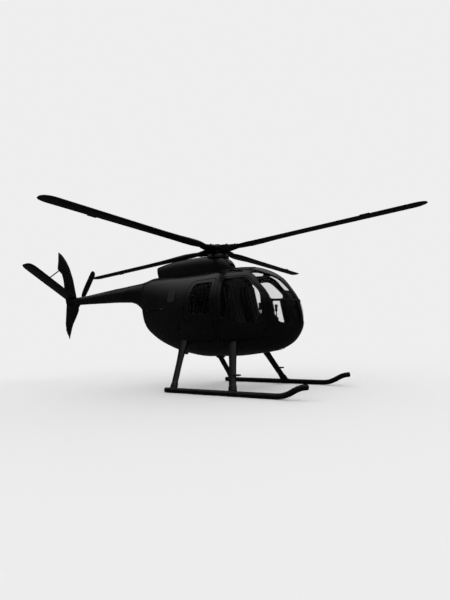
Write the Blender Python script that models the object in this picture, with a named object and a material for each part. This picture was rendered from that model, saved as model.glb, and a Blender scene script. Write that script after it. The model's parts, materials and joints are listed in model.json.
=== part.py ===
"""A light four-blade helicopter on skids: egg-shaped cabin, slim tail boom, all black.

Metres, +X to the nose, +Y to port, +Z up, standing on its skids at z = 0.
Stations are measured from the mast, which stands at x = MAST_X in the part's frame.
"""

import math

import bmesh
import bpy
from mathutils import Matrix, Vector

# Driving dimensions
MAST_X = 0.7884
ROTOR_RADIUS = 4.015
ROTOR_HEIGHT = 2.831
ROTOR_TILT = math.radians(2.6)
ROTOR_ROLL = math.radians(0.9)
MAST_TOP = 2.710
WALL = 0.035
SEAM = 0.0004
DOOR_GAP = 0.010
SIDES = (("left", 1), ("right", -1))

# Fuselage: (station, top, bottom, half width) from the nose to the boom's root
POD_STATIONS = (
    (1.830, 1.195, 1.195, 0.000),
    (1.775, 1.598, 1.080, 0.204),
    (1.600, 1.912, 0.870, 0.394),
    (1.300, 2.210, 0.735, 0.527),
    (0.900, 2.360, 0.675, 0.651),
    (0.400, 2.395, 0.632, 0.690),
    (-0.200, 2.385, 0.627, 0.658),
    (-0.800, 2.390, 0.710, 0.561),
    (-1.300, 2.410, 0.858, 0.440),
    (-1.700, 2.425, 1.049, 0.342),
    (-1.960, 2.385, 1.265, 0.268),
    (-2.050, 2.370, 1.560, 0.205),
    (-2.190, 2.350, 1.740, 0.188),
    (-2.400, 2.335, 1.870, 0.192),
    (-2.620, 2.322, 1.920, 0.200),
)
POD_POWER = 2.25
POD_FINE_BAYS = 7
POD_SIDES = 24

# Door and window outlines in the side view: (station, height, corner radius)
FRONT_OPENING = (
    (0.395, 0.955, 0.06),
    (1.200, 0.955, 0.20),
    (1.420, 1.250, 0.30),
    (1.400, 1.730, 0.30),
    (0.960, 2.165, 0.30),
    (0.395, 2.165, 0.06),
)
FRONT_WINDOW = (
    (0.485, 1.400, 0.06),
    (0.780, 1.270, 0.20),
    (1.240, 1.250, 0.10),
    (1.290, 1.450, 0.20),
    (1.262, 1.810, 0.30),
    (0.955, 2.125, 0.20),
    (0.485, 2.125, 0.06),
)
REAR_OPENING = (
    (0.325, 2.165, 0.06),
    (-0.290, 2.165, 0.16),
    (-0.440, 1.900, 0.20),
    (-0.440, 1.180, 0.20),
    (-0.330, 0.955, 0.12),
    (0.325, 0.955, 0.06),
)
REAR_WINDOW = (
    (0.240, 2.090, 0.06),
    (-0.200, 2.090, 0.12),
    (-0.300, 1.870, 0.12),
    (-0.300, 1.500, 0.10),
    (0.240, 1.440, 0.06),
)
# Windscreen and chin window outlines in the front view: (offset from centre, height, corner radius)
WINDSCREEN = (
    (0.050, 1.665, 0.02),
    (0.455, 1.665, 0.03),
    (0.455, 1.980, 0.30),
    (0.385, 2.225, 0.05),
    (0.300, 2.222, 0.10),
    (0.100, 2.060, 0.14),
    (0.050, 1.890, 0.10),
)
CHIN_WINDOW = (
    (0.050, 1.235, 0.05),
    (0.410, 1.235, 0.08),
    (0.450, 1.400, 0.10),
    (0.450, 1.635, 0.03),
    (0.050, 1.635, 0.02),
)
# Roof window above each front seat in plan: (station, offset from centre, corner radius)
ROOF_WINDOW = (
    (0.500, 0.100, 0.05),
    (0.990, 0.100, 0.05),
    (0.990, 0.250, 0.10),
    (0.830, 0.400, 0.08),
    (0.500, 0.425, 0.05),
)
GLASS_DEPTH = 0.004
GLASS_THICKNESS = 0.008

# Engine doors: hinge line from front to rear in plan, and its height
ENGINE_HINGE_FRONT = (-1.000, 0.532)
ENGINE_HINGE_REAR = (-1.860, 0.325)
ENGINE_HINGE_HEIGHT = 1.640
ENGINE_DOOR_LENGTH = 0.80

# Cabin door hinge lines: (station, offset from centre)
DOOR_HINGES = {"front_door": (1.412, 0.502), "rear_door": (0.320, 0.702)}
DOOR_HINGE_HEIGHTS = (1.290, 1.520)
ENGINE_HINGE_SPREAD = 0.280
KNUCKLE_RADIUS = 0.008
KNUCKLE_LENGTH = 0.036
LEAF_THICKNESS = 0.006
LEAF_REACH = 0.030
LEAF_DEPTH = 0.008

# Mast fairing: (station, top, half width)
FAIRING_STATIONS = (
    (0.400, 2.400, 0.080),
    (0.360, 2.500, 0.130),
    (0.260, 2.610, 0.180),
    (0.050, 2.675, 0.240),
    (-0.400, 2.715, 0.265),
    (-0.900, 2.715, 0.240),
    (-1.280, 2.695, 0.190),
    (-1.640, 2.655, 0.125),
)
FAIRING_BASE = 2.150
FAIRING_POWER = 3.2

# Tail
BOOM_STATIONS = ((-2.6203, 0.200, 2.121), (-3.070, 0.174, 2.127), (-4.240, 0.114, 2.108), (-4.780, 0.100, 2.108))
BOOM_WALL = 0.012
GEARBOX_X = -4.94
GEARBOX_Z = 2.115
GEARBOX_STATIONS = (
    (-4.7803, 0.100, 2.108),
    (-4.8600, 0.110, 2.115),
    (-5.0200, 0.110, 2.115),
    (-5.0800, 0.060, 2.115),
)
TAIL_ROTOR_Y = 0.28
TAIL_ROTOR_RADIUS = 1.00
TAIL_ROTOR_REST = math.radians(-36.5)
FIN_THICKNESS = 0.050
UPPER_FIN = (
    (-4.700, 2.150, 0.0),
    (-4.880, 2.740, 0.30),
    (-5.030, 3.060, 0.30),
    (-5.200, 3.300, 0.30),
    (-5.380, 3.480, 0.30),
    (-5.560, 3.600, 0.02),
    (-5.560, 3.340, 0.10),
    (-5.590, 3.100, 0.03),
    (-5.385, 2.935, 0.06),
    (-5.310, 2.745, 0.20),
    (-5.200, 2.150, 0.0),
)
LOWER_FIN = (
    (-4.620, 2.060, 0.0),
    (-4.665, 1.870, 0.30),
    (-4.900, 1.415, 0.40),
    (-4.970, 1.225, 0.30),
    (-5.015, 1.090, 0.008),
    (-5.075, 1.200, 0.05),
    (-5.120, 1.240, 0.03),
    (-5.200, 1.500, 0.30),
    (-5.160, 2.060, 0.0),
)
STABILIZER_ROOT = (-4.93, 0.020, 2.180)
STABILIZER_TIP = (-5.02, -1.290, 3.020)
STABILIZER_CHORD = 0.50

# Rotor blades
BLADE_CHORD = 0.250
BLADE_THICKNESS = 0.030
BLADE_ROOT = 0.520
BLADE_PITCH = math.radians(1.0)

# Skid gear
SKID_TRACK = 2.072
SKID_RADIUS = 0.050
# The tube has ten flat sides and rests on one of them.
SKID_HEIGHT = SKID_RADIUS * math.cos(math.pi / 10)
SKID_PATH = (
    (-0.620, 0.000),
    (0.300, 0.000),
    (1.200, 0.000),
    (1.740, 0.000),
    (1.870, 0.012),
    (1.990, 0.052),
    (2.100, 0.110),
    (2.200, 0.150),
    (2.310, 0.168),
)
WHEEL_LUG_X = 0.150
# Struts: name, foot station, top (station, offset, height)
STRUTS = (("front", 0.935, (0.600, 0.450, 0.980)), ("rear", -0.400, (-0.580, 0.440, 1.000)))
STRUT_CHORD = 0.130
STRUT_THICKNESS = 0.055

# Fittings under the belly
HOOK_PLATE_BOTTOM = 0.600
HOOK_PLATE_RADIUS = 0.090
LIGHT_X = 1.380
LIGHT_RADIUS = 0.085
BEACON_X = -0.900

# Cabin
FLOOR_TOP = 0.950
FLOOR_THICKNESS = 0.030
SEAT_OFFSET = 0.330
TRIM_CLEARANCE = 0.008

# Colours are linear
MATERIALS = {
    "black_paint": ((0.006, 0.006, 0.007), 0.22, 0.0),
    "dark_metal": ((0.030, 0.030, 0.032), 0.45, 0.9),
    "tinted_glass": ((0.020, 0.022, 0.024), 0.05, 0.0),
    "black_composite": ((0.008, 0.008, 0.009), 0.40, 0.0),
    "bare_metal": ((0.350, 0.350, 0.360), 0.35, 1.0),
    "black_fabric": ((0.012, 0.012, 0.013), 0.90, 0.0),
    "clear_lens": ((0.700, 0.720, 0.740), 0.05, 0.0),
    "red_lens": ((0.250, 0.010, 0.010), 0.10, 0.0),
}


def clear_scene():
    for obj in list(bpy.data.objects):
        bpy.data.objects.remove(obj, do_unlink=True)


def new_collection(name):
    collection = bpy.data.collections.new(name)
    bpy.context.scene.collection.children.link(collection)
    return collection


def new_material(name):
    colour, roughness, metallic = MATERIALS[name]
    material = bpy.data.materials.new(name)
    material.use_nodes = True
    shader = material.node_tree.nodes["Principled BSDF"]
    shader.inputs["Base Color"].default_value = (*colour, 1.0)
    shader.inputs["Roughness"].default_value = roughness
    shader.inputs["Metallic"].default_value = metallic
    return material


clear_scene()
PARTS = new_collection("helicopter")
CUTTERS = new_collection("cutters")
FINISHES = {name: new_material(name) for name in MATERIALS}
AIRFRAME = bpy.data.objects.new("airframe", None)
AIRFRAME.location = (MAST_X, 0.0, 0.0)
PARTS.objects.link(AIRFRAME)


# Shapes


def mesh_of(name, build):
    """A mesh filled by build(bm), with its faces pointing out."""
    bm = bmesh.new()
    build(bm)
    mesh = bpy.data.meshes.new(name)
    bm.to_mesh(mesh)
    bm.free()
    return mesh


def add_part(name, mesh, finish, parent=AIRFRAME, origin=(0.0, 0.0, 0.0)):
    """A visible sub-part whose mesh is given in its parent's frame and turned about origin."""
    mesh.transform(Matrix.Translation(-Vector(origin)))
    mesh.materials.clear()
    mesh.materials.append(FINISHES[finish])
    mesh.shade_smooth()
    mesh.set_sharp_from_angle(angle=math.radians(35))
    obj = bpy.data.objects.new(name, mesh)
    obj.location = origin
    obj.parent = parent
    PARTS.objects.link(obj)
    return obj


def add_cutter(name, mesh, parent=AIRFRAME):
    obj = bpy.data.objects.new(name, mesh)
    obj.hide_render = True
    obj.display_type = "WIRE"
    obj.parent = parent
    CUTTERS.objects.link(obj)
    return obj


def combine(obj, other, operation):
    modifier = obj.modifiers.new(f"{operation.lower()} {other.name}", "BOOLEAN")
    modifier.operation = operation
    modifier.solver = "EXACT"
    modifier.object = other


def cut(obj, *others):
    for other in others:
        combine(obj, other, "DIFFERENCE")


def keep(obj, *others):
    for other in others:
        combine(obj, other, "INTERSECT")


def join(obj, *others):
    for other in others:
        combine(obj, other, "UNION")


def slope_limited(left, right):
    """The slope at a knot between two steps, zero at a turning point."""
    if left * right <= 0:
        return 0.0
    return 2 * left * right / (left + right)


def smooth_value(values, t):
    """A smooth curve through values at 0, 1, 2..., which never overshoots them."""
    steps = [b - a for a, b in zip(values, values[1:])]
    slopes = [slope_limited(a, b) for a, b in zip(steps, steps[1:])]
    first = 1.5 * steps[0] - 0.5 * steps[1]
    last = 1.5 * steps[-1] - 0.5 * steps[-2]
    slopes = [first if first * steps[0] > 0 else 0.0, *slopes, last if last * steps[-1] > 0 else 0.0]
    i = min(int(t), len(steps) - 1)
    u = t - i
    rise = values[i] * (1 + 2 * u) * (1 - u) ** 2 + values[i + 1] * u * u * (3 - 2 * u)
    return rise + slopes[i] * u * (1 - u) ** 2 - slopes[i + 1] * u * u * (1 - u)


def signed_power(value, power):
    return math.copysign(abs(value) ** power, value)


def oval_ring(station, half_width, half_height, centre_z, power, sides):
    """A superellipse in the plane of a station."""
    ring = []
    for k in range(sides):
        angle = 2 * math.pi * (k + 0.5) / sides
        y = half_width * signed_power(math.cos(angle), 2 / power)
        z = centre_z + half_height * signed_power(math.sin(angle), 2 / power)
        ring.append((station, y, z))
    return ring


def loft(bm, rings):
    """A closed body through rings of equal count, with flat ends."""
    loops = [[bm.verts.new(point) for point in ring] for ring in rings]
    count = len(loops[0])
    for a, b in zip(loops, loops[1:]):
        for k in range(count):
            bm.faces.new((a[k], a[(k + 1) % count], b[(k + 1) % count], b[k]))
    bm.faces.new(loops[0][::-1])
    bm.faces.new(loops[-1])
    bmesh.ops.recalc_face_normals(bm, faces=bm.faces)


def pod_rings(inset):
    """Rings of the fuselage, moved inwards by inset."""
    columns = list(zip(*POD_STATIONS))
    # The nose closes on a small flat ring just behind its tip, and the front half has two rings a bay.
    steps = [0.5 + 0.5 * k for k in range(2 * POD_FINE_BAYS)] + list(range(POD_FINE_BAYS + 1, len(POD_STATIONS)))
    rings = []
    for t in [0.2 if inset < 0.01 else 0.4, *steps]:
        station, top, bottom, width = (smooth_value(column, t) for column in columns)
        shrink = inset * max(1.0 - width / 0.65, 0.0) if t < POD_FINE_BAYS else 0.0
        # Inner surfaces end short of the boom, so that the tail end has a wall too.
        short = inset if t == len(POD_STATIONS) - 1 and inset > 0.01 else 0.0
        half_height = (top - bottom) / 2 - inset
        centre = (top + bottom) / 2
        rings.append(oval_ring(station - shrink + short, width - inset, half_height, centre, POD_POWER, POD_SIDES))
    return rings


def pod_loft(bm, inset):
    """The fuselage surface in triangles, split the same way at every inset so that walls nest."""
    before = set(bm.faces)
    loft(bm, pod_rings(inset))
    grown = [face for face in bm.faces if face not in before]
    bmesh.ops.triangulate(bm, faces=grown, quad_method="FIXED")


def pod_solid(name, inset):
    return mesh_of(name, lambda bm: pod_loft(bm, inset))


def pod_skin(name, outer, inner):
    """The fuselage wall between two insets, before its openings are cut."""

    def build(bm):
        pod_loft(bm, outer)
        outside = set(bm.faces)
        pod_loft(bm, inner)
        bmesh.ops.reverse_faces(bm, faces=[face for face in bm.faces if face not in outside])

    return mesh_of(name, build)


def rounded(outline, inset=0.0, arc_steps=3):
    """Points of a polygon whose corners are arcs, moved inwards by inset."""
    corners = [Vector(point[:2]) for point in outline]
    count = len(corners)
    turn = sum(corners[i - 1].x * corners[i].y - corners[i - 1].y * corners[i].x for i in range(count))
    side = 1.0 if turn > 0 else -1.0
    moved = []
    for i in range(count):
        before = (corners[i] - corners[i - 1]).normalized()
        after = (corners[(i + 1) % count] - corners[i]).normalized()
        normals = Vector((-before.y, before.x)) * side + Vector((-after.y, after.x)) * side
        moved.append(corners[i] + normals * inset / max(normals.length_squared / 2, 0.2))
    points = []
    for i in range(count):
        here = moved[i]
        to_before = moved[i - 1] - here
        to_after = moved[(i + 1) % count] - here
        half = to_before.angle(to_after) / 2
        reach = min(outline[i][2] / math.tan(half), 0.48 * to_before.length, 0.48 * to_after.length)
        if reach < 0.002:
            points.append(here)
            continue
        start = here + to_before.normalized() * reach
        end = here + to_after.normalized() * reach
        for k in range(arc_steps + 1):
            u = k / arc_steps
            points.append(start * (1 - u) ** 2 + here * 2 * u * (1 - u) + end * u * u)
    return [(point.x, point.y) for point in points]


def prism(name, outline, axis, low, high):
    """The outline extruded along one axis, from low to high."""
    place = {
        "x": lambda a, b: (low, a, b),
        "y": lambda a, b: (a, low, b),
        "z": lambda a, b: (a, b, low),
    }[axis]
    push = Vector([high - low if axis == name_ else 0.0 for name_ in "xyz"])

    def build(bm):
        face = bm.faces.new([bm.verts.new(place(a, b)) for a, b in outline])
        grown = bmesh.ops.extrude_face_region(bm, geom=[face])
        moved = [item for item in grown["geom"] if isinstance(item, bmesh.types.BMVert)]
        bmesh.ops.translate(bm, verts=moved, vec=push)
        bmesh.ops.recalc_face_normals(bm, faces=bm.faces)

    return mesh_of(name, build)


def box_mesh(name, low, high, bevel=0.0):
    """A box between two corners, with its edges rounded by bevel."""
    low, high = Vector(low), Vector(high)

    def build(bm):
        bmesh.ops.create_cube(bm, size=1.0)
        bmesh.ops.scale(bm, verts=bm.verts, vec=high - low)
        bmesh.ops.translate(bm, verts=bm.verts, vec=(low + high) / 2)
        if bevel:
            bmesh.ops.bevel(bm, geom=bm.edges, offset=bevel, segments=2, profile=0.5, affect="EDGES")

    return mesh_of(name, build)


def round_bar(name, start, end, radius, end_radius=None, sides=20):
    """A round bar or cone between two points."""
    start, end = Vector(start), Vector(end)
    along = end - start
    turn = Vector((0, 0, 1)).rotation_difference(along).to_matrix().to_4x4()

    def build(bm):
        bmesh.ops.create_cone(
            bm,
            cap_ends=True,
            segments=sides,
            radius1=radius,
            radius2=radius if end_radius is None else end_radius,
            depth=along.length,
            matrix=Matrix.Translation((start + end) / 2) @ turn,
        )

    return mesh_of(name, build)


def swept_tube(name, points, radius, resolution=3):
    """A round tube along a path, made a closed mesh."""
    curve = bpy.data.curves.new(name, "CURVE")
    curve.dimensions = "3D"
    curve.bevel_depth = radius
    curve.bevel_resolution = resolution
    curve.use_fill_caps = True
    spline = curve.splines.new("POLY")
    spline.points.add(len(points) - 1)
    for point, place in zip(spline.points, points):
        point.co = (*place, 1.0)
    helper = bpy.data.objects.new(name, curve)
    CUTTERS.objects.link(helper)
    graph = bpy.context.evaluated_depsgraph_get()
    mesh = bpy.data.meshes.new_from_object(helper.evaluated_get(graph))
    bpy.data.objects.remove(helper, do_unlink=True)
    bm = bmesh.new()
    bm.from_mesh(mesh)
    bmesh.ops.remove_doubles(bm, verts=bm.verts, dist=0.00001)
    bmesh.ops.recalc_face_normals(bm, faces=bm.faces)
    bm.to_mesh(mesh)
    bm.free()
    return mesh


def wing_section(chord, thickness, steps=5):
    """A streamlined section, nose at +chord / 2, as (along the chord, across it)."""
    upper = []
    for k in range(steps + 1):
        u = 0.5 - 0.5 * math.cos(math.pi * k / steps)
        across = 5 * thickness * (0.2969 * math.sqrt(u) - 0.1260 * u - 0.3516 * u**2 + 0.2843 * u**3 - 0.1036 * u**4)
        upper.append((chord * (0.5 - u), max(across, 0.0)))
    lower = [(a, -b) for a, b in upper[-2:0:-1]]
    tail = upper[-1][0]
    return [*upper[:-1], (tail, 0.08 * thickness), (tail, -0.08 * thickness), *lower]


def wing_mesh(name, sections):
    """A wing through sections of (centre, chord direction, thickness direction, chord, thickness)."""
    rings = []
    for centre, chordwise, across, chord, thickness in sections:
        points = wing_section(chord, thickness)
        rings.append([Vector(centre) + Vector(chordwise) * a + Vector(across) * b for a, b in points])
    return mesh_of(name, lambda bm: loft(bm, rings))


# Fuselage


def fixed_panes():
    """(name, finish, glass outline mesh, hole mesh) for each fixed pane and the lens of the landing light."""
    panes = []
    for side, sign in SIDES:
        for name, outline in (("windscreen", WINDSCREEN), ("chin_window", CHIN_WINDOW)):
            hole, glass = ([(sign * a, b) for a, b in rounded(outline, inset)] for inset in (0.0, SEAM))
            pane = prism("pane", glass, "x", 0.60, 2.20)
            panes.append((f"{name}_{side}", "tinted_glass", pane, prism("hole", hole, "x", 0.60, 2.20)))
        hole, glass = ([(a, sign * b) for a, b in rounded(ROOF_WINDOW, inset)] for inset in (0.0, SEAM))
        pane = prism("pane", glass, "z", 2.0, 2.6)
        panes.append((f"roof_window_{side}", "tinted_glass", pane, prism("hole", hole, "z", 2.0, 2.6)))
    low, high = Vector((LIGHT_X, 0.0, 0.4)), Vector((LIGHT_X, 0.0, 0.9))
    lens = round_bar("lens", low, high, LIGHT_RADIUS - 2 * SEAM, sides=24)
    panes.append(("landing_light", "clear_lens", lens, round_bar("hole", low, high, LIGHT_RADIUS, sides=24)))
    return panes


def side_prism(name, outline, sign, near=0.20, far=1.00):
    low, high = sorted((sign * near, sign * far))
    return prism(name, outline, "y", low, high)


def engine_door_plan(sign, centre_gap, end_gap):
    """The door in plan: its ends square to the hinge line, its inner edge on the centre line."""
    front, rear = Vector(ENGINE_HINGE_FRONT), Vector(ENGINE_HINGE_REAR)
    along = (front - rear).normalized()
    out = Vector((-along.y, along.x))
    middle = (front + rear) / 2
    ends = [middle + along * (ENGINE_DOOR_LENGTH / 2 + end_gap), middle - along * (ENGINE_DOOR_LENGTH / 2 + end_gap)]
    outer = [end + out * 0.2 for end in ends]
    inner = [end - out * (end.y - centre_gap) / out.y for end in ends]
    plan = [outer[0], outer[1], inner[1], inner[0]]
    return [(point.x, sign * point.y) for point in plan]


def exhaust_axis():
    return Vector((-1.640, 0.0, 1.600)), Vector((-2.060, 0.0, 1.485))


def build_fuselage():
    """The shell with its openings, and the panels and panes that close them."""
    skin = pod_skin("skin", 0.0, WALL)
    pane_skin = pod_skin("pane_skin", GLASS_DEPTH, GLASS_DEPTH + GLASS_THICKNESS)
    holes = []
    for name, finish, glass, hole in fixed_panes():
        pane = add_part(name, pane_skin.copy(), finish)
        keep(pane, add_cutter(f"{name}_outline", glass))
        holes.append(hole)
    doors = (
        ("front_door", FRONT_OPENING, FRONT_WINDOW, "front_window"),
        ("rear_door", REAR_OPENING, REAR_WINDOW, "rear_window"),
    )
    for side, sign in SIDES:
        for name, opening, window, pane_name in doors:
            holes.append(side_prism(f"{name}_{side}_opening", rounded(opening), sign))
            hinge = door_hinge(name, sign)
            door = add_part(f"{name}_{side}", skin.copy(), "black_paint", origin=hinge)
            keep(door, add_cutter(f"{name}_{side}_edge", side_prism("edge", rounded(opening, DOOR_GAP), sign)))
            cut(door, add_cutter(f"{name}_{side}_window", side_prism("window", rounded(window), sign)))
            pane = add_part(f"{pane_name}_{side}", pane_skin.copy(), "tinted_glass", origin=hinge)
            keep(pane, add_cutter(f"{pane_name}_{side}_outline", side_prism("pane", rounded(window, SEAM), sign)))
        holes.append(
            prism(f"engine_{side}_opening", engine_door_plan(sign, -0.001, DOOR_GAP), "z", 0.5, ENGINE_HINGE_HEIGHT)
        )
        plan = engine_door_plan(sign, DOOR_GAP / 2, 0.0)
        door = add_part(f"engine_door_{side}", skin.copy(), "black_paint", origin=engine_hinge(sign))
        edge = prism("engine_edge", plan, "z", 0.4, ENGINE_HINGE_HEIGHT - DOOR_GAP)
        keep(door, add_cutter(f"engine_door_{side}_edge", edge))
    start, end = exhaust_axis()
    holes.append(round_bar("exhaust_hole", start, end + (end - start), 0.1103, sides=24))
    shell = add_part("pod_shell", skin, "black_paint")
    for number, hole in enumerate(holes):
        cut(shell, add_cutter(f"pod_hole_{number:02d}", hole))
    return shell


def door_hinge(name, sign):
    """A point on a cabin door's upright hinge line, just outside its front edge."""
    station, offset = DOOR_HINGES[name]
    return (station, sign * offset, 1.50)


def pod_half_width(station, height):
    """The fuselage's half width at a station and a height, on a straight line between its stations."""
    for front, rear in zip(POD_STATIONS, POD_STATIONS[1:]):
        if rear[0] <= station <= front[0]:
            share = (front[0] - station) / (front[0] - rear[0])
            top, bottom, width = (a + (b - a) * share for a, b in zip(front[1:], rear[1:]))
            level = abs(height - (top + bottom) / 2) / ((top - bottom) / 2)
            return width * (1 - level**POD_POWER) ** (1 / POD_POWER)
    return 0.0


def knuckle_mesh(pin, end, along):
    """A hinge knuckle: half round about the pin, narrowing to a leaf that ends inside the wall."""
    reach = end - pin
    reach -= along * reach.dot(along)
    ahead = reach.normalized()
    across = along.cross(ahead)
    outline = []
    for k in range(5):
        angle = math.pi * (0.5 + k / 4)
        outline.append(pin + (ahead * math.cos(angle) + across * math.sin(angle)) * KNUCKLE_RADIUS)
    outline.append(pin + reach - across * LEAF_THICKNESS / 2)
    outline.append(pin + reach + across * LEAF_THICKNESS / 2)
    half = along * KNUCKLE_LENGTH / 2
    return mesh_of("knuckle", lambda bm: loft(bm, [[point + side for point in outline] for side in (-half, half)]))


def add_hinge(name, shell, door, pin, along, door_end, shell_end):
    """One knuckle on the door between two on the shell, all on the same pin line."""
    step = along * (KNUCKLE_LENGTH + SEAM)
    for place, owner, end in ((0, door, door_end), (1, shell, shell_end), (2, shell, shell_end)):
        shift = step * (0, 1, -1)[place]
        join(owner, add_cutter(f"{name}_{place}", knuckle_mesh(pin + shift, end + shift, along)))


def build_hinges(shell):
    """Two hinges for each cabin door and each engine door."""
    for side, sign in SIDES:
        for door_name, (station, offset) in DOOR_HINGES.items():
            door = bpy.data.objects[f"{door_name}_{side}"]
            for number, height in enumerate(DOOR_HINGE_HEIGHTS):
                pin = Vector((station, sign * offset, height))
                ends = []
                for x in (station - LEAF_REACH, station + LEAF_REACH):
                    ends.append(Vector((x, sign * (pod_half_width(x, height) - LEAF_DEPTH), height)))
                name = f"{door_name}_{side}_hinge_{number}"
                add_hinge(name, shell, door, pin, Vector((0, 0, 1)), *ends)
        front, rear = Vector(ENGINE_HINGE_FRONT), Vector(ENGINE_HINGE_REAR)
        line = (front - rear).normalized()
        along = Vector((line.x, sign * line.y, 0))
        door = bpy.data.objects[f"engine_door_{side}"]
        for number, shift in enumerate((-ENGINE_HINGE_SPREAD, ENGINE_HINGE_SPREAD)):
            pin = Vector(engine_hinge(sign)) + along * shift
            ends = []
            for z in (ENGINE_HINGE_HEIGHT - LEAF_REACH, ENGINE_HINGE_HEIGHT + LEAF_REACH):
                ends.append(Vector((pin.x, sign * (pod_half_width(pin.x, z) - LEAF_DEPTH), z)))
            add_hinge(f"engine_door_{side}_hinge_{number}", shell, door, pin, along, *ends)


def engine_hinge(sign):
    front, rear = Vector(ENGINE_HINGE_FRONT), Vector(ENGINE_HINGE_REAR)
    middle = (front + rear) / 2
    return (middle.x, sign * middle.y, ENGINE_HINGE_HEIGHT - DOOR_GAP / 2)


def build_fairing():
    """The mast fairing on the cabin roof, open in front for the engine's air."""
    rings = []
    for station, top, width in FAIRING_STATIONS:
        centre = (top + FAIRING_BASE) / 2
        rings.append(oval_ring(station, width, (top - FAIRING_BASE) / 2, centre, FAIRING_POWER, 24))
    fairing = add_part("mast_fairing", mesh_of("mast_fairing", lambda bm: loft(bm, rings)), "black_paint")
    cut(fairing, add_cutter("roof_line", pod_solid("roof_line", -SEAM)))
    cut(fairing, add_cutter("mast_socket", round_bar("mast_socket", (0, 0, 2.55), (0, 0, 3.0), 0.0703)))
    cut(fairing, add_cutter("air_intake", box_mesh("air_intake", (0.22, -0.09, 2.43), (0.60, 0.09, 2.51))))


def build_engine_bay():
    block = box_mesh("engine_block", (-0.50, -0.21, -0.24), (0.50, 0.21, 0.24), 0.03)
    start, end = exhaust_axis()
    slope = math.atan2(start.z - end.z, start.x - end.x)
    middle = start + (start - end).normalized() * 0.5003
    block.transform(Matrix.Translation(middle) @ Matrix.Rotation(-slope, 4, "Y"))
    add_part("engine_block", block, "dark_metal")
    pipe = add_part("exhaust_pipe", round_bar("exhaust_pipe", start, end, 0.110, sides=24), "bare_metal")
    bore_start = start + (end - start) * 0.25
    cut(pipe, add_cutter("exhaust_bore", round_bar("exhaust_bore", bore_start, end + (end - start), 0.100, sides=24)))


# Cabin


def space_cutter(name, clearance):
    """The inside of the fuselage wall, held off it by a clearance."""
    return add_cutter(name, pod_solid(name, WALL + clearance))


def build_cabin():
    space = space_cutter("cabin_space", SEAM)
    trim_space = space_cutter("trim_space", TRIM_CLEARANCE)
    slabs = (
        ("cabin_floor", (-0.460, -0.80, FLOOR_TOP - FLOOR_THICKNESS), (1.700, 0.80, FLOOR_TOP), "dark_metal"),
        ("rear_bulkhead", (-0.490, -0.80, 0.50), (-0.4603, 0.80, 2.60), "black_composite"),
        ("middle_bulkhead", (0.335, -0.80, FLOOR_TOP + SEAM), (0.375, 0.80, 2.60), "black_composite"),
    )
    for name, low, high, finish in slabs:
        keep(add_part(name, box_mesh(name, low, high), finish), space)
    console = [
        (1.750, FLOOR_TOP + SEAM),
        (1.600, FLOOR_TOP + SEAM),
        (1.535, 1.280),
        (1.465, 1.640),
        (1.465, 1.680),
        (1.530, 1.700),
        (1.530, 1.835),
        (1.750, 1.835),
    ]
    panel = add_part("instrument_console", prism("instrument_console", console, "y", -0.17, 0.17), "black_composite")
    keep(panel, space)
    for side, sign in SIDES:
        build_front_seat(side, sign, trim_space)
        build_cyclic(side, sign)
    low = FLOOR_TOP + SEAM
    bench = [(-0.4598, low), (0.02, low), (0.02, 1.24), (-0.27, 1.24), (-0.37, 1.95), (-0.4598, 1.95)]
    keep(add_part("rear_bench", prism("rear_bench", bench, "y", -0.46, 0.46), "black_fabric"), trim_space)


def build_front_seat(side, sign, trim_space):
    """One body: the box under the cushion, the cushion and the leaning back."""
    low = FLOOR_TOP + SEAM
    outline = [
        (0.3754, low),
        (1.000, low),
        (1.030, 1.160),
        (1.060, 1.200),
        (1.040, 1.260),
        (0.790, 1.245),
        (0.700, 1.400),
        (0.565, 2.050),
        (0.530, 2.080),
        (0.475, 2.050),
        (0.515, 1.600),
        (0.3754, 1.200),
    ]
    centre = sign * SEAT_OFFSET
    mesh = prism(f"front_seat_{side}", outline, "y", centre - 0.20, centre + 0.20)
    keep(add_part(f"front_seat_{side}", mesh, "black_fabric"), trim_space)


def build_cyclic(side, sign):
    """The control stick in front of a seat."""
    y = sign * SEAT_OFFSET
    foot = (1.250, y, FLOOR_TOP + SEAM)
    path = [foot, (1.250, y, 1.02), (1.195, y, 1.20), (1.140, y, 1.36), (1.130, y, 1.50), (1.135, y, 1.62)]
    stick = add_part(f"cyclic_stick_{side}", swept_tube("cyclic", path, 0.014, 2), "black_composite")
    grip = round_bar("grip", (1.129, y, 1.49), (1.136, y, 1.64), 0.024, 0.028, sides=10)
    join(stick, add_cutter(f"cyclic_grip_{side}", grip))


# Tail


def fin_mesh(name, outline):
    return prism(name, rounded(outline), "y", -FIN_THICKNESS / 2, FIN_THICKNESS / 2)


def build_tail():
    boom = add_part("tail_boom", round_loft("tail_boom", BOOM_STATIONS), "black_paint")
    bore_stations = [(x, r - BOOM_WALL, z) for x, r, z in BOOM_STATIONS]
    bore_stations[0] = (BOOM_STATIONS[0][0] + 0.1, *bore_stations[0][1:])
    bore_stations[-1] = (BOOM_STATIONS[-1][0] + 0.1, *bore_stations[-1][1:])
    cut(boom, add_cutter("boom_bore", round_loft("boom_bore", bore_stations)))

    hub = Vector((GEARBOX_X, 0.0, GEARBOX_Z))
    case = add_part("tail_gearbox", round_loft("tail_gearbox", GEARBOX_STATIONS), "dark_metal")
    shaft = round_bar("tail_shaft", hub, hub + Vector((0, TAIL_ROTOR_Y - 0.0653, 0)), 0.045, 0.035, sides=16)
    join(case, add_cutter("tail_shaft", shaft))

    envelope = [*BOOM_STATIONS[-2:], *GEARBOX_STATIONS[1:]]
    tail_body = add_cutter("tail_body", round_loft("tail_body", [(x, r + SEAM, z) for x, r, z in envelope]))
    upper = add_part("upper_fin", fin_mesh("upper_fin", UPPER_FIN), "black_paint")
    lower = add_part("lower_fin", fin_mesh("lower_fin", LOWER_FIN), "black_paint")
    build_stabilizer(tail_body)
    cut(upper, tail_body)
    cut(lower, tail_body)
    build_tail_rotor(hub)


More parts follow.
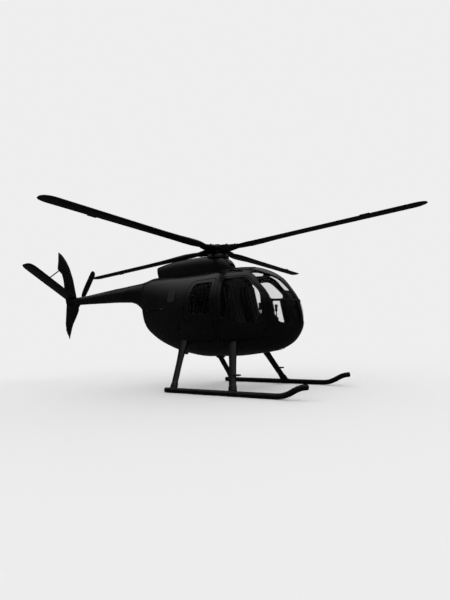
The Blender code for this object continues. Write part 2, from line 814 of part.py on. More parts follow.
def round_loft(name, stations):
    """A round body along the boom through (station, radius, height) sections."""
    rings = [oval_ring(x, r, r, z, 2.0, 28) for x, r, z in stations]
    return mesh_of(name, lambda bm: loft(bm, rings))


def build_stabilizer(tail_body):
    """The single starboard stabiliser, raised towards its tip, and the brace to the fin."""
    root, tip = Vector(STABILIZER_ROOT), Vector(STABILIZER_TIP)
    span = (tip - root).normalized()
    chordwise = Vector((1, 0, 0))
    across = chordwise.cross(span).normalized()
    length = (tip - root).length
    stations = ((0.0, 1.0), (0.5, 1.0), (0.86, 1.0), (0.94, 0.92), (0.985, 0.68), (1.0, 0.36))
    sections = []
    for share, width in stations:
        chord = STABILIZER_CHORD * width
        sections.append((root + span * length * share, chordwise, across, chord, 0.055 * width))
    blade = add_part("stabilizer", wing_mesh("stabilizer", sections), "black_paint")
    fin_side = box_mesh("fin_side", (-5.7, -FIN_THICKNESS / 2 - SEAM, 1.9), (-4.2, 0.2, 3.7))
    fin_cutter = add_cutter("fin_side", fin_side)
    cut(blade, tail_body, fin_cutter)
    foot = root + span * length * 0.60 + Vector((0.20, 0, 0))
    top = Vector((-5.46, 0.0, 3.06))
    along = (top - foot).normalized()
    lift = across if across.z > 0 else -across
    bar = round_bar("brace", foot + lift * 0.02 + along * 0.03, top, 0.014, sides=10)
    cut(add_part("stabilizer_brace", bar, "dark_metal"), fin_cutter)


def build_tail_rotor(hub):
    """Two blades on a small hub, on the port side of the gearbox."""
    pivot = bpy.data.objects.new("tail_rotor_axis", None)
    pivot.location = (hub.x, TAIL_ROTOR_Y, hub.z)
    pivot.rotation_euler = (0.0, -TAIL_ROTOR_REST, 0.0)
    pivot.parent = AIRFRAME
    PARTS.objects.link(pivot)
    middle = add_part("tail_rotor_hub", round_bar("tail_hub", (0, -0.065, 0), (0, 0.045, 0), 0.060, 0.040, sides=16),
                      "dark_metal", parent=pivot)
    grips = box_mesh("tail_grips", (-0.030, -0.020, -0.150), (0.030, 0.020, 0.150), 0.006)
    join(middle, add_cutter("tail_grips", grips, parent=pivot))
    stations = (
        (0.1503, 0.060, 0.030),
        (0.240, 0.180, 0.022),
        (0.500, 0.200, 0.018),
        (0.900, 0.190, 0.014),
        (0.970, 0.140, 0.012),
        (1.000, 0.060, 0.010),
    )
    for name, sign in (("a", 1), ("b", -1)):
        sections = []
        for share, chord, thickness in stations:
            centre = (0, 0, sign * share * TAIL_ROTOR_RADIUS)
            sections.append((centre, (sign, 0, 0), (0, 1, 0), chord, thickness))
        add_part(f"tail_blade_{name}", wing_mesh("tail_blade", sections), "black_composite", parent=pivot)


# Rotor


def build_rotor():
    add_part("mast", round_bar("mast", (0, 0, 2.5503), (0, 0, MAST_TOP), 0.070, 0.055, sides=20), "dark_metal")
    pivot = bpy.data.objects.new("rotor_axis", None)
    pivot.location = (0.0, 0.0, ROTOR_HEIGHT)
    pivot.rotation_euler = (-ROTOR_ROLL, -ROTOR_TILT, 0.0)
    pivot.parent = AIRFRAME
    PARTS.objects.link(pivot)

    plate = add_part("swashplate", round_bar("plate", (0, 0, -0.118), (0, 0, -0.088), 0.150, 0.140, sides=24),
                     "dark_metal", parent=pivot)
    hub = add_part("main_rotor_hub", round_bar("hub", (0, 0, -0.060), (0, 0, 0.060), 0.105, 0.095, sides=24),
                   "dark_metal", parent=pivot)
    cap = round_bar("cap", (0, 0, 0.050), (0, 0, 0.125), 0.100, 0.060, sides=20)
    neck = round_bar("neck", (0, 0, -0.0877), (0, 0, -0.050), 0.060, sides=20)
    join(hub, add_cutter("hub_cap", cap, parent=pivot), add_cutter("hub_neck", neck, parent=pivot))
    arm_end = BLADE_ROOT - SEAM
    arm_side = [
        (0.060, -0.060),
        (0.300, -0.045),
        (arm_end, -0.032),
        (arm_end, 0.034),
        (0.330, 0.055),
        (0.180, 0.090),
        (0.060, 0.098),
    ]
    for quarter in range(4):
        turn = Matrix.Rotation(math.pi / 2 * quarter, 4, "Z")
        arm = prism("arm", arm_side, "y", -0.058, 0.058)
        arm.transform(turn)
        join(hub, add_cutter(f"hub_arm_{quarter}", arm, parent=pivot))
        link = round_bar("link", (0.118, 0.075, -0.110), (0.170, 0.075, -0.0303), 0.010, sides=8)
        link.transform(turn)
        join(plate, add_cutter(f"pitch_link_{quarter}", link, parent=pivot))
        build_blade(quarter, turn, pivot)


def build_blade(quarter, turn, pivot):
    """One rotor blade: its root lug, its constant chord and its rounded tip."""
    stations = (
        (BLADE_ROOT, 0.110, 0.060),
        (0.640, 0.130, 0.048),
        (0.820, BLADE_CHORD, BLADE_THICKNESS),
        (3.800, BLADE_CHORD, BLADE_THICKNESS),
        (3.930, 0.80 * BLADE_CHORD, 0.020),
        (4.000, 0.48 * BLADE_CHORD, 0.014),
        (ROTOR_RADIUS, 0.035, 0.010),
    )
    chordwise = Vector((0, math.cos(BLADE_PITCH), math.sin(BLADE_PITCH)))
    across = Vector((0, -math.sin(BLADE_PITCH), math.cos(BLADE_PITCH)))
    sections = [((reach, 0, 0), chordwise, across, chord, thickness) for reach, chord, thickness in stations]
    mesh = wing_mesh(f"main_blade_{quarter + 1}", sections)
    mesh.transform(turn)
    add_part(f"main_blade_{quarter + 1}", mesh, "black_composite", parent=pivot)


# Skid gear


def build_skids():
    belly = add_cutter("belly", pod_solid("belly", -SEAM))
    plate = round_bar("plate", (0.0, 0.0, HOOK_PLATE_BOTTOM), (0.0, 0.0, 0.70), HOOK_PLATE_RADIUS, sides=24)
    cut(add_part("cargo_hook_plate", plate, "dark_metal"), belly)
    lamp = round_bar("lamp", (BEACON_X, 0.0, 0.665), (BEACON_X, 0.0, 0.80), 0.040, 0.060, sides=20)
    cut(add_part("belly_beacon", lamp, "red_lens"), belly)
    for side, sign in SIDES:
        y = sign * SKID_TRACK / 2
        path = [(x, y, SKID_HEIGHT + z) for x, z in SKID_PATH]
        skid = add_part(f"skid_{side}", swept_tube("skid", path, SKID_RADIUS), "black_paint")
        low_y, high_y = sorted((y, y + sign * (SKID_RADIUS + 0.018)))
        lug = box_mesh("lug", (WHEEL_LUG_X - 0.05, low_y, 0.030), (WHEEL_LUG_X + 0.05, high_y, 0.080))
        join(skid, add_cutter(f"wheel_lug_{side}", lug))
        saddle_radius = (SKID_RADIUS + SEAM) / math.cos(math.pi / 24)
        saddle = round_bar("saddle", (-1.0, y, SKID_HEIGHT), (1.6, y, SKID_HEIGHT), saddle_radius, sides=24)
        saddle_cutter = add_cutter(f"saddle_{side}", saddle)
        for name, foot_x, top in STRUTS:
            strut = build_strut(f"{name}_strut_{side}", foot_x, top, sign)
            cut(strut, saddle_cutter, belly)
            if name == "front":
                step = box_mesh("step", (0.93, -0.05, 0.345), (1.06, 0.05, 0.370), 0.008)
                step.transform(Matrix.Translation((-0.10, sign * 0.850, 0.0)))
                join(strut, add_cutter(f"step_{side}", step))


def build_strut(name, foot_x, top, sign):
    """A faired leg from the skid tube to the belly, broader where it enters the belly."""
    foot = Vector((foot_x, sign * SKID_TRACK / 2, SKID_HEIGHT))
    head = Vector((top[0], sign * top[1], top[2]))
    along = (head - foot).normalized()
    chordwise = (Vector((1, 0, 0)) - along * along.x).normalized()
    across = along.cross(chordwise).normalized()
    stations = (
        (0.00, 1.25, 1.6),
        (0.10, 1.25, 1.6),
        (0.16, 0.95, 1.0),
        (0.60, 1.00, 1.0),
        (0.80, 1.10, 1.1),
        (1.00, 1.60, 1.5),
    )
    sections = []
    for share, wide, thick in stations:
        centre = foot + (head - foot) * share
        sections.append((centre, chordwise, across, STRUT_CHORD * wide, STRUT_THICKNESS * thick))
    return add_part(name, wing_mesh(name, sections), "black_paint")


build_hinges(build_fuselage())
build_fairing()
build_engine_bay()
build_cabin()
build_tail()
build_rotor()
build_skids()
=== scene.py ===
"""A light four-blade helicopter on skids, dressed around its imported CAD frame.

Metres, +X to the nose, +Y to port, +Z up. Stations are measured from the rotor mast, as in the part's source,
and the mast stands at x = MAST_X in the frame.
"""

from __future__ import annotations

import json
import logging
import math
from collections.abc import Callable, Sequence
from dataclasses import dataclass, field, replace
from enum import Enum

import bmesh
import bpy
import numpy as np
from mathutils import Euler, Matrix, Vector, bvhtree, geometry, kdtree

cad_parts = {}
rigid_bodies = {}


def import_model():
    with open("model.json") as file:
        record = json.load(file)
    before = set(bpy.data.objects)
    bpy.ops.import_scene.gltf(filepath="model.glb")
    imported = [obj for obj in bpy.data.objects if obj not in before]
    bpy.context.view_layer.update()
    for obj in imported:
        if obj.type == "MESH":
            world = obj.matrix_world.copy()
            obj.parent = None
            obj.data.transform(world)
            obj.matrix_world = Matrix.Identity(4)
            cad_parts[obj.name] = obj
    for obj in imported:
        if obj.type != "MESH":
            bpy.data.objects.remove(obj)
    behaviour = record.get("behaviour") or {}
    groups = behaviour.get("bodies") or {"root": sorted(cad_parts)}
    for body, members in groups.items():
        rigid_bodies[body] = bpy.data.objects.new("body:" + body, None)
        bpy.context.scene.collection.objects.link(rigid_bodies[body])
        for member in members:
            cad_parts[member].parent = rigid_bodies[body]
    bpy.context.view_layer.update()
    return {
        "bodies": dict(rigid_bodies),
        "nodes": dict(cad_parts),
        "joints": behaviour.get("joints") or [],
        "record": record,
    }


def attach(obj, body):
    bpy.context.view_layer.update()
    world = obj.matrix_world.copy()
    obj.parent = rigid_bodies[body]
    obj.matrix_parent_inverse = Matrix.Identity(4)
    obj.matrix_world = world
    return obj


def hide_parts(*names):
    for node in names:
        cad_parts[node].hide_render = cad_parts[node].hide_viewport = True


LOG = logging.getLogger("helicopter")

Flat = tuple[float, float]
Corner = tuple[float, float, float]
Point = tuple[float, float, float]

# Driving sizes, as in the part's source
MAST_X = 0.7884
ROTOR_HEIGHT = 2.831
ROTOR_TILT = math.radians(2.6)
ROTOR_ROLL = math.radians(0.9)
WALL = 0.035
SEAM = 0.0004
DOOR_GAP = 0.010
LINING_ROOM = 0.0145
GLASS_DEPTH = 0.004
GLASS_THICKNESS = 0.008
SIDES = (("left", 1), ("right", -1))

# Fuselage: (station, top, bottom, half width) from the nose to the boom's root
POD_STATIONS = (
    (1.830, 1.195, 1.195, 0.000),
    (1.775, 1.598, 1.080, 0.204),
    (1.600, 1.912, 0.870, 0.394),
    (1.300, 2.210, 0.735, 0.527),
    (0.900, 2.360, 0.675, 0.651),
    (0.400, 2.395, 0.632, 0.690),
    (-0.200, 2.385, 0.627, 0.658),
    (-0.800, 2.390, 0.710, 0.561),
    (-1.300, 2.410, 0.858, 0.440),
    (-1.700, 2.425, 1.049, 0.342),
    (-1.960, 2.385, 1.265, 0.268),
    (-2.050, 2.370, 1.560, 0.205),
    (-2.190, 2.350, 1.740, 0.188),
    (-2.400, 2.335, 1.870, 0.192),
    (-2.620, 2.322, 1.920, 0.200),
)
POD_POWER = 2.25
POD_GIRTH_RADIUS = 0.69

# Outlines with a corner radius: (station, height) for doors, (offset, height) in front, (station, offset) in plan
FRONT_OPENING = (
    (0.395, 0.955, 0.06),
    (1.200, 0.955, 0.20),
    (1.420, 1.250, 0.30),
    (1.400, 1.730, 0.30),
    (0.960, 2.165, 0.30),
    (0.395, 2.165, 0.06),
)
FRONT_CARD = (
    (0.450, 1.005, 0.04),
    (1.165, 1.005, 0.15),
    (1.320, 1.195, 0.10),
    (1.215, 1.205, 0.03),
    (0.765, 1.225, 0.10),
    (0.450, 1.355, 0.04),
)
FRONT_WINDOW = (
    (0.485, 1.400, 0.06),
    (0.780, 1.270, 0.20),
    (1.240, 1.250, 0.10),
    (1.290, 1.450, 0.20),
    (1.262, 1.810, 0.30),
    (0.955, 2.125, 0.20),
    (0.485, 2.125, 0.06),
)
REAR_OPENING = (
    (0.325, 2.165, 0.06),
    (-0.290, 2.165, 0.16),
    (-0.440, 1.900, 0.20),
    (-0.440, 1.180, 0.20),
    (-0.330, 0.955, 0.12),
    (0.325, 0.955, 0.06),
)
REAR_CARD = (
    (0.275, 1.005, 0.04),
    (0.275, 1.380, 0.04),
    (-0.335, 1.440, 0.02),
    (-0.385, 1.400, 0.02),
    (-0.385, 1.190, 0.12),
    (-0.300, 1.005, 0.10),
)
REAR_WINDOW = (
    (0.240, 2.090, 0.06),
    (-0.200, 2.090, 0.12),
    (-0.300, 1.870, 0.12),
    (-0.300, 1.500, 0.10),
    (0.240, 1.440, 0.06),
)
WINDSCREEN = (
    (0.050, 1.665, 0.02),
    (0.455, 1.665, 0.03),
    (0.455, 1.980, 0.30),
    (0.385, 2.225, 0.05),
    (0.300, 2.222, 0.10),
    (0.100, 2.060, 0.14),
    (0.050, 1.890, 0.10),
)
CHIN_WINDOW = (
    (0.050, 1.235, 0.05),
    (0.410, 1.235, 0.08),
    (0.450, 1.400, 0.10),
    (0.450, 1.635, 0.03),
    (0.050, 1.635, 0.02),
)
ROOF_WINDOW = (
    (0.500, 0.100, 0.05),
    (0.990, 0.100, 0.05),
    (0.990, 0.250, 0.10),
    (0.830, 0.400, 0.08),
    (0.500, 0.425, 0.05),
)

ENGINE_HINGE_FRONT = (-1.000, 0.532)
ENGINE_HINGE_REAR = (-1.860, 0.325)
ENGINE_HINGE_HEIGHT = 1.640
ENGINE_DOOR_LENGTH = 0.80
DOOR_HINGES = {"front_door": (1.412, 0.502), "rear_door": (0.320, 0.702)}
DOOR_HINGE_HEIGHTS = (1.290, 1.520)
ENGINE_HINGE_SPREAD = 0.280
KNUCKLE_RADIUS = 0.008
KNUCKLE_LENGTH = 0.036
LEAF_THICKNESS = 0.006
LEAF_REACH = 0.030
LEAF_DEPTH = 0.008
EXHAUST_START = (-1.640, 0.0, 1.600)
EXHAUST_END = (-2.060, 0.0, 1.485)
EXHAUST_RADIUS = 0.110
LIGHT_X = 1.380
LIGHT_RADIUS = 0.085

AIRFRAME = Matrix.Translation((MAST_X, 0.0, 0.0))


# Curves and outlines


def slope_limited(left: float, right: float) -> float:
    """The slope at a knot between two steps, zero at a turning point."""
    if left * right <= 0:
        return 0.0
    return 2 * left * right / (left + right)


def smooth_value(values: Sequence[float], t: float) -> float:
    """A smooth curve through values at 0, 1, 2..., which never overshoots them.

    Args:
        values: The values at whole numbers.
        t: The place to read, from 0 to the last number.

    Returns:
        The curve's value there.
    """
    steps = [b - a for a, b in zip(values, values[1:])]
    slopes = [slope_limited(a, b) for a, b in zip(steps, steps[1:])]
    first = 1.5 * steps[0] - 0.5 * steps[1] if len(steps) > 1 else steps[0]
    last = 1.5 * steps[-1] - 0.5 * steps[-2] if len(steps) > 1 else steps[0]
    slopes = [first if first * steps[0] > 0 else 0.0, *slopes, last if last * steps[-1] > 0 else 0.0]
    i = min(int(t), len(steps) - 1)
    u = t - i
    rise = values[i] * (1 + 2 * u) * (1 - u) ** 2 + values[i + 1] * u * u * (3 - 2 * u)
    return rise + slopes[i] * u * (1 - u) ** 2 - slopes[i + 1] * u * u * (1 - u)


def refined(stations: Sequence[Sequence[float]], bays: int) -> list[tuple[float, ...]]:
    """Rows of numbers with smooth rows added between them.

    Args:
        stations: The rows.
        bays: How many steps each gap is split into.

    Returns:
        The longer list of rows.
    """
    columns = list(zip(*stations))
    count = (len(stations) - 1) * bays
    return [tuple(smooth_value(column, k / bays) for column in columns) for k in range(count + 1)]


def rounded(outline: Sequence[Corner], inset: float = 0.0, arc_steps: int = 8) -> list[Flat]:
    """Points of a polygon whose corners are arcs, moved inwards by inset.

    Args:
        outline: Corners as (across, up, corner radius).
        inset: How far the sides move inwards.
        arc_steps: The steps in each corner.

    Returns:
        The points in order.
    """
    corners = [Vector(point[:2]) for point in outline]
    count = len(corners)
    turn = sum(corners[i - 1].x * corners[i].y - corners[i - 1].y * corners[i].x for i in range(count))
    side = 1.0 if turn > 0 else -1.0
    moved = []
    for i in range(count):
        before = (corners[i] - corners[i - 1]).normalized()
        after = (corners[(i + 1) % count] - corners[i]).normalized()
        normals = Vector((-before.y, before.x)) * side + Vector((-after.y, after.x)) * side
        moved.append(corners[i] + normals * inset / max(normals.length_squared / 2, 0.2))
    points: list[Vector] = []
    for i in range(count):
        here = moved[i]
        to_before = moved[i - 1] - here
        to_after = moved[(i + 1) % count] - here
        half = to_before.angle(to_after) / 2
        reach = min(outline[i][2] / math.tan(half), 0.48 * to_before.length, 0.48 * to_after.length)
        if reach < 0.002:
            points.append(here)
            continue
        start = here + to_before.normalized() * reach
        end = here + to_after.normalized() * reach
        for k in range(arc_steps + 1):
            u = k / arc_steps
            points.append(start * (1 - u) ** 2 + here * 2 * u * (1 - u) + end * u * u)
    return [(point.x, point.y) for point in points]


def resampled(loop: Sequence[Flat], spacing: float) -> list[Flat]:
    """A closed loop whose long sides are split into steps of about spacing."""
    points = []
    for a, b in zip(loop, [*loop[1:], loop[0]]):
        count = max(1, round(math.dist(a, b) / spacing))
        points += [(a[0] + (b[0] - a[0]) * k / count, a[1] + (b[1] - a[1]) * k / count) for k in range(count)]
    return points


def within(points: np.ndarray, polygon: Sequence[Flat]) -> np.ndarray:
    """Which of the points lie inside a polygon.

    Args:
        points: An array of (across, up) rows.
        polygon: The polygon's corners.

    Returns:
        A mask, one for each point.
    """
    inside = np.zeros(len(points), bool)
    x, y = points[:, 0], points[:, 1]
    for (ax, ay), (bx, by) in zip(polygon, [*polygon[1:], polygon[0]]):
        if ay == by:
            continue
        crosses = (ay > y) != (by > y)
        inside ^= crosses & (x < (bx - ax) * (y - ay) / (by - ay) + ax)
    return inside


def hex_grid(outline: Sequence[Flat], spacing: float) -> np.ndarray:
    """A triangular grid of points over an outline's box."""
    flat = np.array(outline)
    low, high = flat.min(axis=0), flat.max(axis=0)
    rows = np.arange(low[1], high[1], spacing * math.sqrt(0.75))
    grid = []
    for number, row in enumerate(rows):
        across = np.arange(low[0] + spacing * 0.5 * (number % 2), high[0], spacing)
        grid.append(np.column_stack([across, np.full(len(across), row)]))
    return np.vstack(grid)


def filled_sheet(
    outline: Sequence[Flat], holes: Sequence[Sequence[Flat]], grid: np.ndarray, clearance: float
) -> tuple[np.ndarray, np.ndarray]:
    """A flat sheet of well-shaped triangles inside an outline and outside its holes.

    Args:
        outline: The outer loop.
        holes: The loops that are left open.
        grid: Points to use inside.
        clearance: How far a grid point keeps from a loop's points.

    Returns:
        The points and the triangles.
    """
    keep = within(grid, outline)
    for hole in holes:
        keep &= ~within(grid, hole)
    loops = [list(outline), *[list(hole) for hole in holes]]
    border = [point for loop in loops for point in loop]
    tree = kdtree.KDTree(len(border))
    for number, point in enumerate(border):
        tree.insert((*point, 0.0), number)
    tree.balance()
    inner = [point for point in grid[keep] if tree.find((*point, 0.0))[2] > clearance]
    edges = []
    start = 0
    for loop in loops:
        edges += [(start + k, start + (k + 1) % len(loop)) for k in range(len(loop))]
        start += len(loop)
    vertices = [Vector(point) for point in [*border, *inner]]
    coords, _, faces, *_ = geometry.delaunay_2d_cdt(vertices, edges, [], 0, 1e-7)
    flat = np.array([tuple(coord) for coord in coords])
    triangles = np.array([face for face in faces if len(face) == 3])
    centres = flat[triangles].mean(axis=1)
    kept = within(centres, outline)
    for hole in holes:
        kept &= ~within(centres, hole)
    return flat, triangles[kept]


# Meshes


def mesh_of(name: str, build: Callable[[bmesh.types.BMesh], None], sharp: float = 35.0) -> bpy.types.Mesh:
    """A smooth-shaded mesh filled by build(bm), with its edges sharp past an angle in degrees."""
    bm = bmesh.new()
    build(bm)
    mesh = bpy.data.meshes.new(name)
    bm.to_mesh(mesh)
    bm.free()
    mesh.shade_smooth()
    mesh.set_sharp_from_angle(angle=math.radians(sharp))
    return mesh


def loft(bm: bmesh.types.BMesh, rings: Sequence[Sequence[Sequence[float]]], caps: bool = True) -> None:
    """A body through rings of equal count, with flat ends, its faces pointing out."""
    loops = [[bm.verts.new(point) for point in ring] for ring in rings]
    count = len(loops[0])
    made = []
    for a, b in zip(loops, loops[1:]):
        for k in range(count):
            made.append(bm.faces.new((a[k], a[(k + 1) % count], b[(k + 1) % count], b[k])))
    if caps:
        made.append(bm.faces.new(loops[0][::-1]))
        made.append(bm.faces.new(loops[-1]))
    bmesh.ops.recalc_face_normals(bm, faces=made)


def turned(
    bm: bmesh.types.BMesh,
    profile: Sequence[Flat],
    start: Sequence[float],
    direction: Sequence[float],
    sides: int = 32,
) -> None:
    """A turned body: profile rows of (distance along, radius) about an axis.

    Args:
        bm: The mesh that receives it.
        profile: The rows, from one end to the other.
        start: The axis's first point.
        direction: The axis's direction.
        sides: The points in each ring.
    """
    axis = Vector(direction).normalized()
    turn = Vector((0, 0, 1)).rotation_difference(axis).to_matrix()
    rings = []
    for along, radius in profile:
        centre = Vector(start) + axis * along
        ring = []
        for k in range(sides):
            angle = 2 * math.pi * (k + 0.5) / sides
            ring.append(centre + turn @ Vector((radius * math.cos(angle), radius * math.sin(angle), 0.0)))
        rings.append(ring)
    loft(bm, rings)


def tube(
    bm: bmesh.types.BMesh, points: Sequence[Sequence[float]], radius: float | Sequence[float], sides: int = 12
) -> None:
    """A round bar along a path.

    Args:
        bm: The mesh that receives it.
        points: The path.
        radius: One radius, or one for each point.
        sides: The points in each ring.
    """
    path = [Vector(point) for point in points]
    count = len(path)
    radii = [radius] * count if isinstance(radius, (int, float)) else list(radius)
    tangents = [(path[min(k + 1, count - 1)] - path[max(k - 1, 0)]).normalized() for k in range(count)]
    normal = tangents[0].orthogonal().normalized()
    rings = []
    for k in range(count):
        if k:
            normal = tangents[k - 1].rotation_difference(tangents[k]) @ normal
        side = tangents[k].cross(normal)
        angles = [2 * math.pi * s / sides for s in range(sides)]
        rings.append([path[k] + (normal * math.cos(a) + side * math.sin(a)) * radii[k] for a in angles])
    loft(bm, rings)


def circle(radius: float, sides: int = 8) -> list[Flat]:
    """A round profile."""
    angles = [2 * math.pi * (k + 0.5) / sides for k in range(sides)]
    return [(radius * math.cos(angle), radius * math.sin(angle)) for angle in angles]


def band(width: float, thick: float, sunk: float = 0.0) -> list[Flat]:
    """A flat profile with softened upper edges, its foot sunk below the path."""
    rows = ((-1.0, 0.0), (-1.0, 0.55), (-0.8, 1.0), (0.8, 1.0), (1.0, 0.55), (1.0, 0.0))
    return [(across * width / 2, up * thick - sunk) for across, up in rows]


def swept(
    bm: bmesh.types.BMesh,
    points: Sequence[Sequence[float]],
    ups: Sequence[Sequence[float]],
    profile: Sequence[Flat],
    closed: bool = False,
) -> None:
    """A profile carried along a path and held upright.

    Args:
        bm: The mesh that receives it.
        points: The path.
        ups: The upward direction at each point.
        profile: Offsets (sideways, upwards) from the path.
        closed: True where the path is a loop.
    """
    path = [Vector(point) for point in points]
    count = len(path)
    rings = []
    for k, point in enumerate(path):
        before = path[k - 1] if closed or k else path[0]
        after = path[(k + 1) % count] if closed or k + 1 < count else path[-1]
        up = Vector(ups[k]).normalized()
        side = (after - before).cross(up).normalized()
        rings.append([point + side * across + up * lift for across, lift in profile])
    if not closed:
        loft(bm, rings)
        return
    known = set(bm.verts)
    loft(bm, [*rings, rings[0]], caps=False)
    made = [vert for vert in bm.verts if vert not in known]
    bmesh.ops.remove_doubles(bm, verts=made, dist=1e-6)
    faces = list({face for vert in bm.verts if vert not in known for face in vert.link_faces})
    bmesh.ops.recalc_face_normals(bm, faces=faces)


def rounded_box(
    bm: bmesh.types.BMesh,
    low: Sequence[float],
    high: Sequence[float],
    radius: float,
    place: Matrix | None = None,
    segments: int = 3,
) -> None:
    """A box between two corners with rounded edges, then put in place."""
    low, high = Vector(low), Vector(high)
    made = bmesh.ops.create_cube(bm, size=1.0)["verts"]
    bmesh.ops.scale(bm, verts=made, vec=high - low)
    bmesh.ops.translate(bm, verts=made, vec=(low + high) / 2)
    edges = {edge for vert in made for edge in vert.link_edges}
    rounding = bmesh.ops.bevel(
        bm, geom=list(edges), offset=radius, segments=segments, profile=0.5, affect="EDGES", clamp_overlap=True
    )
    if place is not None:
        faces = set(rounding["faces"])
        verts = {vert for face in faces for vert in face.verts}
        bmesh.ops.transform(bm, matrix=place, verts=list(verts))


def extruded(
    bm: bmesh.types.BMesh, outline: Sequence[Sequence[float]], push: Sequence[float], edge: float = 0.0
) -> None:
    """A flat outline pushed into a body, its edges rounded by edge."""
    before = set(bm.verts)
    face = bm.faces.new([bm.verts.new(point) for point in outline])
    grown = bmesh.ops.extrude_face_region(bm, geom=[face])
    moved = [item for item in grown["geom"] if isinstance(item, bmesh.types.BMVert)]
    bmesh.ops.translate(bm, verts=moved, vec=push)
    made = [vert for vert in bm.verts if vert not in before]
    faces = list({face for vert in made for face in vert.link_faces})
    bmesh.ops.recalc_face_normals(bm, faces=faces)
    if edge:
        rims = [line for line in {e for f in faces for e in f.edges} if line.calc_face_angle(0.0) > math.radians(40)]
        bmesh.ops.bevel(bm, geom=rims, offset=edge, segments=2, profile=0.5, affect="EDGES", clamp_overlap=True)


def wing_section(chord: float, thickness: float, steps: int = 14) -> list[Flat]:
    """A streamlined section, nose at +chord / 2, as (along the chord, across it)."""
    upper = []
    for k in range(steps + 1):
        u = 0.5 - 0.5 * math.cos(math.pi * k / steps)
        across = 5 * thickness * (0.2969 * math.sqrt(u) - 0.1260 * u - 0.3516 * u**2 + 0.2843 * u**3 - 0.1036 * u**4)
        upper.append((chord * (0.5 - u), max(across, 0.0)))
    lower = [(a, -b) for a, b in upper[-2:0:-1]]
    tail = upper[-1][0]
    return [*upper[:-1], (tail, 0.04 * thickness), (tail, -0.04 * thickness), *lower]


@dataclass
class Section:
    """One cut through a wing: its centre, its chord's and its thickness's directions, and both sizes."""

    centre: Vector
    chordwise: Vector
    across: Vector
    chord: float
    thickness: float

    def ring(self, grow: float = 0.0, nose_share: float = 1.0) -> list[Vector]:
        """The section's points, held off the surface by grow, keeping only the front share of the chord."""
        points = []
        for a, b in wing_section(self.chord, self.thickness):
            limit = self.chord * (0.5 - nose_share)
            b += math.copysign(grow, b) if b else 0.0
            a = max(a, limit) + (grow if a > 0.49 * self.chord else 0.0)
            points.append(self.centre + self.chordwise * a + self.across * b)
        return points


def wing(bm: bmesh.types.BMesh, sections: Sequence[Section]) -> None:
    """A wing through its sections."""
    loft(bm, [section.ring() for section in sections])


# The fuselage's surface


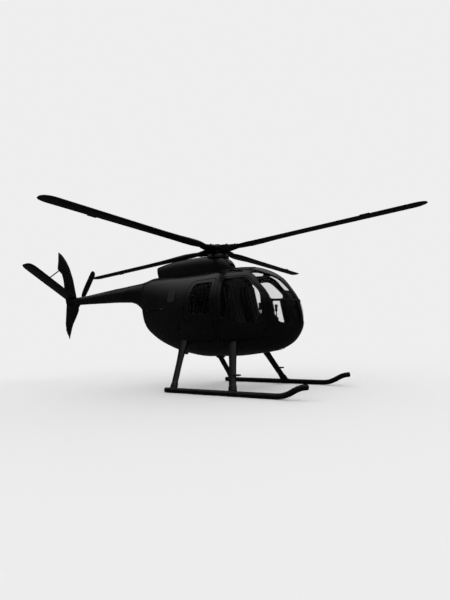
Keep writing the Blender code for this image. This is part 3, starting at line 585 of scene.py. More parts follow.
class PodSurface:
    """The fuselage's outer surface: a superellipse at each station, smooth from nose to boom."""

    def __init__(self, stations: Sequence[Sequence[float]], power: float) -> None:
        """Tabulates the sections so that whole arrays of points can be read."""
        self.power = power
        self.last = len(stations) - 1
        self.t = np.linspace(0.0, self.last, 100 * self.last + 1)
        columns = list(zip(*stations))
        table = np.array([[smooth_value(column, t) for t in self.t] for column in columns])
        self.x = table[0]
        self.half = (table[1] - table[2]) / 2
        self.centre = (table[1] + table[2]) / 2
        self.width = table[3]
        self.slopes = [np.gradient(row, self.t) for row in (self.x, self.half, self.centre, self.width)]
        reach = np.hypot(np.diff(self.x), np.maximum(np.abs(np.diff(table[1])), np.abs(np.diff(self.width))))
        self.girth = np.concatenate([[0.0], np.cumsum(reach)])

    def at(self, t: np.ndarray) -> tuple[np.ndarray, np.ndarray, np.ndarray, np.ndarray]:
        """Station, half height, centre height and half width at t."""
        return tuple(np.interp(t, self.t, row) for row in (self.x, self.half, self.centre, self.width))

    def t_of(self, x: np.ndarray) -> np.ndarray:
        """The section number at a station."""
        return np.interp(-np.asarray(x, float), -self.x, self.t)

    def polar(self, t: np.ndarray, angle: np.ndarray) -> np.ndarray:
        """Points at a section number and an angle up from the port side."""
        x, half, centre, width = self.at(t)
        cos, sin = np.cos(angle), np.sin(angle)
        y = width * np.sign(cos) * np.abs(cos) ** (2 / self.power)
        z = centre + half * np.sign(sin) * np.abs(sin) ** (2 / self.power)
        return np.column_stack([x, y, z])

    def angle_of(self, points: np.ndarray) -> np.ndarray:
        """The angle of points on the surface, between -270 and 90 degrees."""
        _, half, centre, width = self.at(self.t_of(points[:, 0]))
        across = points[:, 1] / np.maximum(width, 1e-6)
        up = (points[:, 2] - centre) / np.maximum(half, 1e-6)
        lift = np.sign(up) * np.abs(up) ** (self.power / 2)
        reach = np.sign(across) * np.abs(across) ** (self.power / 2)
        angle = np.arctan2(lift, reach)
        return np.where(angle > math.pi / 2 + 1e-9, angle - 2 * math.pi, angle)

    def side(self, flat: np.ndarray, sign: float) -> np.ndarray:
        """Points of the side view, as (station, height), put on the surface."""
        _, half, centre, width = self.at(self.t_of(flat[:, 0]))
        level = np.clip(np.abs(flat[:, 1] - centre) / half, 0.0, 1.0)
        y = sign * width * (1 - level**self.power) ** (1 / self.power)
        return np.column_stack([flat[:, 0], y, flat[:, 1]])

    def plan(self, flat: np.ndarray, up: float = 1.0) -> np.ndarray:
        """Points of the plan, as (station, offset), put on the roof or, with up = -1, on the belly."""
        _, half, centre, width = self.at(self.t_of(flat[:, 0]))
        level = np.clip(np.abs(flat[:, 1]) / width, 0.0, 1.0)
        z = centre + up * half * (1 - level**self.power) ** (1 / self.power)
        return np.column_stack([flat[:, 0], flat[:, 1], z])

    def front(self, flat: np.ndarray) -> np.ndarray:
        """Points of the front view, as (offset, height), put on the nose."""
        low, high = np.zeros(len(flat)), np.full(len(flat), 6.0)
        for _ in range(40):
            middle = (low + high) / 2
            outside = self.level(middle, flat[:, 0], flat[:, 1]) > 1.0
            low, high = np.where(outside, middle, low), np.where(outside, high, middle)
        return np.column_stack([self.at(high)[0], flat[:, 0], flat[:, 1]])

    def level(self, t: np.ndarray, y: np.ndarray, z: np.ndarray) -> np.ndarray:
        """Below 1 inside the surface and above 1 outside it."""
        _, half, centre, width = self.at(t)
        across = np.abs(y) / np.maximum(width, 1e-6)
        up = np.abs(z - centre) / np.maximum(half, 1e-6)
        return across**self.power + up**self.power

    def pierced(self, start: Vector, direction: Vector, reach: float = 1.2) -> Vector:
        """Where a ray from inside leaves the surface."""
        low, high = 0.0, reach
        for _ in range(40):
            middle = (low + high) / 2
            point = start + direction * middle
            t = self.t_of(np.array([point.x]))
            if self.level(t, np.array([point.y]), np.array([point.z]))[0] < 1.0:
                low = middle
            else:
                high = middle
        return start + direction * low

    def normals(self, points: np.ndarray) -> np.ndarray:
        """The outward direction at points on the surface."""
        t = self.t_of(points[:, 0])
        _, half, centre, width = self.at(t)
        x_step, half_step, centre_step, width_step = (np.interp(t, self.t, row) for row in self.slopes)
        p = self.power
        width, half = np.maximum(width, 1e-5), np.maximum(half, 1e-5)
        y, up = points[:, 1], (points[:, 2] - centre) / half
        across = np.abs(y) / width
        up_step = (-centre_step - up * half_step) / half
        toward = -p * across**p / width * width_step + p * np.abs(up) ** (p - 1) * np.sign(up) * up_step
        sideways = p * across ** (p - 1) * np.sign(y) / width
        upward = p * np.abs(up) ** (p - 1) * np.sign(up) / half
        found = np.column_stack([-toward, sideways * np.abs(x_step), upward * np.abs(x_step)])
        return found / np.linalg.norm(found, axis=1, keepdims=True)


POD = PodSurface(POD_STATIONS, POD_POWER)


@dataclass
class Sheet:
    """A piece of the fuselage's surface in triangles that face outwards."""

    points: np.ndarray
    normals: np.ndarray
    faces: np.ndarray

    @classmethod
    def on_pod(cls, points: np.ndarray, faces: np.ndarray) -> Sheet:
        """A sheet on the fuselage, its coinciding points merged and its faces turned outwards."""
        _, first, index = np.unique(np.round(points, 5), axis=0, return_index=True, return_inverse=True)
        points, faces = points[first], index.reshape(-1)[faces]
        real = (faces[:, 0] != faces[:, 1]) & (faces[:, 1] != faces[:, 2]) & (faces[:, 0] != faces[:, 2])
        faces = faces[real]
        normals = POD.normals(points)
        corners = points[faces]
        facing = np.cross(corners[:, 1] - corners[:, 0], corners[:, 2] - corners[:, 0])
        if (facing * normals[faces].mean(axis=1)).sum() < 0:
            faces = faces[:, ::-1]
        return cls(points, normals, faces)

    def walled(self, name: str, wall: float, edge: float, depth: float = 0.0) -> bpy.types.Mesh:
        """A closed wall under the sheet, whose outer edges are rounded.

        Args:
            name: The mesh's name.
            wall: The wall's thickness.
            edge: The radius of its outer edges, which grow by as much past the sheet.
            depth: How far the outer face lies under the sheet.

        Returns:
            The mesh, with the surface's own normals.
        """
        directed = {pair: True for a, b, c in self.faces.tolist() for pair in ((a, b), (b, c), (c, a))}
        border = [pair for pair in directed if pair[::-1] not in directed]
        outward = {}
        for a, b in border:
            side = Vector(self.points[b] - self.points[a]).cross(Vector(self.normals[a])).normalized()
            for vertex in (a, b):
                outward[vertex] = outward.get(vertex, Vector()) + side
        for vertex, side in outward.items():
            normal = Vector(self.normals[vertex])
            outward[vertex] = (side - normal * side.dot(normal)).normalized()
        coordinates = [Vector(p) - Vector(n) * depth for p, n in zip(self.points, self.normals)]
        directions = [Vector(n) for n in self.normals]
        faces = self.faces.tolist()
        base = len(coordinates)
        used = np.unique(self.faces)
        inner = {int(v): base + k for k, v in enumerate(used)}
        for v in used:
            coordinates.append(coordinates[v] - directions[v] * wall)
            directions.append(-directions[v])
        faces += [(inner[c], inner[b], inner[a]) for a, b, c in self.faces.tolist()]
        rows = [{vertex: vertex for vertex in outward}]
        for out, down in ((0.38, 0.08), (0.71, 0.29), (0.92, 0.62), (1.0, 1.0), (1.0, wall / edge)):
            row = {}
            for vertex, side in outward.items():
                row[vertex] = len(coordinates)
                coordinates.append(coordinates[vertex] + side * out * edge - directions[vertex] * down * edge)
                directions.append(Vector())
            rows.append(row)
        rows.append({vertex: inner[vertex] for vertex in outward})
        for upper, lower in zip(rows, rows[1:]):
            faces += [(upper[b], upper[a], lower[a], lower[b]) for a, b in border]
        mesh = bpy.data.meshes.new(name)
        mesh.from_pydata(coordinates, [], faces)
        mesh.shade_smooth()
        mesh.set_sharp_from_angle(angle=math.radians(50))
        mesh.normals_split_custom_set_from_vertices(directions)
        loose = bmesh.new()
        loose.from_mesh(mesh)
        stray = [vert for vert in loose.verts if not vert.link_faces]
        if stray:
            bmesh.ops.delete(loose, geom=stray, context="VERTS")
            loose.to_mesh(mesh)
        loose.free()
        return mesh


# Finishes


class Slot(Enum):
    """The record's material slots."""

    BLACK_PAINT = "black_paint"
    BOOM_PAINT = "boom_paint"
    FIN_PAINT = "fin_paint"
    DARK_METAL = "dark_metal"
    ENGINE_GREY = "engine_grey"
    BARE_METAL = "bare_metal"
    ROTOR_COMPOSITE = "rotor_composite"
    TRIM_COMPOSITE = "trim_composite"
    BLACK_FABRIC = "black_fabric"
    TINTED_GLASS = "tinted_glass"
    CLEAR_LENS = "clear_lens"
    RED_LENS = "red_lens"


Colour = tuple[float, float, float]


class Value:
    """A number in a material's nodes, which can be used in Python arithmetic."""

    def __init__(self, graph: Graph, socket: bpy.types.NodeSocket) -> None:
        """Wraps a socket."""
        self.graph = graph
        self.socket = socket

    def __add__(self, other: Value | float) -> Value:
        """The sum."""
        return self.graph.math("ADD", self, other)

    def __radd__(self, other: float) -> Value:
        """The sum, with the number first."""
        return self.graph.math("ADD", other, self)

    def __sub__(self, other: Value | float) -> Value:
        """The difference."""
        return self.graph.math("SUBTRACT", self, other)

    def __rsub__(self, other: float) -> Value:
        """The difference, with the number first."""
        return self.graph.math("SUBTRACT", other, self)

    def __mul__(self, other: Value | float) -> Value:
        """The product."""
        return self.graph.math("MULTIPLY", self, other)

    def __rmul__(self, other: float) -> Value:
        """The product, with the number first."""
        return self.graph.math("MULTIPLY", other, self)

    def __truediv__(self, other: Value | float) -> Value:
        """The quotient."""
        return self.graph.math("DIVIDE", self, other)

    def __pow__(self, other: float) -> Value:
        """The power."""
        return self.graph.math("POWER", self, other)

    def __gt__(self, other: float) -> Value:
        """1 where it is greater, else 0."""
        return self.graph.math("GREATER_THAN", self, other)

    def step(self, low: float, high: float) -> Value:
        """A smooth rise from 0 at low to 1 at high."""
        made = self.graph.node(
            "ShaderNodeMapRange",
            {"interpolation_type": "SMOOTHSTEP"},
            {"Value": self, "From Min": low, "From Max": high},
        )
        return Value(self.graph, made.outputs["Result"])


def add_node(
    tree: bpy.types.NodeTree,
    kind: str,
    settings: dict[str, object] | None = None,
    inputs: dict[str | int, object] | None = None,
) -> bpy.types.Node:
    """Makes one node in any kind of tree.

    Args:
        tree: The tree.
        kind: The node's type.
        settings: Its properties, which are set first.
        inputs: A value or a link for each named socket.

    Returns:
        The node.
    """
    made = tree.nodes.new(kind)
    for key, setting in (settings or {}).items():
        setattr(made, key, setting)
    for key, given in (inputs or {}).items():
        given = given.socket if isinstance(given, Value) else given
        if isinstance(given, bpy.types.NodeSocket):
            tree.links.new(given, made.inputs[key])
        else:
            made.inputs[key].default_value = given
    return made


class Graph:
    """The node tree of one material, around one Principled shader."""

    def __init__(self, name: str) -> None:
        """Makes the material."""
        self.material = bpy.data.materials.new(name)
        self.material.use_nodes = True
        self.tree = self.material.node_tree
        self.shader = self.tree.nodes["Principled BSDF"]
        self.place = self.node("ShaderNodeTexCoord").outputs["Object"]

    def node(self, kind: str, settings: dict | None = None, inputs: dict | None = None) -> bpy.types.Node:
        """One node of this material, as add_node makes it."""
        return add_node(self.tree, kind, settings, inputs)

    def math(self, operation: str, first: Value | float, second: Value | float = 0.0) -> Value:
        """One Math node."""
        made = self.node("ShaderNodeMath", {"operation": operation}, {0: first, 1: second})
        return Value(self, made.outputs[0])

    def noise(self, scale: float, detail: float = 2.0, stretch: Colour = (1, 1, 1), roughness: float = 0.5) -> Value:
        """Noise between 0 and 1 with features of about 1 / scale metres."""
        place = self.node("ShaderNodeMapping", None, {"Vector": self.place, "Scale": stretch}).outputs[0]
        made = self.node(
            "ShaderNodeTexNoise", None, {"Vector": place, "Scale": scale, "Detail": detail, "Roughness": roughness}
        )
        return Value(self, made.outputs["Fac"])

    def cells(self, scale: float, feature: str = "F1", stretch: Colour = (1, 1, 1)) -> Value:
        """Distances in a cell pattern."""
        place = self.node("ShaderNodeMapping", None, {"Vector": self.place, "Scale": stretch}).outputs[0]
        made = self.node("ShaderNodeTexVoronoi", {"feature": feature}, {"Vector": place, "Scale": scale})
        return Value(self, made.outputs["Distance"])

    def axis(self, letter: str) -> Value:
        """One coordinate in metres."""
        made = self.node("ShaderNodeSeparateXYZ", None, {"Vector": self.place})
        return Value(self, made.outputs[letter])

    def mixed(self, factor: Value, low: Colour | bpy.types.NodeSocket, high: Colour) -> bpy.types.NodeSocket:
        """A colour between low and high."""
        low = low if isinstance(low, bpy.types.NodeSocket) else (*low, 1.0)
        made = self.node(
            "ShaderNodeMix", {"data_type": "RGBA"}, {"Factor": factor, 6: low, 7: (*high, 1.0)}
        )
        return made.outputs[2]

    def bump(self, height: Value, distance: float, strength: float = 1.0) -> None:
        """Raises the surface by height, in units of distance."""
        made = self.node("ShaderNodeBump", None, {"Height": height, "Distance": distance, "Strength": strength})
        self.tree.links.new(made.outputs["Normal"], self.shader.inputs["Normal"])

    def dress(self, **inputs: object) -> bpy.types.Material:
        """Sets the shader's sockets and returns the material."""
        for key, given in inputs.items():
            socket = self.shader.inputs[key.replace("_", " ").title().replace("Ior", "IOR")]
            if isinstance(given, Value):
                given = given.socket
            if isinstance(given, bpy.types.NodeSocket):
                self.tree.links.new(given, socket)
            else:
                socket.default_value = (*given, 1.0) if isinstance(given, tuple) and len(given) == 3 else given
        return self.material


@dataclass(frozen=True)
class Paint:
    """Black enamel over sheet metal: faint dust, orange peel and the skin's slow waves."""

    name: str
    slot: Slot
    colour: Colour = (0.0018, 0.0018, 0.0020)
    dusty: Colour = (0.0050, 0.0049, 0.0047)
    roughness: float = 0.26
    gloss: float = 0.30
    wave: float = 0.0012

    def make(self) -> bpy.types.Material:
        """Builds the material."""
        graph = Graph(self.name)
        dust = graph.noise(1.4, 5.0, (1, 1, 2)).step(0.42, 0.78) * graph.noise(150.0, 4.0).step(0.10, 0.95)
        peel = graph.noise(420.0, 1.0)
        skin = graph.noise(2.6, 1.0) + peel * 0.012
        graph.bump(skin, self.wave * 6, 0.5)
        return graph.dress(
            base_color=graph.mixed(dust, self.colour, self.dusty),
            roughness=graph.noise(9.0, 4.0) * 0.10 + dust * 0.10 + (self.roughness - 0.05),
            specular_ior_level=0.20,
            coat_weight=self.gloss,
            coat_roughness=0.12,
        )


@dataclass(frozen=True)
class Composite:
    """Blade skin: satin black with fibre streaks along the span and rain wear."""

    name: str
    slot: Slot
    colour: Colour = (0.0022, 0.0022, 0.0024)
    worn: Colour = (0.0075, 0.0075, 0.0080)
    roughness: float = 0.40

    def make(self) -> bpy.types.Material:
        """Builds the material."""
        graph = Graph(self.name)
        weave = graph.cells(260.0, "F1", (1, 1, 1))
        wear = graph.noise(3.0, 6.0).step(0.50, 0.80) * graph.noise(90.0, 2.0).step(0.35, 0.75)
        graph.bump(graph.noise(700.0, 2.0) * 0.6 + weave * 0.4, 0.0002, 0.5)
        return graph.dress(
            base_color=graph.mixed(wear, self.colour, self.worn),
            roughness=graph.noise(14.0, 3.0) * 0.14 + wear * 0.08 + (self.roughness - 0.07),
            specular_ior_level=0.22,
        )


@dataclass(frozen=True)
class Metal:
    """Machined or formed metal with brushed marks, grime and rubbed edges."""

    name: str
    slot: Slot
    colour: Colour = (0.010, 0.010, 0.011)
    rubbed: Colour = (0.040, 0.040, 0.042)
    roughness: float = 0.42
    metallic: float = 0.85
    brush: Colour = (1, 1, 14)

    def make(self) -> bpy.types.Material:
        """Builds the material."""
        graph = Graph(self.name)
        marks = graph.noise(38.0, 3.0, self.brush)
        worn = graph.noise(7.0, 5.0).step(0.50, 0.72) * marks.step(0.40, 0.70)
        graph.bump(marks, 0.0004, 0.35)
        return graph.dress(
            base_color=graph.mixed(worn, self.colour, self.rubbed),
            roughness=marks * 0.20 + (self.roughness - 0.10) - worn * 0.08,
            metallic=self.metallic,
        )


@dataclass(frozen=True)
class Glazing:
    """Clear acrylic with a light tint, a bright rim at glancing angles and fine wiping marks."""

    name: str
    slot: Slot
    tint: Colour = (0.010, 0.012, 0.014)
    veil: float = 0.07

    def make(self) -> bpy.types.Material:
        """Builds the material."""
        graph = Graph(self.name)
        rim = Value(graph, graph.node("ShaderNodeLayerWeight", None, {"Blend": 0.35}).outputs["Facing"])
        haze = graph.noise(24.0, 4.0, (1, 1, 3)).step(0.52, 0.80) * 0.03
        graph.bump(graph.noise(1.8, 1.0), 0.002, 0.2)
        return graph.dress(
            base_color=self.tint,
            roughness=graph.noise(50.0, 3.0) * 0.05 + 0.03,
            alpha=rim**3.0 * 0.45 + haze + self.veil,
            specular_ior_level=0.6,
        )


@dataclass(frozen=True)
class Lens:
    """A moulded lens, ribbed inside."""

    name: str
    slot: Slot
    colour: Colour
    ribs: float = 90.0

    def make(self) -> bpy.types.Material:
        """Builds the material."""
        graph = Graph(self.name)
        ribs = graph.node(
            "ShaderNodeTexWave", {"bands_direction": "X"}, {"Vector": graph.place, "Scale": self.ribs}
        ).outputs["Fac"]
        graph.bump(Value(graph, ribs) + graph.noise(300.0) * 0.05, 0.0008, 0.5)
        return graph.dress(
            base_color=graph.mixed(graph.noise(40.0, 2.0), self.colour, tuple(c * 0.6 for c in self.colour)),
            roughness=graph.noise(80.0) * 0.05 + 0.06,
            coat_weight=0.6,
        )


@dataclass(frozen=True)
class Rubber:
    """Moulded rubber or matt trim with a fine pebble grain."""

    name: str
    slot: Slot
    colour: Colour = (0.0030, 0.0030, 0.0030)
    pale: Colour = (0.0090, 0.0090, 0.0090)
    grain: float = 700.0
    roughness: float = 0.72

    def make(self) -> bpy.types.Material:
        """Builds the material."""
        graph = Graph(self.name)
        pebbles = graph.cells(self.grain)
        scuffs = graph.noise(18.0, 5.0).step(0.52, 0.80)
        graph.bump(pebbles, 0.0004, 0.6)
        return graph.dress(
            base_color=graph.mixed(scuffs * 0.7, self.colour, self.pale),
            roughness=scuffs * 0.10 + pebbles * 0.10 + (self.roughness - 0.08),
            specular_ior_level=0.20,
        )


@dataclass(frozen=True)
class Cloth:
    """Woven seat cloth: a basket weave in the bump and a soft lint."""

    name: str
    slot: Slot
    colour: Colour = (0.0030, 0.0030, 0.0034)
    lint: Colour = (0.0090, 0.0090, 0.0094)
    thread: float = 900.0

    def make(self) -> bpy.types.Material:
        """Builds the material."""
        graph = Graph(self.name)
        waves = []
        for direction in "XYZ":
            made = graph.node(
                "ShaderNodeTexWave",
                {"bands_direction": direction},
                {"Vector": graph.place, "Scale": self.thread / 20, "Distortion": 0.6, "Detail": 1.0},
            )
            waves.append(Value(graph, made.outputs["Fac"]))
        weave = waves[0] * waves[1] + waves[2] * 0.5
        fluff = graph.noise(30.0, 5.0).step(0.45, 0.85)
        graph.bump(weave + graph.noise(500.0) * 0.3, 0.0010, 0.6)
        return graph.dress(
            base_color=graph.mixed(fluff * 0.6 + weave * 0.2, self.colour, self.lint),
            roughness=weave * 0.08 + 0.84,
            specular_ior_level=0.12,
        )


@dataclass(frozen=True)
class HotMetal:
    """Exhaust steel, darkened and blued by heat towards its mouth."""

    name: str
    slot: Slot
    mouth: float = MAST_X - 2.06

    def make(self) -> bpy.types.Material:
        """Builds the material."""
        graph = Graph(self.name)
        heat = (graph.axis("X") - self.mouth).step(0.0, 0.40)
        flow = graph.noise(26.0, 5.0, (3, 1, 1))
        soot = (1.0 - heat) * flow.step(0.25, 0.75)
        tinted = graph.mixed(heat, (0.030, 0.028, 0.034), (0.085, 0.070, 0.058))
        graph.bump(graph.noise(220.0, 3.0), 0.0004, 0.4)
        return graph.dress(
            base_color=graph.mixed(soot, tinted, (0.006, 0.006, 0.006)),
            roughness=soot * 0.25 + flow * 0.15 + 0.30,
            metallic=1.0 - soot * 0.7,
        )


SKIN_PAINT = Paint("black_enamel", Slot.BLACK_PAINT)
BOOM_PAINT = Paint("boom_enamel", Slot.BOOM_PAINT, wave=0.0006)
FIN_PAINT = Paint("fin_enamel", Slot.FIN_PAINT, wave=0.0004, roughness=0.34)
DARK_METAL = Metal("dark_metal_rubbed", Slot.DARK_METAL)
GEAR_PAINT = Paint("gear_enamel", Slot.BLACK_PAINT, dusty=(0.0040, 0.0040, 0.0038), gloss=0.15, wave=0.0002)
FASTENER = Metal("fastener_steel", Slot.DARK_METAL, colour=(0.010, 0.010, 0.011), rubbed=(0.05, 0.05, 0.052))
ENGINE_METAL = Metal("engine_grey_cast", Slot.ENGINE_GREY, colour=(0.050, 0.050, 0.052), rubbed=(0.13, 0.13, 0.13))
STEEL = HotMetal("exhaust_steel", Slot.BARE_METAL)
BLADE_SKIN = Composite("rotor_composite_satin", Slot.ROTOR_COMPOSITE)
BLADE_EDGE = Metal("blade_edge_strip", Slot.ROTOR_COMPOSITE, colour=(0.016, 0.016, 0.017), roughness=0.36)
TRIM = Rubber("trim_pebbled", Slot.TRIM_COMPOSITE)
SEAL = Rubber("seal_rubber", Slot.TRIM_COMPOSITE, grain=400.0, roughness=0.66)
MAT = Rubber("floor_mat", Slot.DARK_METAL, grain=160.0, roughness=0.80)
SEAT_CLOTH = Cloth("seat_cloth", Slot.BLACK_FABRIC)
WEBBING = Cloth("harness_webbing", Slot.BLACK_FABRIC, colour=(0.014, 0.014, 0.015), thread=1500.0)
GLASS = Glazing("cabin_glass", Slot.TINTED_GLASS)
CLEAR_LENS = Lens("lamp_lens", Slot.CLEAR_LENS, (0.55, 0.57, 0.60))
RED_LENS = Lens("beacon_lens", Slot.RED_LENS, (0.020, 0.0007, 0.0007))
MARKS = Rubber("dial_marks", Slot.TRIM_COMPOSITE, colour=(0.32, 0.32, 0.30), pale=(0.42, 0.42, 0.40), roughness=0.6)

Finish = Paint | Composite | Metal | Glazing | Lens | Rubber | Cloth | HotMetal


# The workshop


class Workshop:
    """Makes pieces, gives them their finish and hangs them on the frame's bodies."""

    def __init__(self, frame: dict[str, object]) -> None:
        """Keeps the loaded frame and its record."""
        self.nodes = frame["nodes"]
        self.record = frame["record"]
        self.made: dict[Finish, bpy.types.Material] = {}

    def material(self, finish: Finish) -> bpy.types.Material:
        """The material of a finish, made once."""
        if finish not in self.made:
            self.made[finish] = finish.make()
        return self.made[finish]

    def add(
        self,
        name: str,
        mesh: bpy.types.Mesh,
        finish: Finish,
        body: str = "airframe",
        replaces: Sequence[str] = (),
        place: Matrix = AIRFRAME,
    ) -> bpy.types.Object:
        """Adds one piece.

        Args:
            name: The piece's name.
            mesh: Its mesh, in the frame that place takes to the row's.
            finish: Its finish.
            body: The body that it rides on.
            replaces: The CAD nodes that it stands for.
            place: The matrix from the mesh's frame to the row's.

        Returns:
            The object, at the origin with its place in its mesh.
        """
        mesh.transform(place)
        mesh.materials.clear()
        mesh.materials.append(self.material(finish))
        obj = bpy.data.objects.new(name, mesh)
        bpy.context.scene.collection.objects.link(obj)
        bpy.context.view_layer.update()
        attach(obj, body)
        if replaces:
            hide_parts(*replaces)
        LOG.info("%s on %s: %d faces", name, body, len(mesh.polygons))
        return obj

    def dress_node(self, node: str, finish: Finish) -> None:
        """Gives a CAD node that stays its finish."""
        obj = self.nodes[node]
        for slot in obj.material_slots:
            slot.material = self.material(finish)
        LOG.info("%s keeps its solid", node)


class Item(Enum):
    """The small shape that a row repeats, by the node that makes it."""

    DOME = "GeometryNodeMeshCone"
    BAR = "GeometryNodeMeshCube"


Path = tuple[np.ndarray, np.ndarray, bool]


@dataclass
class Row:
    """Equal small shapes set along paths by Geometry Nodes.

    A dome's size is its foot's radius, its head's radius and its height; a bar's is along the path, across and up.
    """

    item: Item
    size: Point
    spacing: float
    sunk: float = 0.0003
    seed: int = 7

    def tree(self) -> bpy.types.GeometryNodeTree:
        """The node tree, with a named input for each size."""
        tree = bpy.data.node_groups.new(f"row_of_{self.item.name.lower()}s", "GeometryNodeTree")
        face = tree.interface
        face.new_socket("Paths", in_out="INPUT", socket_type="NodeSocketGeometry")
        for label in ("Spacing", "Length", "Width", "Height", "Sunk"):
            face.new_socket(label, in_out="INPUT", socket_type="NodeSocketFloat")
        face.new_socket("Seed", in_out="INPUT", socket_type="NodeSocketInt")
        face.new_socket("Finish", in_out="INPUT", socket_type="NodeSocketMaterial")
        face.new_socket("Pieces", in_out="OUTPUT", socket_type="NodeSocketGeometry")
        given = add_node(tree, "NodeGroupInput").outputs
        curve = add_node(tree, "GeometryNodeMeshToCurve", None, {0: given["Paths"]})
        spread = add_node(
            tree, "GeometryNodeResampleCurve", {"mode": "LENGTH"}, {0: curve.outputs[0], "Length": given["Spacing"]}
        )
        up = add_node(tree, "GeometryNodeInputNamedAttribute", {"data_type": "FLOAT_VECTOR"}, {"Name": "up"})
        upright = add_node(tree, "FunctionNodeAlignRotationToVector", {"axis": "Z"}, {"Vector": up.outputs[0]})
        along = add_node(
            tree,
            "FunctionNodeAlignRotationToVector",
            {"axis": "X", "pivot_axis": "Z"},
            {0: upright.outputs[0], "Vector": add_node(tree, "GeometryNodeInputTangent").outputs[0]},
        )
        if self.item is Item.DOME:
            sizes = {"Radius Bottom": given["Length"], "Radius Top": given["Width"], "Depth": given["Height"]}
            shape = add_node(tree, self.item.value, None, {"Vertices": 8, **sizes})
        else:
            sizes = {"X": given["Length"], "Y": given["Width"], "Z": given["Height"]}
            size = add_node(tree, "ShaderNodeCombineXYZ", None, sizes)
            shape = add_node(tree, self.item.value, None, {"Size": size.outputs[0]})
        down = add_node(tree, "ShaderNodeMath", {"operation": "MULTIPLY"}, {0: given["Sunk"], 1: -1.0})
        shift = add_node(tree, "ShaderNodeCombineXYZ", None, {"Z": down.outputs[0]})
        seated = add_node(tree, "GeometryNodeTransform", None, {0: shape.outputs[0], "Translation": shift.outputs[0]})
        uneven = add_node(
            tree, "FunctionNodeRandomValue", {"data_type": "FLOAT"}, {2: 0.97, 3: 1.03, 8: given["Seed"]}
        )
        placed = add_node(
            tree,
            "GeometryNodeInstanceOnPoints",
            None,
            {
                0: spread.outputs[0], "Instance": seated.outputs[0], "Rotation": along.outputs[0],
                "Scale": uneven.outputs[1]
            },
        )
        real = add_node(tree, "GeometryNodeRealizeInstances", None, {0: placed.outputs[0]})
        painted = add_node(tree, "GeometryNodeSetMaterial", None, {0: real.outputs[0], "Material": given["Finish"]})
        add_node(tree, "NodeGroupOutput", None, {0: painted.outputs[0]})
        return tree

    def lay(
        self,
        shop: Workshop,
        name: str,
        paths: Sequence[Path],
        finish: Finish,
        body: str = "airframe",
        place: Matrix = AIRFRAME,
    ) -> None:
        """Adds one piece with the shapes along all the paths.

        Args:
            shop: The workshop.
            name: The piece's name.
            paths: Each path's points, upward directions and whether it is closed.
            finish: The finish.
            body: The body that it rides on.
            place: The matrix from the paths' frame to the row's.
        """
        points, ups, edges = [], [], []
        for path, directions, closed in paths:
            first, count = len(points), len(path)
            points += [tuple(point) for point in path]
            ups += [tuple(direction) for direction in directions]
            edges += [(first + k, first + (k + 1) % count) for k in range(count if closed else count - 1)]
        carrier_mesh = bpy.data.meshes.new(name)
        carrier_mesh.from_pydata(points, edges, [])
        carrier_mesh.attributes.new("up", "FLOAT_VECTOR", "POINT").data.foreach_set("vector", np.ravel(ups))
        carrier = bpy.data.objects.new(f"{name}_path", carrier_mesh)
        bpy.context.scene.collection.objects.link(carrier)
        modifier = carrier.modifiers.new("row", "NODES")
        modifier.node_group = self.tree()
        values = {"Spacing": self.spacing, "Length": self.size[0], "Width": self.size[1], "Height": self.size[2]}
        values |= {"Sunk": self.sunk, "Seed": self.seed, "Finish": shop.material(finish)}
        for socket in modifier.node_group.interface.items_tree:
            if socket.name in values:
                modifier[socket.identifier] = values[socket.name]
        graph = bpy.context.evaluated_depsgraph_get()
        mesh = bpy.data.meshes.new_from_object(carrier.evaluated_get(graph), depsgraph=graph)
        bpy.data.objects.remove(carrier)
        shop.add(name, mesh, finish, body, (), place)


RIVETS = Row(Item.DOME, (0.0042, 0.0024, 0.0016), 0.055)
SCREWS = Row(Item.DOME, (0.0036, 0.0030, 0.0012), 0.070)
BOLTS = Row(Item.DOME, (0.0075, 0.0062, 0.0070), 0.060, 0.001)
SLATS = Row(Item.BAR, (0.013, 0.210, 0.0030), 0.024, -0.002)
STITCHES = Row(Item.BAR, (0.0052, 0.0013, 0.0011), 0.0085, 0.0)
TICKS = Row(Item.BAR, (0.0014, 0.0065, 0.0006), 0.0092, -0.0004)


def ring_path(centre: Sequence[float], axis: Sequence[float], radius: float, outward: bool = False) -> Path:
    """A circle about an axis, whose upward directions follow the axis or point outwards."""
    turn = Vector((0, 0, 1)).rotation_difference(Vector(axis).normalized()).to_matrix()
    angles = np.linspace(0.0, 2 * math.pi, 36, endpoint=False)
    spokes = [turn @ Vector((math.cos(angle), math.sin(angle), 0.0)) for angle in angles]
    points = np.array([Vector(centre) + spoke * radius for spoke in spokes])
    ups = np.array([spoke if outward else turn.col[2] for spoke in spokes])
    return points, ups, True


def straight(start: Sequence[float], end: Sequence[float], up: Sequence[float], steps: int = 12) -> Path:
    """A straight path with one upward direction."""
    shares = np.linspace(0.0, 1.0, steps)[:, None]
    points = np.array(start) * (1 - shares) + np.array(end) * shares
    return points, np.tile(np.array(up, float), (steps, 1)), False


def evaluated(obj: bpy.types.Object) -> bpy.types.Mesh:
    """A plain mesh of an object with its modifiers applied."""
    graph = bpy.context.evaluated_depsgraph_get()
    return bpy.data.meshes.new_from_object(obj.evaluated_get(graph), depsgraph=graph)


def carved(mesh: bpy.types.Mesh, cutter: bpy.types.Mesh, sharp: float = 40.0) -> bpy.types.Mesh:
    """The mesh with the cutter's space taken out."""
    pair = [bpy.data.objects.new("carving", data) for data in (mesh, cutter)]
    for obj in pair:
        bpy.context.scene.collection.objects.link(obj)
    modifier = pair[0].modifiers.new("cut", "BOOLEAN")
    modifier.object, modifier.operation, modifier.solver = pair[1], "DIFFERENCE", "FAST"
    result = evaluated(pair[0])
    for obj in pair:
        bpy.data.objects.remove(obj)
    result.set_sharp_from_angle(angle=math.radians(sharp))
    return result


# The fuselage


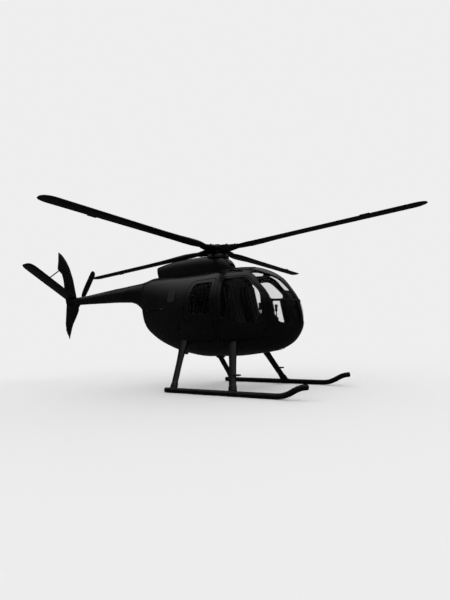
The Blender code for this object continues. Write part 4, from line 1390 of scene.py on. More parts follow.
def side_lift(sign: int) -> Callable[[np.ndarray], np.ndarray]:
    """Puts points of the side view on one side of the fuselage."""
    return lambda flat: POD.side(flat, sign)


def trace(points: np.ndarray, closed: bool = False, lift: float = 0.0) -> Path:
    """A path on the fuselage, raised by lift, with the skin's own upward directions."""
    normals = POD.normals(points)
    return points + normals * lift, normals, closed


def skin_place(point: np.ndarray) -> Matrix:
    """The frame at a point on the skin: X ahead along it, Y up along it and Z outwards."""
    normal = Vector(POD.normals(point[None])[0])
    ahead = (Vector((1, 0, 0)) - normal * normal.x).normalized()
    basis = Matrix((ahead, normal.cross(ahead), normal)).transposed().to_4x4()
    return AIRFRAME @ Matrix.Translation(Vector(point)) @ basis


def knuckle(bm: bmesh.types.BMesh, pin: Vector, end: Vector, along: Vector) -> None:
    """A hinge knuckle, half round about the pin and narrowing to a leaf that ends under the skin."""
    reach = end - pin
    reach -= along * reach.dot(along)
    ahead = reach.normalized()
    across = along.cross(ahead)
    angles = [math.pi * (0.5 + k / 10) for k in range(11)]
    outline = [(ahead * math.cos(angle) + across * math.sin(angle)) * KNUCKLE_RADIUS for angle in angles]
    outline += [reach - across * LEAF_THICKNESS / 2, reach + across * LEAF_THICKNESS / 2]
    half = along * KNUCKLE_LENGTH / 2
    rows = ((-1.0, 0.86), (-0.92, 1.0), (0.92, 1.0), (1.0, 0.86))
    loft(bm, [[pin + point * shrink + half * share for point in outline] for share, shrink in rows])


@dataclass
class Hinges:
    """The hinges of one door: each has a knuckle on the door between two on the shell."""

    shop: Workshop
    body: str
    along: Vector
    pins: Sequence[tuple[Vector, Vector, Vector]]

    def build(self) -> None:
        """The knuckles and the pins' heads; a pin is given with its door leaf's and its shell leaf's ends."""
        step = self.along * (KNUCKLE_LENGTH + SEAM)
        for owner, shifts, leaf in ((self.body, (0,), 1), ("airframe", (1, -1), 2)):

            def fill(bm: bmesh.types.BMesh) -> None:
                for pin in self.pins:
                    for shift in shifts:
                        knuckle(bm, pin[0] + step * shift, pin[leaf] + step * shift, self.along)
                        if shift:
                            start = pin[0] + step * shift * 1.45
                            turned(
                                bm, [(0.0, 0.0055), (0.004, 0.0055), (0.005, 0.004)], start, self.along * shift, 12
                            )

            piece = f"{self.body}_hinge_{'door' if owner == self.body else 'frame'}"
            self.shop.add(piece, mesh_of(piece, fill), GEAR_PAINT, owner)


@dataclass
class Fuselage:
    """The cabin and engine housing's skin, with every opening cut out of it."""

    shop: Workshop
    spacing: float = 0.034
    edge: float = 0.003
    first_row: float = 0.03

    def holes(self) -> list[np.ndarray]:
        """The loops of every opening on the surface, grown by the edge's rounding."""
        grow = -self.edge
        loops = []
        for _, sign in SIDES:
            for outline in (FRONT_OPENING, REAR_OPENING):
                loops.append(POD.side(np.array(resampled(rounded(outline, grow), self.spacing)), sign))
            for outline in (WINDSCREEN, CHIN_WINDOW):
                flat = np.array(resampled(rounded(outline, grow), 0.025))
                loops.append(POD.front(flat * (sign, 1)))
            flat = np.array(resampled(rounded(ROOF_WINDOW, grow), 0.03))
            loops.append(POD.plan(flat * (1, sign)))
        lamp = np.array(circle(LIGHT_RADIUS + self.edge, 40)) + (LIGHT_X, 0.0)
        loops.append(POD.plan(lamp, -1.0))
        loops.append(engine_opening(DOOR_GAP + self.edge))
        loops.append(self.exhaust_hole())
        return loops

    def exhaust_hole(self) -> np.ndarray:
        """Where the exhaust pipe leaves the skin."""
        start, end = Vector(EXHAUST_START), Vector(EXHAUST_END)
        direction = (end - start).normalized()
        side = direction.orthogonal().normalized()
        other = direction.cross(side)
        radius = EXHAUST_RADIUS + self.edge + 0.004
        points = []
        for k in range(40):
            angle = 2 * math.pi * k / 40
            away = side * math.cos(angle) + other * math.sin(angle)
            points.append(tuple(POD.pierced(start - direction * 0.2 + away * radius, direction)))
        return np.array(points)

    def build(self) -> None:
        """The skin in one piece."""
        top, bottom = math.pi / 2 * POD_GIRTH_RADIUS, -1.5 * math.pi * POD_GIRTH_RADIUS
        start = float(np.interp(self.first_row, POD.t, POD.girth))
        end = POD.girth[-1] - 0.004
        columns = np.arange(start, end, self.spacing)
        columns[-1] = end
        rows = []
        for number, along in enumerate(columns):
            t = np.interp(along, POD.girth, POD.t)
            _, half, _, width = POD.at(t)
            count = max(28, round(2 * math.pi * math.sqrt((half**2 + width**2) / 2) / self.spacing))
            around = np.linspace(bottom, top, count + 1)
            shift = 0.5 * (top - bottom) / count * (number % 2)
            inner = np.column_stack([np.full(count, along), around[:-1] + shift])
            rows.append((along, around, inner))
        outline = [(start, v) for v in rows[0][1]]
        outline += [(u, top) for u in columns[1:-1]]
        outline += [(end, v) for v in rows[-1][1][::-1]]
        outline += [(u, bottom) for u in columns[-2:0:-1]]
        grid = np.vstack([row[2] for row in rows[1:-1]])
        grid = grid[(grid[:, 1] > bottom + 0.005) & (grid[:, 1] < top - 0.005)]
        holes = [pod_domain(loop) for loop in self.holes()]
        flat, faces = filled_sheet(outline, holes, grid, 0.45 * self.spacing)
        angles = flat[:, 1] / POD_GIRTH_RADIUS
        points = POD.polar(np.interp(flat[:, 0], POD.girth, POD.t), angles)
        nose_edge = [k for k in range(len(flat)) if abs(flat[k, 0] - start) < 1e-6]
        nose_edge.sort(key=lambda k: flat[k, 1])
        tip = len(points)
        points = np.vstack([points, [[POD_STATIONS[0][0] - 1e-5, 0.0, POD_STATIONS[0][1]]]])
        fan = [(a, b, tip) for a, b in zip(nose_edge, nose_edge[1:])]
        sheet = Sheet.on_pod(points, np.vstack([faces, fan]))
        self.shop.add("pod_skin", sheet.walled("pod_skin", WALL, self.edge), SKIN_PAINT, replaces=["pod_shell"])


def engine_plan_end(sign: int, rear: bool, gap: float) -> tuple[Vector, Vector]:
    """A point and a direction, in plan, of one end of the engine door."""
    front, back = Vector(ENGINE_HINGE_FRONT), Vector(ENGINE_HINGE_REAR)
    along = (front - back).normalized()
    middle = (front + back) / 2
    end = middle + along * (ENGINE_DOOR_LENGTH / 2 + gap) * (-1 if rear else 1)
    out = Vector((-along.y, along.x))
    return Vector((end.x, sign * end.y)), Vector((out.x, sign * out.y))


def engine_edge(sign: int, rear: bool, gap: float, top: float, centre_gap: float, steps: int = 26) -> np.ndarray:
    """Points on the belly along one end of the engine door, from its hinge line down to the middle."""
    end, out = engine_plan_end(sign, rear, gap)
    points = []
    angle_top = POD.angle_of(POD.side(np.array([[end.x, top]]), sign))[0]
    for k in range(steps + 1):
        # The middle line lies at -90 degrees on either side.
        angle = angle_top + (-math.pi / 2 - angle_top) * k / steps
        x = end.x
        for _ in range(30):
            point = POD.polar(POD.t_of(np.array([x])), np.array([angle]))[0]
            x = end.x + out.x * (point[1] - end.y) / out.y
        if sign * point[1] < centre_gap:
            x = end.x + out.x * (sign * centre_gap - end.y) / out.y
            point = POD.plan(np.array([[x, sign * centre_gap]]), -1.0)[0]
            points.append(point)
            break
        points.append(point)
    return np.array(points)


def engine_opening(gap: float) -> np.ndarray:
    """The loop of the opening under both engine doors."""
    loops = []
    for _, sign in SIDES:
        front = engine_edge(sign, False, gap, ENGINE_HINGE_HEIGHT + 0.003, 0.0)
        rear = engine_edge(sign, True, gap, ENGINE_HINGE_HEIGHT + 0.003, 0.0)
        span = np.linspace(rear[0][0], front[0][0], 26)[1:-1]
        top = POD.side(np.column_stack([span, np.full(len(span), ENGINE_HINGE_HEIGHT + 0.003)]), sign)
        loops.append((front, rear, top))
    (port_front, port_rear, port_top), (star_front, star_rear, star_top) = loops
    return np.vstack([port_rear[::-1], port_top, port_front[:-1], star_front[::-1], star_top[::-1], star_rear[:-1]])


def pod_domain(points: np.ndarray) -> list[Flat]:
    """Points on the fuselage as (way along, way round)."""
    along = np.interp(POD.t_of(points[:, 0]), POD.t, POD.girth)
    return [tuple(pair) for pair in np.column_stack([along, POD.angle_of(points) * POD_GIRTH_RADIUS])]


def flat_sheet(
    outline: Sequence[Flat],
    holes: Sequence[Sequence[Flat]],
    lift: Callable[[np.ndarray], np.ndarray],
    spacing: float,
) -> Sheet:
    """A sheet inside a flat outline, put on the fuselage.

    Args:
        outline: The outer loop in some flat view.
        holes: The loops left open.
        lift: Puts points of that view on the surface.
        spacing: The size of the triangles.

    Returns:
        The sheet.
    """
    loop = resampled(outline, spacing)
    gaps = [resampled(hole, spacing) for hole in holes]
    flat, faces = filled_sheet(loop, gaps, hex_grid(loop, spacing), 0.55 * spacing)
    return Sheet.on_pod(lift(flat), faces)


def bead_mesh(name: str, points: np.ndarray, profile: Sequence[Flat]) -> bpy.types.Mesh:
    """A bead with the given profile that follows a loop on the fuselage."""
    return mesh_of(name, lambda bm: swept(bm, points, POD.normals(points), profile, closed=True))


@dataclass
class CabinDoor:
    """A cabin door with its pane, seals, trim card, handle, screws and hinges."""

    shop: Workshop
    kind: str
    side: str
    sign: int
    opening: Sequence[Corner]
    window: Sequence[Corner]
    card: Sequence[Corner]
    handle_at: Flat
    strap_at: Flat
    edge: float = 0.003
    spacing: float = 0.026
    bead: float = 0.0060

    @property
    def body(self) -> str:
        """The door's body."""
        return f"{self.kind}_{self.side}"

    def loop(self, outline: Sequence[Corner], inset: float, step: float = 0.03) -> np.ndarray:
        """A loop on this side of the skin."""
        return POD.side(np.array(resampled(rounded(outline, inset), step)), self.sign)

    def build(self) -> None:
        """The panel, the pane and the fittings."""
        lift = side_lift(self.sign)
        panel = flat_sheet(
            rounded(self.opening, DOOR_GAP + self.edge), [rounded(self.window, -self.edge)], lift, self.spacing
        )
        mesh = panel.walled(f"{self.body}_panel", WALL, self.edge)
        self.shop.add(f"{self.body}_panel", mesh, SKIN_PAINT, self.body, [self.body])
        pane = self.body.replace("door", "window")
        sheet = flat_sheet(rounded(self.window, SEAM), [], lift, self.spacing)
        mesh = sheet.walled(f"{pane}_pane", GLASS_THICKNESS, 0.0015, GLASS_DEPTH)
        self.shop.add(f"{pane}_pane", mesh, GLASS, self.body, [pane])
        bead = bead_mesh("bead", self.loop(self.window, 0.001, 0.014), circle(self.bead))
        self.shop.add(f"{self.body}_glass_bead", bead, SEAL, self.body)
        jamb = flat_sheet(rounded(self.opening, -0.014), [rounded(self.opening, 0.024)], lift, 0.03)
        self.shop.add(f"{self.body}_jamb_seal", jamb.walled("jamb", 0.005, 0.002, WALL + 0.004), SEAL)
        card = flat_sheet(rounded(self.card), [], lift, 0.03)
        self.shop.add(f"{self.body}_trim_card", card.walled("card", 0.006, 0.002, WALL + 0.0005), TRIM, self.body)
        self.build_handle()
        RIVETS.lay(
            self.shop, f"{self.body}_rivets", [trace(self.loop(self.opening, 0.034), True)], SKIN_PAINT, self.body
        )
        SCREWS.lay(
            self.shop, f"{self.body}_screws", [trace(self.loop(self.window, -0.016), True)], FASTENER, self.body
        )
        pins = []
        station, offset = DOOR_HINGES[self.kind]
        for height in DOOR_HINGE_HEIGHTS:
            xs = (station - LEAF_REACH, station + LEAF_REACH)
            ends = POD.side(np.array([(x, height) for x in xs]), self.sign) - (0, self.sign * LEAF_DEPTH, 0)
            pins.append((Vector((station, self.sign * offset, height)), Vector(ends[0]), Vector(ends[1])))
        Hinges(self.shop, self.body, Vector((0, 0, 1)), pins).build()

    def build_handle(self) -> None:
        """A paddle handle outside and a pull strap inside."""

        def handle(bm: bmesh.types.BMesh) -> None:
            rim = [
                (-0.0012, 0.034), (0.0014, 0.034), (0.0026, 0.032), (0.0026, 0.027), (0.0008, 0.025), (0.0008, 0.004)
            ]
            turned(bm, rim, (0, 0, 0), (0, 0, 1), 40)
            rounded_box(bm, (-0.062, -0.010, 0.0055), (0.016, 0.010, 0.0125), 0.0045)
            turned(bm, [(0.0, 0.009), (0.010, 0.009), (0.0135, 0.0075), (0.0145, 0.004)], (0, 0, 0), (0, 0, 1), 20)

        spot = POD.side(np.array([self.handle_at]), self.sign)[0]
        place = skin_place(spot)
        self.shop.add(f"{self.body}_handle", mesh_of("handle", handle), FASTENER, self.body, (), place)

        def strap(bm: bmesh.types.BMesh) -> None:
            shares = np.linspace(0.0, 1.0, 15)
            flat = np.column_stack([self.strap_at[0] + 0.19 * shares, np.full(15, self.strap_at[1])])
            points = POD.side(flat, self.sign)
            normals = POD.normals(points)
            depth = WALL + 0.0068 + 0.026 * np.sin(math.pi * shares) ** 0.8
            swept(bm, points - normals * depth[:, None], -normals, band(0.024, 0.004))
            for k in (0, -1):
                turned(
                    bm, [(0.0, 0.009), (0.003, 0.009), (0.005, 0.006)], points[k] - normals[k] * depth[k],
                    -normals[k], 14
                )

        self.shop.add(f"{self.body}_pull_strap", mesh_of("strap", strap), WEBBING, self.body)


@dataclass
class FixedGlass:
    """The windscreens, chin windows and roof windows with their beads and screws."""

    shop: Workshop
    bead: float = 0.0045
    screws: list[Path] = field(default_factory=list)

    def pane(
        self, name: str, outline: Sequence[Corner], lift: Callable[[np.ndarray], np.ndarray], step: float
    ) -> None:
        """One pane and its bead."""
        sheet = flat_sheet(rounded(outline, SEAM), [], lift, step)
        mesh = sheet.walled(f"{name}_pane", GLASS_THICKNESS, 0.0015, GLASS_DEPTH)
        self.shop.add(f"{name}_pane", mesh, GLASS, replaces=[name])
        loop = lift(np.array(resampled(rounded(outline, 0.001), step)))
        self.shop.add(f"{name}_bead", bead_mesh("bead", loop, circle(self.bead)), SEAL)
        self.screws.append(trace(lift(np.array(resampled(rounded(outline, -0.011), 0.02))), True))

    def build(self) -> None:
        """All six panes."""
        for side, sign in SIDES:
            self.pane(f"windscreen_{side}", WINDSCREEN, lambda flat, s=sign: POD.front(flat * (s, 1)), 0.018)
            self.pane(f"chin_window_{side}", CHIN_WINDOW, lambda flat, s=sign: POD.front(flat * (s, 1)), 0.018)
            self.pane(f"roof_window_{side}", ROOF_WINDOW, lambda flat, s=sign: POD.plan(flat * (1, s)), 0.024)
        SCREWS.lay(self.shop, "window_frame_screws", self.screws, FASTENER)


@dataclass
class EngineDoor:
    """One of the two clamshell doors under the engine."""

    shop: Workshop
    side: str
    sign: int
    edge: float = 0.003
    spacing: float = 0.028

    def build(self) -> None:
        """The panel."""
        body = f"engine_door_{self.side}"
        top = ENGINE_HINGE_HEIGHT - DOOR_GAP - self.edge
        middle = DOOR_GAP / 2 + self.edge
        front = engine_edge(self.sign, False, -self.edge, top, middle)
        rear = engine_edge(self.sign, True, -self.edge, top, middle)
        span = np.linspace(rear[0][0], front[0][0], 28)[1:-1]
        upper = POD.side(np.column_stack([span, np.full(len(span), top)]), self.sign)
        low = np.linspace(front[-1][0], rear[-1][0], 28)[1:-1]
        lower = POD.plan(np.column_stack([low, np.full(len(low), self.sign * middle)]), -1.0)
        loop = pod_domain(np.vstack([rear[::-1], upper, front, lower]))
        flat, faces = filled_sheet(loop, [], hex_grid(loop, self.spacing), 0.5 * self.spacing)
        t = np.interp(flat[:, 0], POD.girth, POD.t)
        sheet = Sheet.on_pod(POD.polar(t, flat[:, 1] / POD_GIRTH_RADIUS), faces)
        self.shop.add(f"{body}_panel", sheet.walled(f"{body}_panel", WALL, self.edge), SKIN_PAINT, body, [body])
        rows = [engine_edge(self.sign, rear_end, -0.036, top - 0.05, 0.05) for rear_end in (False, True)]
        span = np.linspace(rows[1][0][0] + 0.04, rows[0][0][0] - 0.04, 30)
        rows.append(POD.side(np.column_stack([span, np.full(30, top - 0.05)]), self.sign))
        RIVETS.lay(self.shop, f"{body}_rivets", [trace(row) for row in rows], SKIN_PAINT, body)
        self.build_hinges(body)

    def build_hinges(self, body: str) -> None:
        """Two hinges along the upper edge."""
        front, rear = Vector(ENGINE_HINGE_FRONT), Vector(ENGINE_HINGE_REAR)
        line = (front - rear).normalized()
        along = Vector((line.x, self.sign * line.y, 0.0))
        middle = (front + rear) / 2
        pins = []
        for shift in (-ENGINE_HINGE_SPREAD, ENGINE_HINGE_SPREAD):
            pin = Vector((middle.x, self.sign * middle.y, ENGINE_HINGE_HEIGHT - DOOR_GAP / 2)) + along * shift
            flat = np.array([(pin.x, ENGINE_HINGE_HEIGHT + step) for step in (-LEAF_REACH, LEAF_REACH)])
            ends = POD.side(flat, self.sign) - (0, self.sign * LEAF_DEPTH, 0)
            pins.append((pin, Vector(ends[0]), Vector(ends[1])))
        Hinges(self.shop, body, along, pins).build()


@dataclass
class SkinWork:
    """The lap straps, rivet lines, louvres and filler cap on the fuselage."""

    shop: Workshop
    frames: Sequence[float] = (0.360, -0.500, -2.240)
    strap: Flat = (0.034, 0.0010)
    row_offset: float = 0.011
    louvre_at: Flat = (-0.860, 1.915)
    filler_at: Flat = (-0.640, 1.230)

    def frame_path(self, station: float) -> np.ndarray:
        """The skin's section at a station."""
        angles = np.linspace(0.0, 2 * math.pi, 120, endpoint=False) - 1.5 * math.pi
        return POD.polar(np.full(120, POD.t_of(np.array([station]))[0]), angles)

    def side_line(self, sign: int, front: float, rear: float, height: float) -> np.ndarray:
        """A level line along one side."""
        xs = np.linspace(front, rear, 70)
        return POD.side(np.column_stack([xs, np.full(70, height)]), sign)

    def lines(self, shift: float) -> list[Path]:
        """Every lap's path, moved sideways by shift."""
        found = [trace(self.frame_path(station + shift), True) for station in self.frames]
        for _, sign in SIDES:
            found.append(trace(self.side_line(sign, 1.120, -0.480, 0.912 + shift)))
            found.append(trace(self.side_line(sign, 0.780, -2.220, 2.212 + shift)))
        return found

    def build(self) -> None:
        """Straps and rivets, then the small fittings."""

        def straps(bm: bmesh.types.BMesh) -> None:
            for points, ups, closed in self.lines(0.0):
                swept(bm, points, ups, band(*self.strap, 0.0002), closed)

        self.shop.add("lap_straps", mesh_of("lap_straps", straps, 30), SKIN_PAINT)
        rows = [path for shift in (-self.row_offset, self.row_offset) for path in self.lines(shift)]
        RIVETS.lay(self.shop, "lap_rivets", [(p + u * self.strap[1], u, c) for p, u, c in rows], SKIN_PAINT)
        x, z = self.louvre_at
        slats, frames = [], []
        for _, sign in SIDES:
            heights = np.linspace(z - 0.125, z + 0.125, 20)
            points = POD.side(np.column_stack([np.full(20, x), heights]), sign)
            slats.append((points, POD.normals(points) + (0, 0, 0.55), False))
            outline = [(x - 0.125, z - 0.150, 0.02), (x + 0.125, z - 0.150, 0.02)]
            outline += [(x + 0.125, z + 0.150, 0.02), (x - 0.125, z + 0.150, 0.02)]
            frames.append(POD.side(np.array(resampled(rounded(outline), 0.02)), sign))
        SLATS.lay(self.shop, "cooling_louvres", slats, SKIN_PAINT)

        def rims(bm: bmesh.types.BMesh) -> None:
            for points in frames:
                swept(bm, points, POD.normals(points), band(0.016, 0.003), True)

        self.shop.add("louvre_frames", mesh_of("louvre_frames", rims), SKIN_PAINT)

        def filler(bm: bmesh.types.BMesh) -> None:
            cap = [(-0.002, 0.058), (0.002, 0.058), (0.004, 0.055), (0.004, 0.044), (0.002, 0.042), (0.002, 0.036)]
            cap += [(0.007, 0.034), (0.009, 0.030), (0.009, 0.004)]
            turned(bm, cap, (0, 0, 0), (0, 0, 1), 44)
            rounded_box(bm, (-0.028, -0.006, 0.006), (0.028, 0.006, 0.014), 0.003)

        place = skin_place(POD.side(np.array([self.filler_at]), -1)[0])
        self.shop.add("fuel_filler", mesh_of("fuel_filler", filler), FASTENER, place=place)


# Roof and tail


def oval_ring(
    station: float, half_width: float, half_height: float, centre_z: float, power: float, sides: int
) -> list[Point]:
    """A superellipse in the plane of a station."""
    ring = []
    for k in range(sides):
        angle = 2 * math.pi * (k + 0.5) / sides
        cos, sin = math.cos(angle), math.sin(angle)
        y = half_width * math.copysign(abs(cos) ** (2 / power), cos)
        z = centre_z + half_height * math.copysign(abs(sin) ** (2 / power), sin)
        ring.append((station, y, z))
    return ring


@dataclass
class MastFairing:
    """The fairing round the mast on the cabin roof, with its air intake in front."""

    shop: Workshop
    stations: Sequence[Sequence[float]] = (
        (0.400, 2.400, 0.080),
        (0.360, 2.500, 0.130),
        (0.260, 2.612, 0.180),
        (0.050, 2.688, 0.240),
        (-0.400, 2.724, 0.265),
        (-0.900, 2.727, 0.240),
        (-1.280, 2.706, 0.190),
        (-1.640, 2.660, 0.125),
    )
    base: float = 2.150
    power: float = 3.2
    sides: int = 72
    lean: float = 0.26
    dip_radius: float = 0.225
    dip_top: float = 2.690
    intake: tuple[Point, Point] = ((0.215, -0.090, 2.430), (0.600, 0.090, 2.510))

    def skirted(self, ring: Sequence[Point], top: float) -> list[Point]:
        """A ring whose lower points lie just under the roof, and whose foot leans forward at the rear end."""
        points = []
        for x, y, z in ring:
            roof = POD.plan(np.array([[x, y]]))[0][2]
            z = max(z, roof - 0.012)
            if math.hypot(x, y) < self.dip_radius:
                z = min(z, self.dip_top)
            shift = self.lean * (top - z) * min(max((-1.28 - x) / 0.36, 0.0), 1.0)
            points.append((x + shift, y, z))
        return points

    def build(self) -> None:
        """The shell, the intake's mouth with its lip and bars, and the rivets along the foot."""
        rings = []
        for station, top, width in refined(self.stations, 5):
            middle = (top + self.base) / 2
            ring = oval_ring(station, width, (top - self.base) / 2, middle, self.power, self.sides)
            rings.append(self.skirted(ring, top))
        shell = mesh_of("mast_fairing_shell", lambda bm: loft(bm, rings), 50)
        low, high = self.intake
        mouth = mesh_of("mouth", lambda bm: rounded_box(bm, low, high, 0.022))
        self.shop.add("mast_fairing_shell", carved(shell, mouth, 50), FIN_PAINT, replaces=["mast_fairing"])
        middle = (low[2] + high[2]) / 2
        front = [self.front_at(y, z) for y, z in resampled(self.mouth_loop(), 0.012)]

        def lip(bm: bmesh.types.BMesh) -> None:
            swept(bm, front, [(0.8, 0.0, 0.6)] * len(front), circle(0.006, 10), True)

        self.shop.add("intake_lip", mesh_of("intake_lip", lip), FIN_PAINT)

        def bars(bm: bmesh.types.BMesh) -> None:
            for k in range(-3, 4):
                y = k * 0.0235
                rounded_box(bm, (0.262, y - 0.0018, low[2] + 0.004), (0.276, y + 0.0018, high[2] - 0.004), 0.0012)
            rounded_box(bm, (0.262, -0.086, middle - 0.0018), (0.276, 0.086, middle + 0.0018), 0.0012)

        self.shop.add("intake_grille", mesh_of("intake_grille", bars), DARK_METAL)
        rows = []
        for _, sign in SIDES:
            xs = np.linspace(0.22, -1.55, 60)
            widths = [float(np.interp(
                -x, [-row[0] for row in self.stations], [row[2] for row in self.stations]
            )) for x in xs]
            tops = [float(np.interp(
                -x, [-row[0] for row in self.stations], [row[1] for row in self.stations]
            )) for x in xs]
            points = []
            for x, width, top in zip(xs, widths, tops):
                z, half = 2.445, (top - self.base) / 2
                level = min(abs(z - (top + self.base) / 2) / half, 1.0)
                points.append((x, sign * width * (1 - level**self.power) ** (1 / self.power), z))
            rows.append((np.array(points), np.tile((0.0, float(sign), 0.0), (60, 1)), False))
        RIVETS.lay(self.shop, "fairing_rivets", rows, FIN_PAINT)

    def mouth_loop(self) -> list[Flat]:
        """The mouth's outline seen from the front."""
        low, high = self.intake
        corners = [
            (low[1], low[2], 0.022), (high[1], low[2], 0.022), (high[1], high[2], 0.022), (low[1], high[2], 0.022)
        ]
        return rounded(corners)

    def front_at(self, y: float, z: float) -> Point:
        """The point of the shell's front at an offset and a height."""
        xs = np.linspace(0.40, 0.05, 141)
        for x in xs:
            top = float(np.interp(-x, [-row[0] for row in self.stations], [row[1] for row in self.stations]))
            width = float(np.interp(-x, [-row[0] for row in self.stations], [row[2] for row in self.stations]))
            half = (top - self.base) / 2
            if (abs(y) / width) ** self.power + (abs(z - self.base - half) / half) ** self.power < 1.0:
                return (float(x), y, z)
        return (0.05, y, z)


@dataclass
class Tail:
    """The boom, the gearbox, the fins and the stabiliser with its brace."""

    shop: Workshop
    boom: Sequence[Sequence[float]] = (
        (-2.6203, 0.200, 2.121),
        (-3.070, 0.174, 2.127),
        (-4.240, 0.114, 2.108),
        (-4.780, 0.100, 2.108),
    )
    gearbox_x: float = -4.94
    gearbox_z: float = 2.115
    gearbox: Sequence[Sequence[float]] = (
        (-4.7803, 0.100, 2.108),
        (-4.8600, 0.110, 2.115),
        (-5.0200, 0.110, 2.115),
        (-5.0800, 0.060, 2.115),
    )
    fin_thickness: float = 0.050
    upper_fin: Sequence[Corner] = (
        (-4.700, 2.150, 0.0),
        (-4.880, 2.740, 0.30),
        (-5.030, 3.060, 0.30),
        (-5.200, 3.300, 0.30),
        (-5.380, 3.480, 0.30),
        (-5.560, 3.600, 0.02),
        (-5.560, 3.340, 0.10),
        (-5.590, 3.100, 0.03),
        (-5.385, 2.935, 0.06),
        (-5.310, 2.745, 0.20),
        (-5.200, 2.150, 0.0),
    )
    lower_fin: Sequence[Corner] = (
        (-4.620, 2.060, 0.0),
        (-4.665, 1.870, 0.30),
        (-4.900, 1.415, 0.40),
        (-4.970, 1.225, 0.30),
        (-5.015, 1.090, 0.008),
        (-5.075, 1.200, 0.05),
        (-5.120, 1.240, 0.03),
        (-5.200, 1.500, 0.30),
        (-5.160, 2.060, 0.0),
    )
    root: Point = (-4.93, 0.020, 2.180)
    tip: Point = (-5.02, -1.290, 3.020)
    chord: float = 0.50
    laps: Sequence[float] = (-2.66, -3.07, -3.50, -3.92, -4.34, -4.72)
    upper_ribs: Sequence[tuple[Flat, Flat]] = (
        ((-4.860, 2.450), (-5.200, 2.450)),
        ((-4.940, 2.720), (-5.260, 2.720)),
        ((-5.080, 3.000), (-5.460, 3.050)),
        ((-5.030, 2.330), (-5.430, 3.380)),
    )
    lower_ribs: Sequence[tuple[Flat, Flat]] = (
        ((-4.720, 1.880), (-5.130, 1.880)),
        ((-4.850, 1.600), (-5.150, 1.600)),
        ((-4.890, 2.000), (-5.040, 1.300)),
    )

    def boom_mesh(self) -> bpy.types.Mesh:
        """The boom's tube, with a lap at each frame."""
        rings = []
        laps = self.laps
        xs, radii, heights = (list(column) for column in zip(*self.boom))
        places = sorted(
            {*np.linspace(xs[0], xs[-1], 60).tolist(), *laps, *[lap - 0.002 for lap in laps]}, reverse=True
        )
        for x in places:
            radius = float(np.interp(-x, [-v for v in xs], radii))
            height = float(np.interp(-x, [-v for v in xs], heights))
            raised = 0.0012 if any(lap - 0.001 >= x > lap - 0.045 for lap in laps) else 0.0
            rings.append(oval_ring(x, radius + raised, radius + raised, height, 2.0, 72))
        return mesh_of("boom_tube", lambda bm: loft(bm, rings), 60)

    def pillow(self, name: str, outline: Sequence[Corner]) -> bpy.types.Mesh:
        """A fin: flat in the middle and thinning in a round nose and a fine edge all round."""
        loop = resampled(rounded(outline), 0.02)
        flat, faces = filled_sheet(loop, [], hex_grid(loop, 0.02), 0.011)
        half = [self.half_at(loop, outline[0][1], Vector(point)) for point in flat]

        def build(bm: bmesh.types.BMesh) -> None:
            fronts = [bm.verts.new((x, -h, z)) for (x, z), h in zip(flat, half)]
            backs = [bm.verts.new((x, h, z)) for (x, z), h in zip(flat, half)]
            edges: dict[tuple[int, int], int] = {}
            for face in faces.tolist():
                bm.faces.new([fronts[k] for k in face])
                bm.faces.new([backs[k] for k in face[::-1]])
                for a, b in zip(face, [*face[1:], face[0]]):
                    edges[(a, b)] = 1
            for a, b in edges:
                if (b, a) not in edges:
                    bm.faces.new((fronts[b], fronts[a], backs[a], backs[b]))
            bmesh.ops.recalc_face_normals(bm, faces=bm.faces)

        return mesh_of(name, build, 40)

    def half_at(self, loop: Sequence[Flat], root: float, here: Vector) -> float:
        """Half a fin's thickness at a point, which narrows towards every edge but the root."""
        away = 9.0
        border = [Vector(point) for point in loop]
        for a, b in zip(border, [*border[1:], border[0]]):
            if abs(a.y - root) + abs(b.y - root) < 1e-6:
                continue
            along = b - a
            share = min(max((here - a).dot(along) / along.length_squared, 0.0), 1.0)
            away = min(away, (here - a - along * share).length)
        return 0.003 + (self.fin_thickness / 2 - 0.003) * math.sin(min(away / 0.10, 1.0) * math.pi / 2) ** 0.8

    def rib_rows(self) -> list[Path]:
        """The rivet lines on both sides of both fins."""
        rows = []
        for outline, lines in ((self.upper_fin, self.upper_ribs), (self.lower_fin, self.lower_ribs)):
            loop = resampled(rounded(outline), 0.03)
            for start, end in lines:
                flat = [Vector(start).lerp(Vector(end), share) for share in np.linspace(0.0, 1.0, 24)]
                for sign in (1, -1):
                    points = [(p.x, sign * self.half_at(loop, outline[0][1], p), p.y) for p in flat]
                    rows.append((np.array(points), np.tile((0.0, float(sign), 0.0), (24, 1)), False))
        return rows

    def boom_rows(self) -> list[Path]:
        """The rivet rings at the boom's laps."""
        rows = []
        xs, radii, heights = (list(column) for column in zip(*self.boom))
        for lap in self.laps:
            for x in (lap - 0.012, lap - 0.034):
                if x > xs[-1]:
                    radius = float(np.interp(-x, [-v for v in xs], radii)) + 0.0012
                    height = float(np.interp(-x, [-v for v in xs], heights))
                    rows.append(ring_path((x, 0.0, height), (1, 0, 0), radius, outward=True))
        return rows

    def stabilizer_sections(self) -> list[Section]:
        """The sections of the stabiliser from the fin to its tip."""
        root, tip = Vector(self.root), Vector(self.tip)
        span = (tip - root).normalized()
        chordwise = Vector((1, 0, 0))
        across = chordwise.cross(span).normalized()
        length = (tip - root).length
        stations = [(0.035, 1.0, 0.055), (0.5, 1.0, 0.055), (0.86, 1.0, 0.055), (0.94, 0.92, 0.0506)]
        stations += [(0.985, 0.68, 0.0374), (0.996, 0.46, 0.024), (1.0, 0.34, 0.012)]
        return [
            Section(root + span * length * share, chordwise, across, self.chord * wide, thick)
            for share, wide, thick in refined(stations, 3)
        ]

    def build(self) -> None:
        """Every piece of the tail that doesn't turn."""
        self.shop.add("boom_tube", self.boom_mesh(), BOOM_PAINT, replaces=["tail_boom"])
        hub = Vector((self.gearbox_x, 0.0, self.gearbox_z))

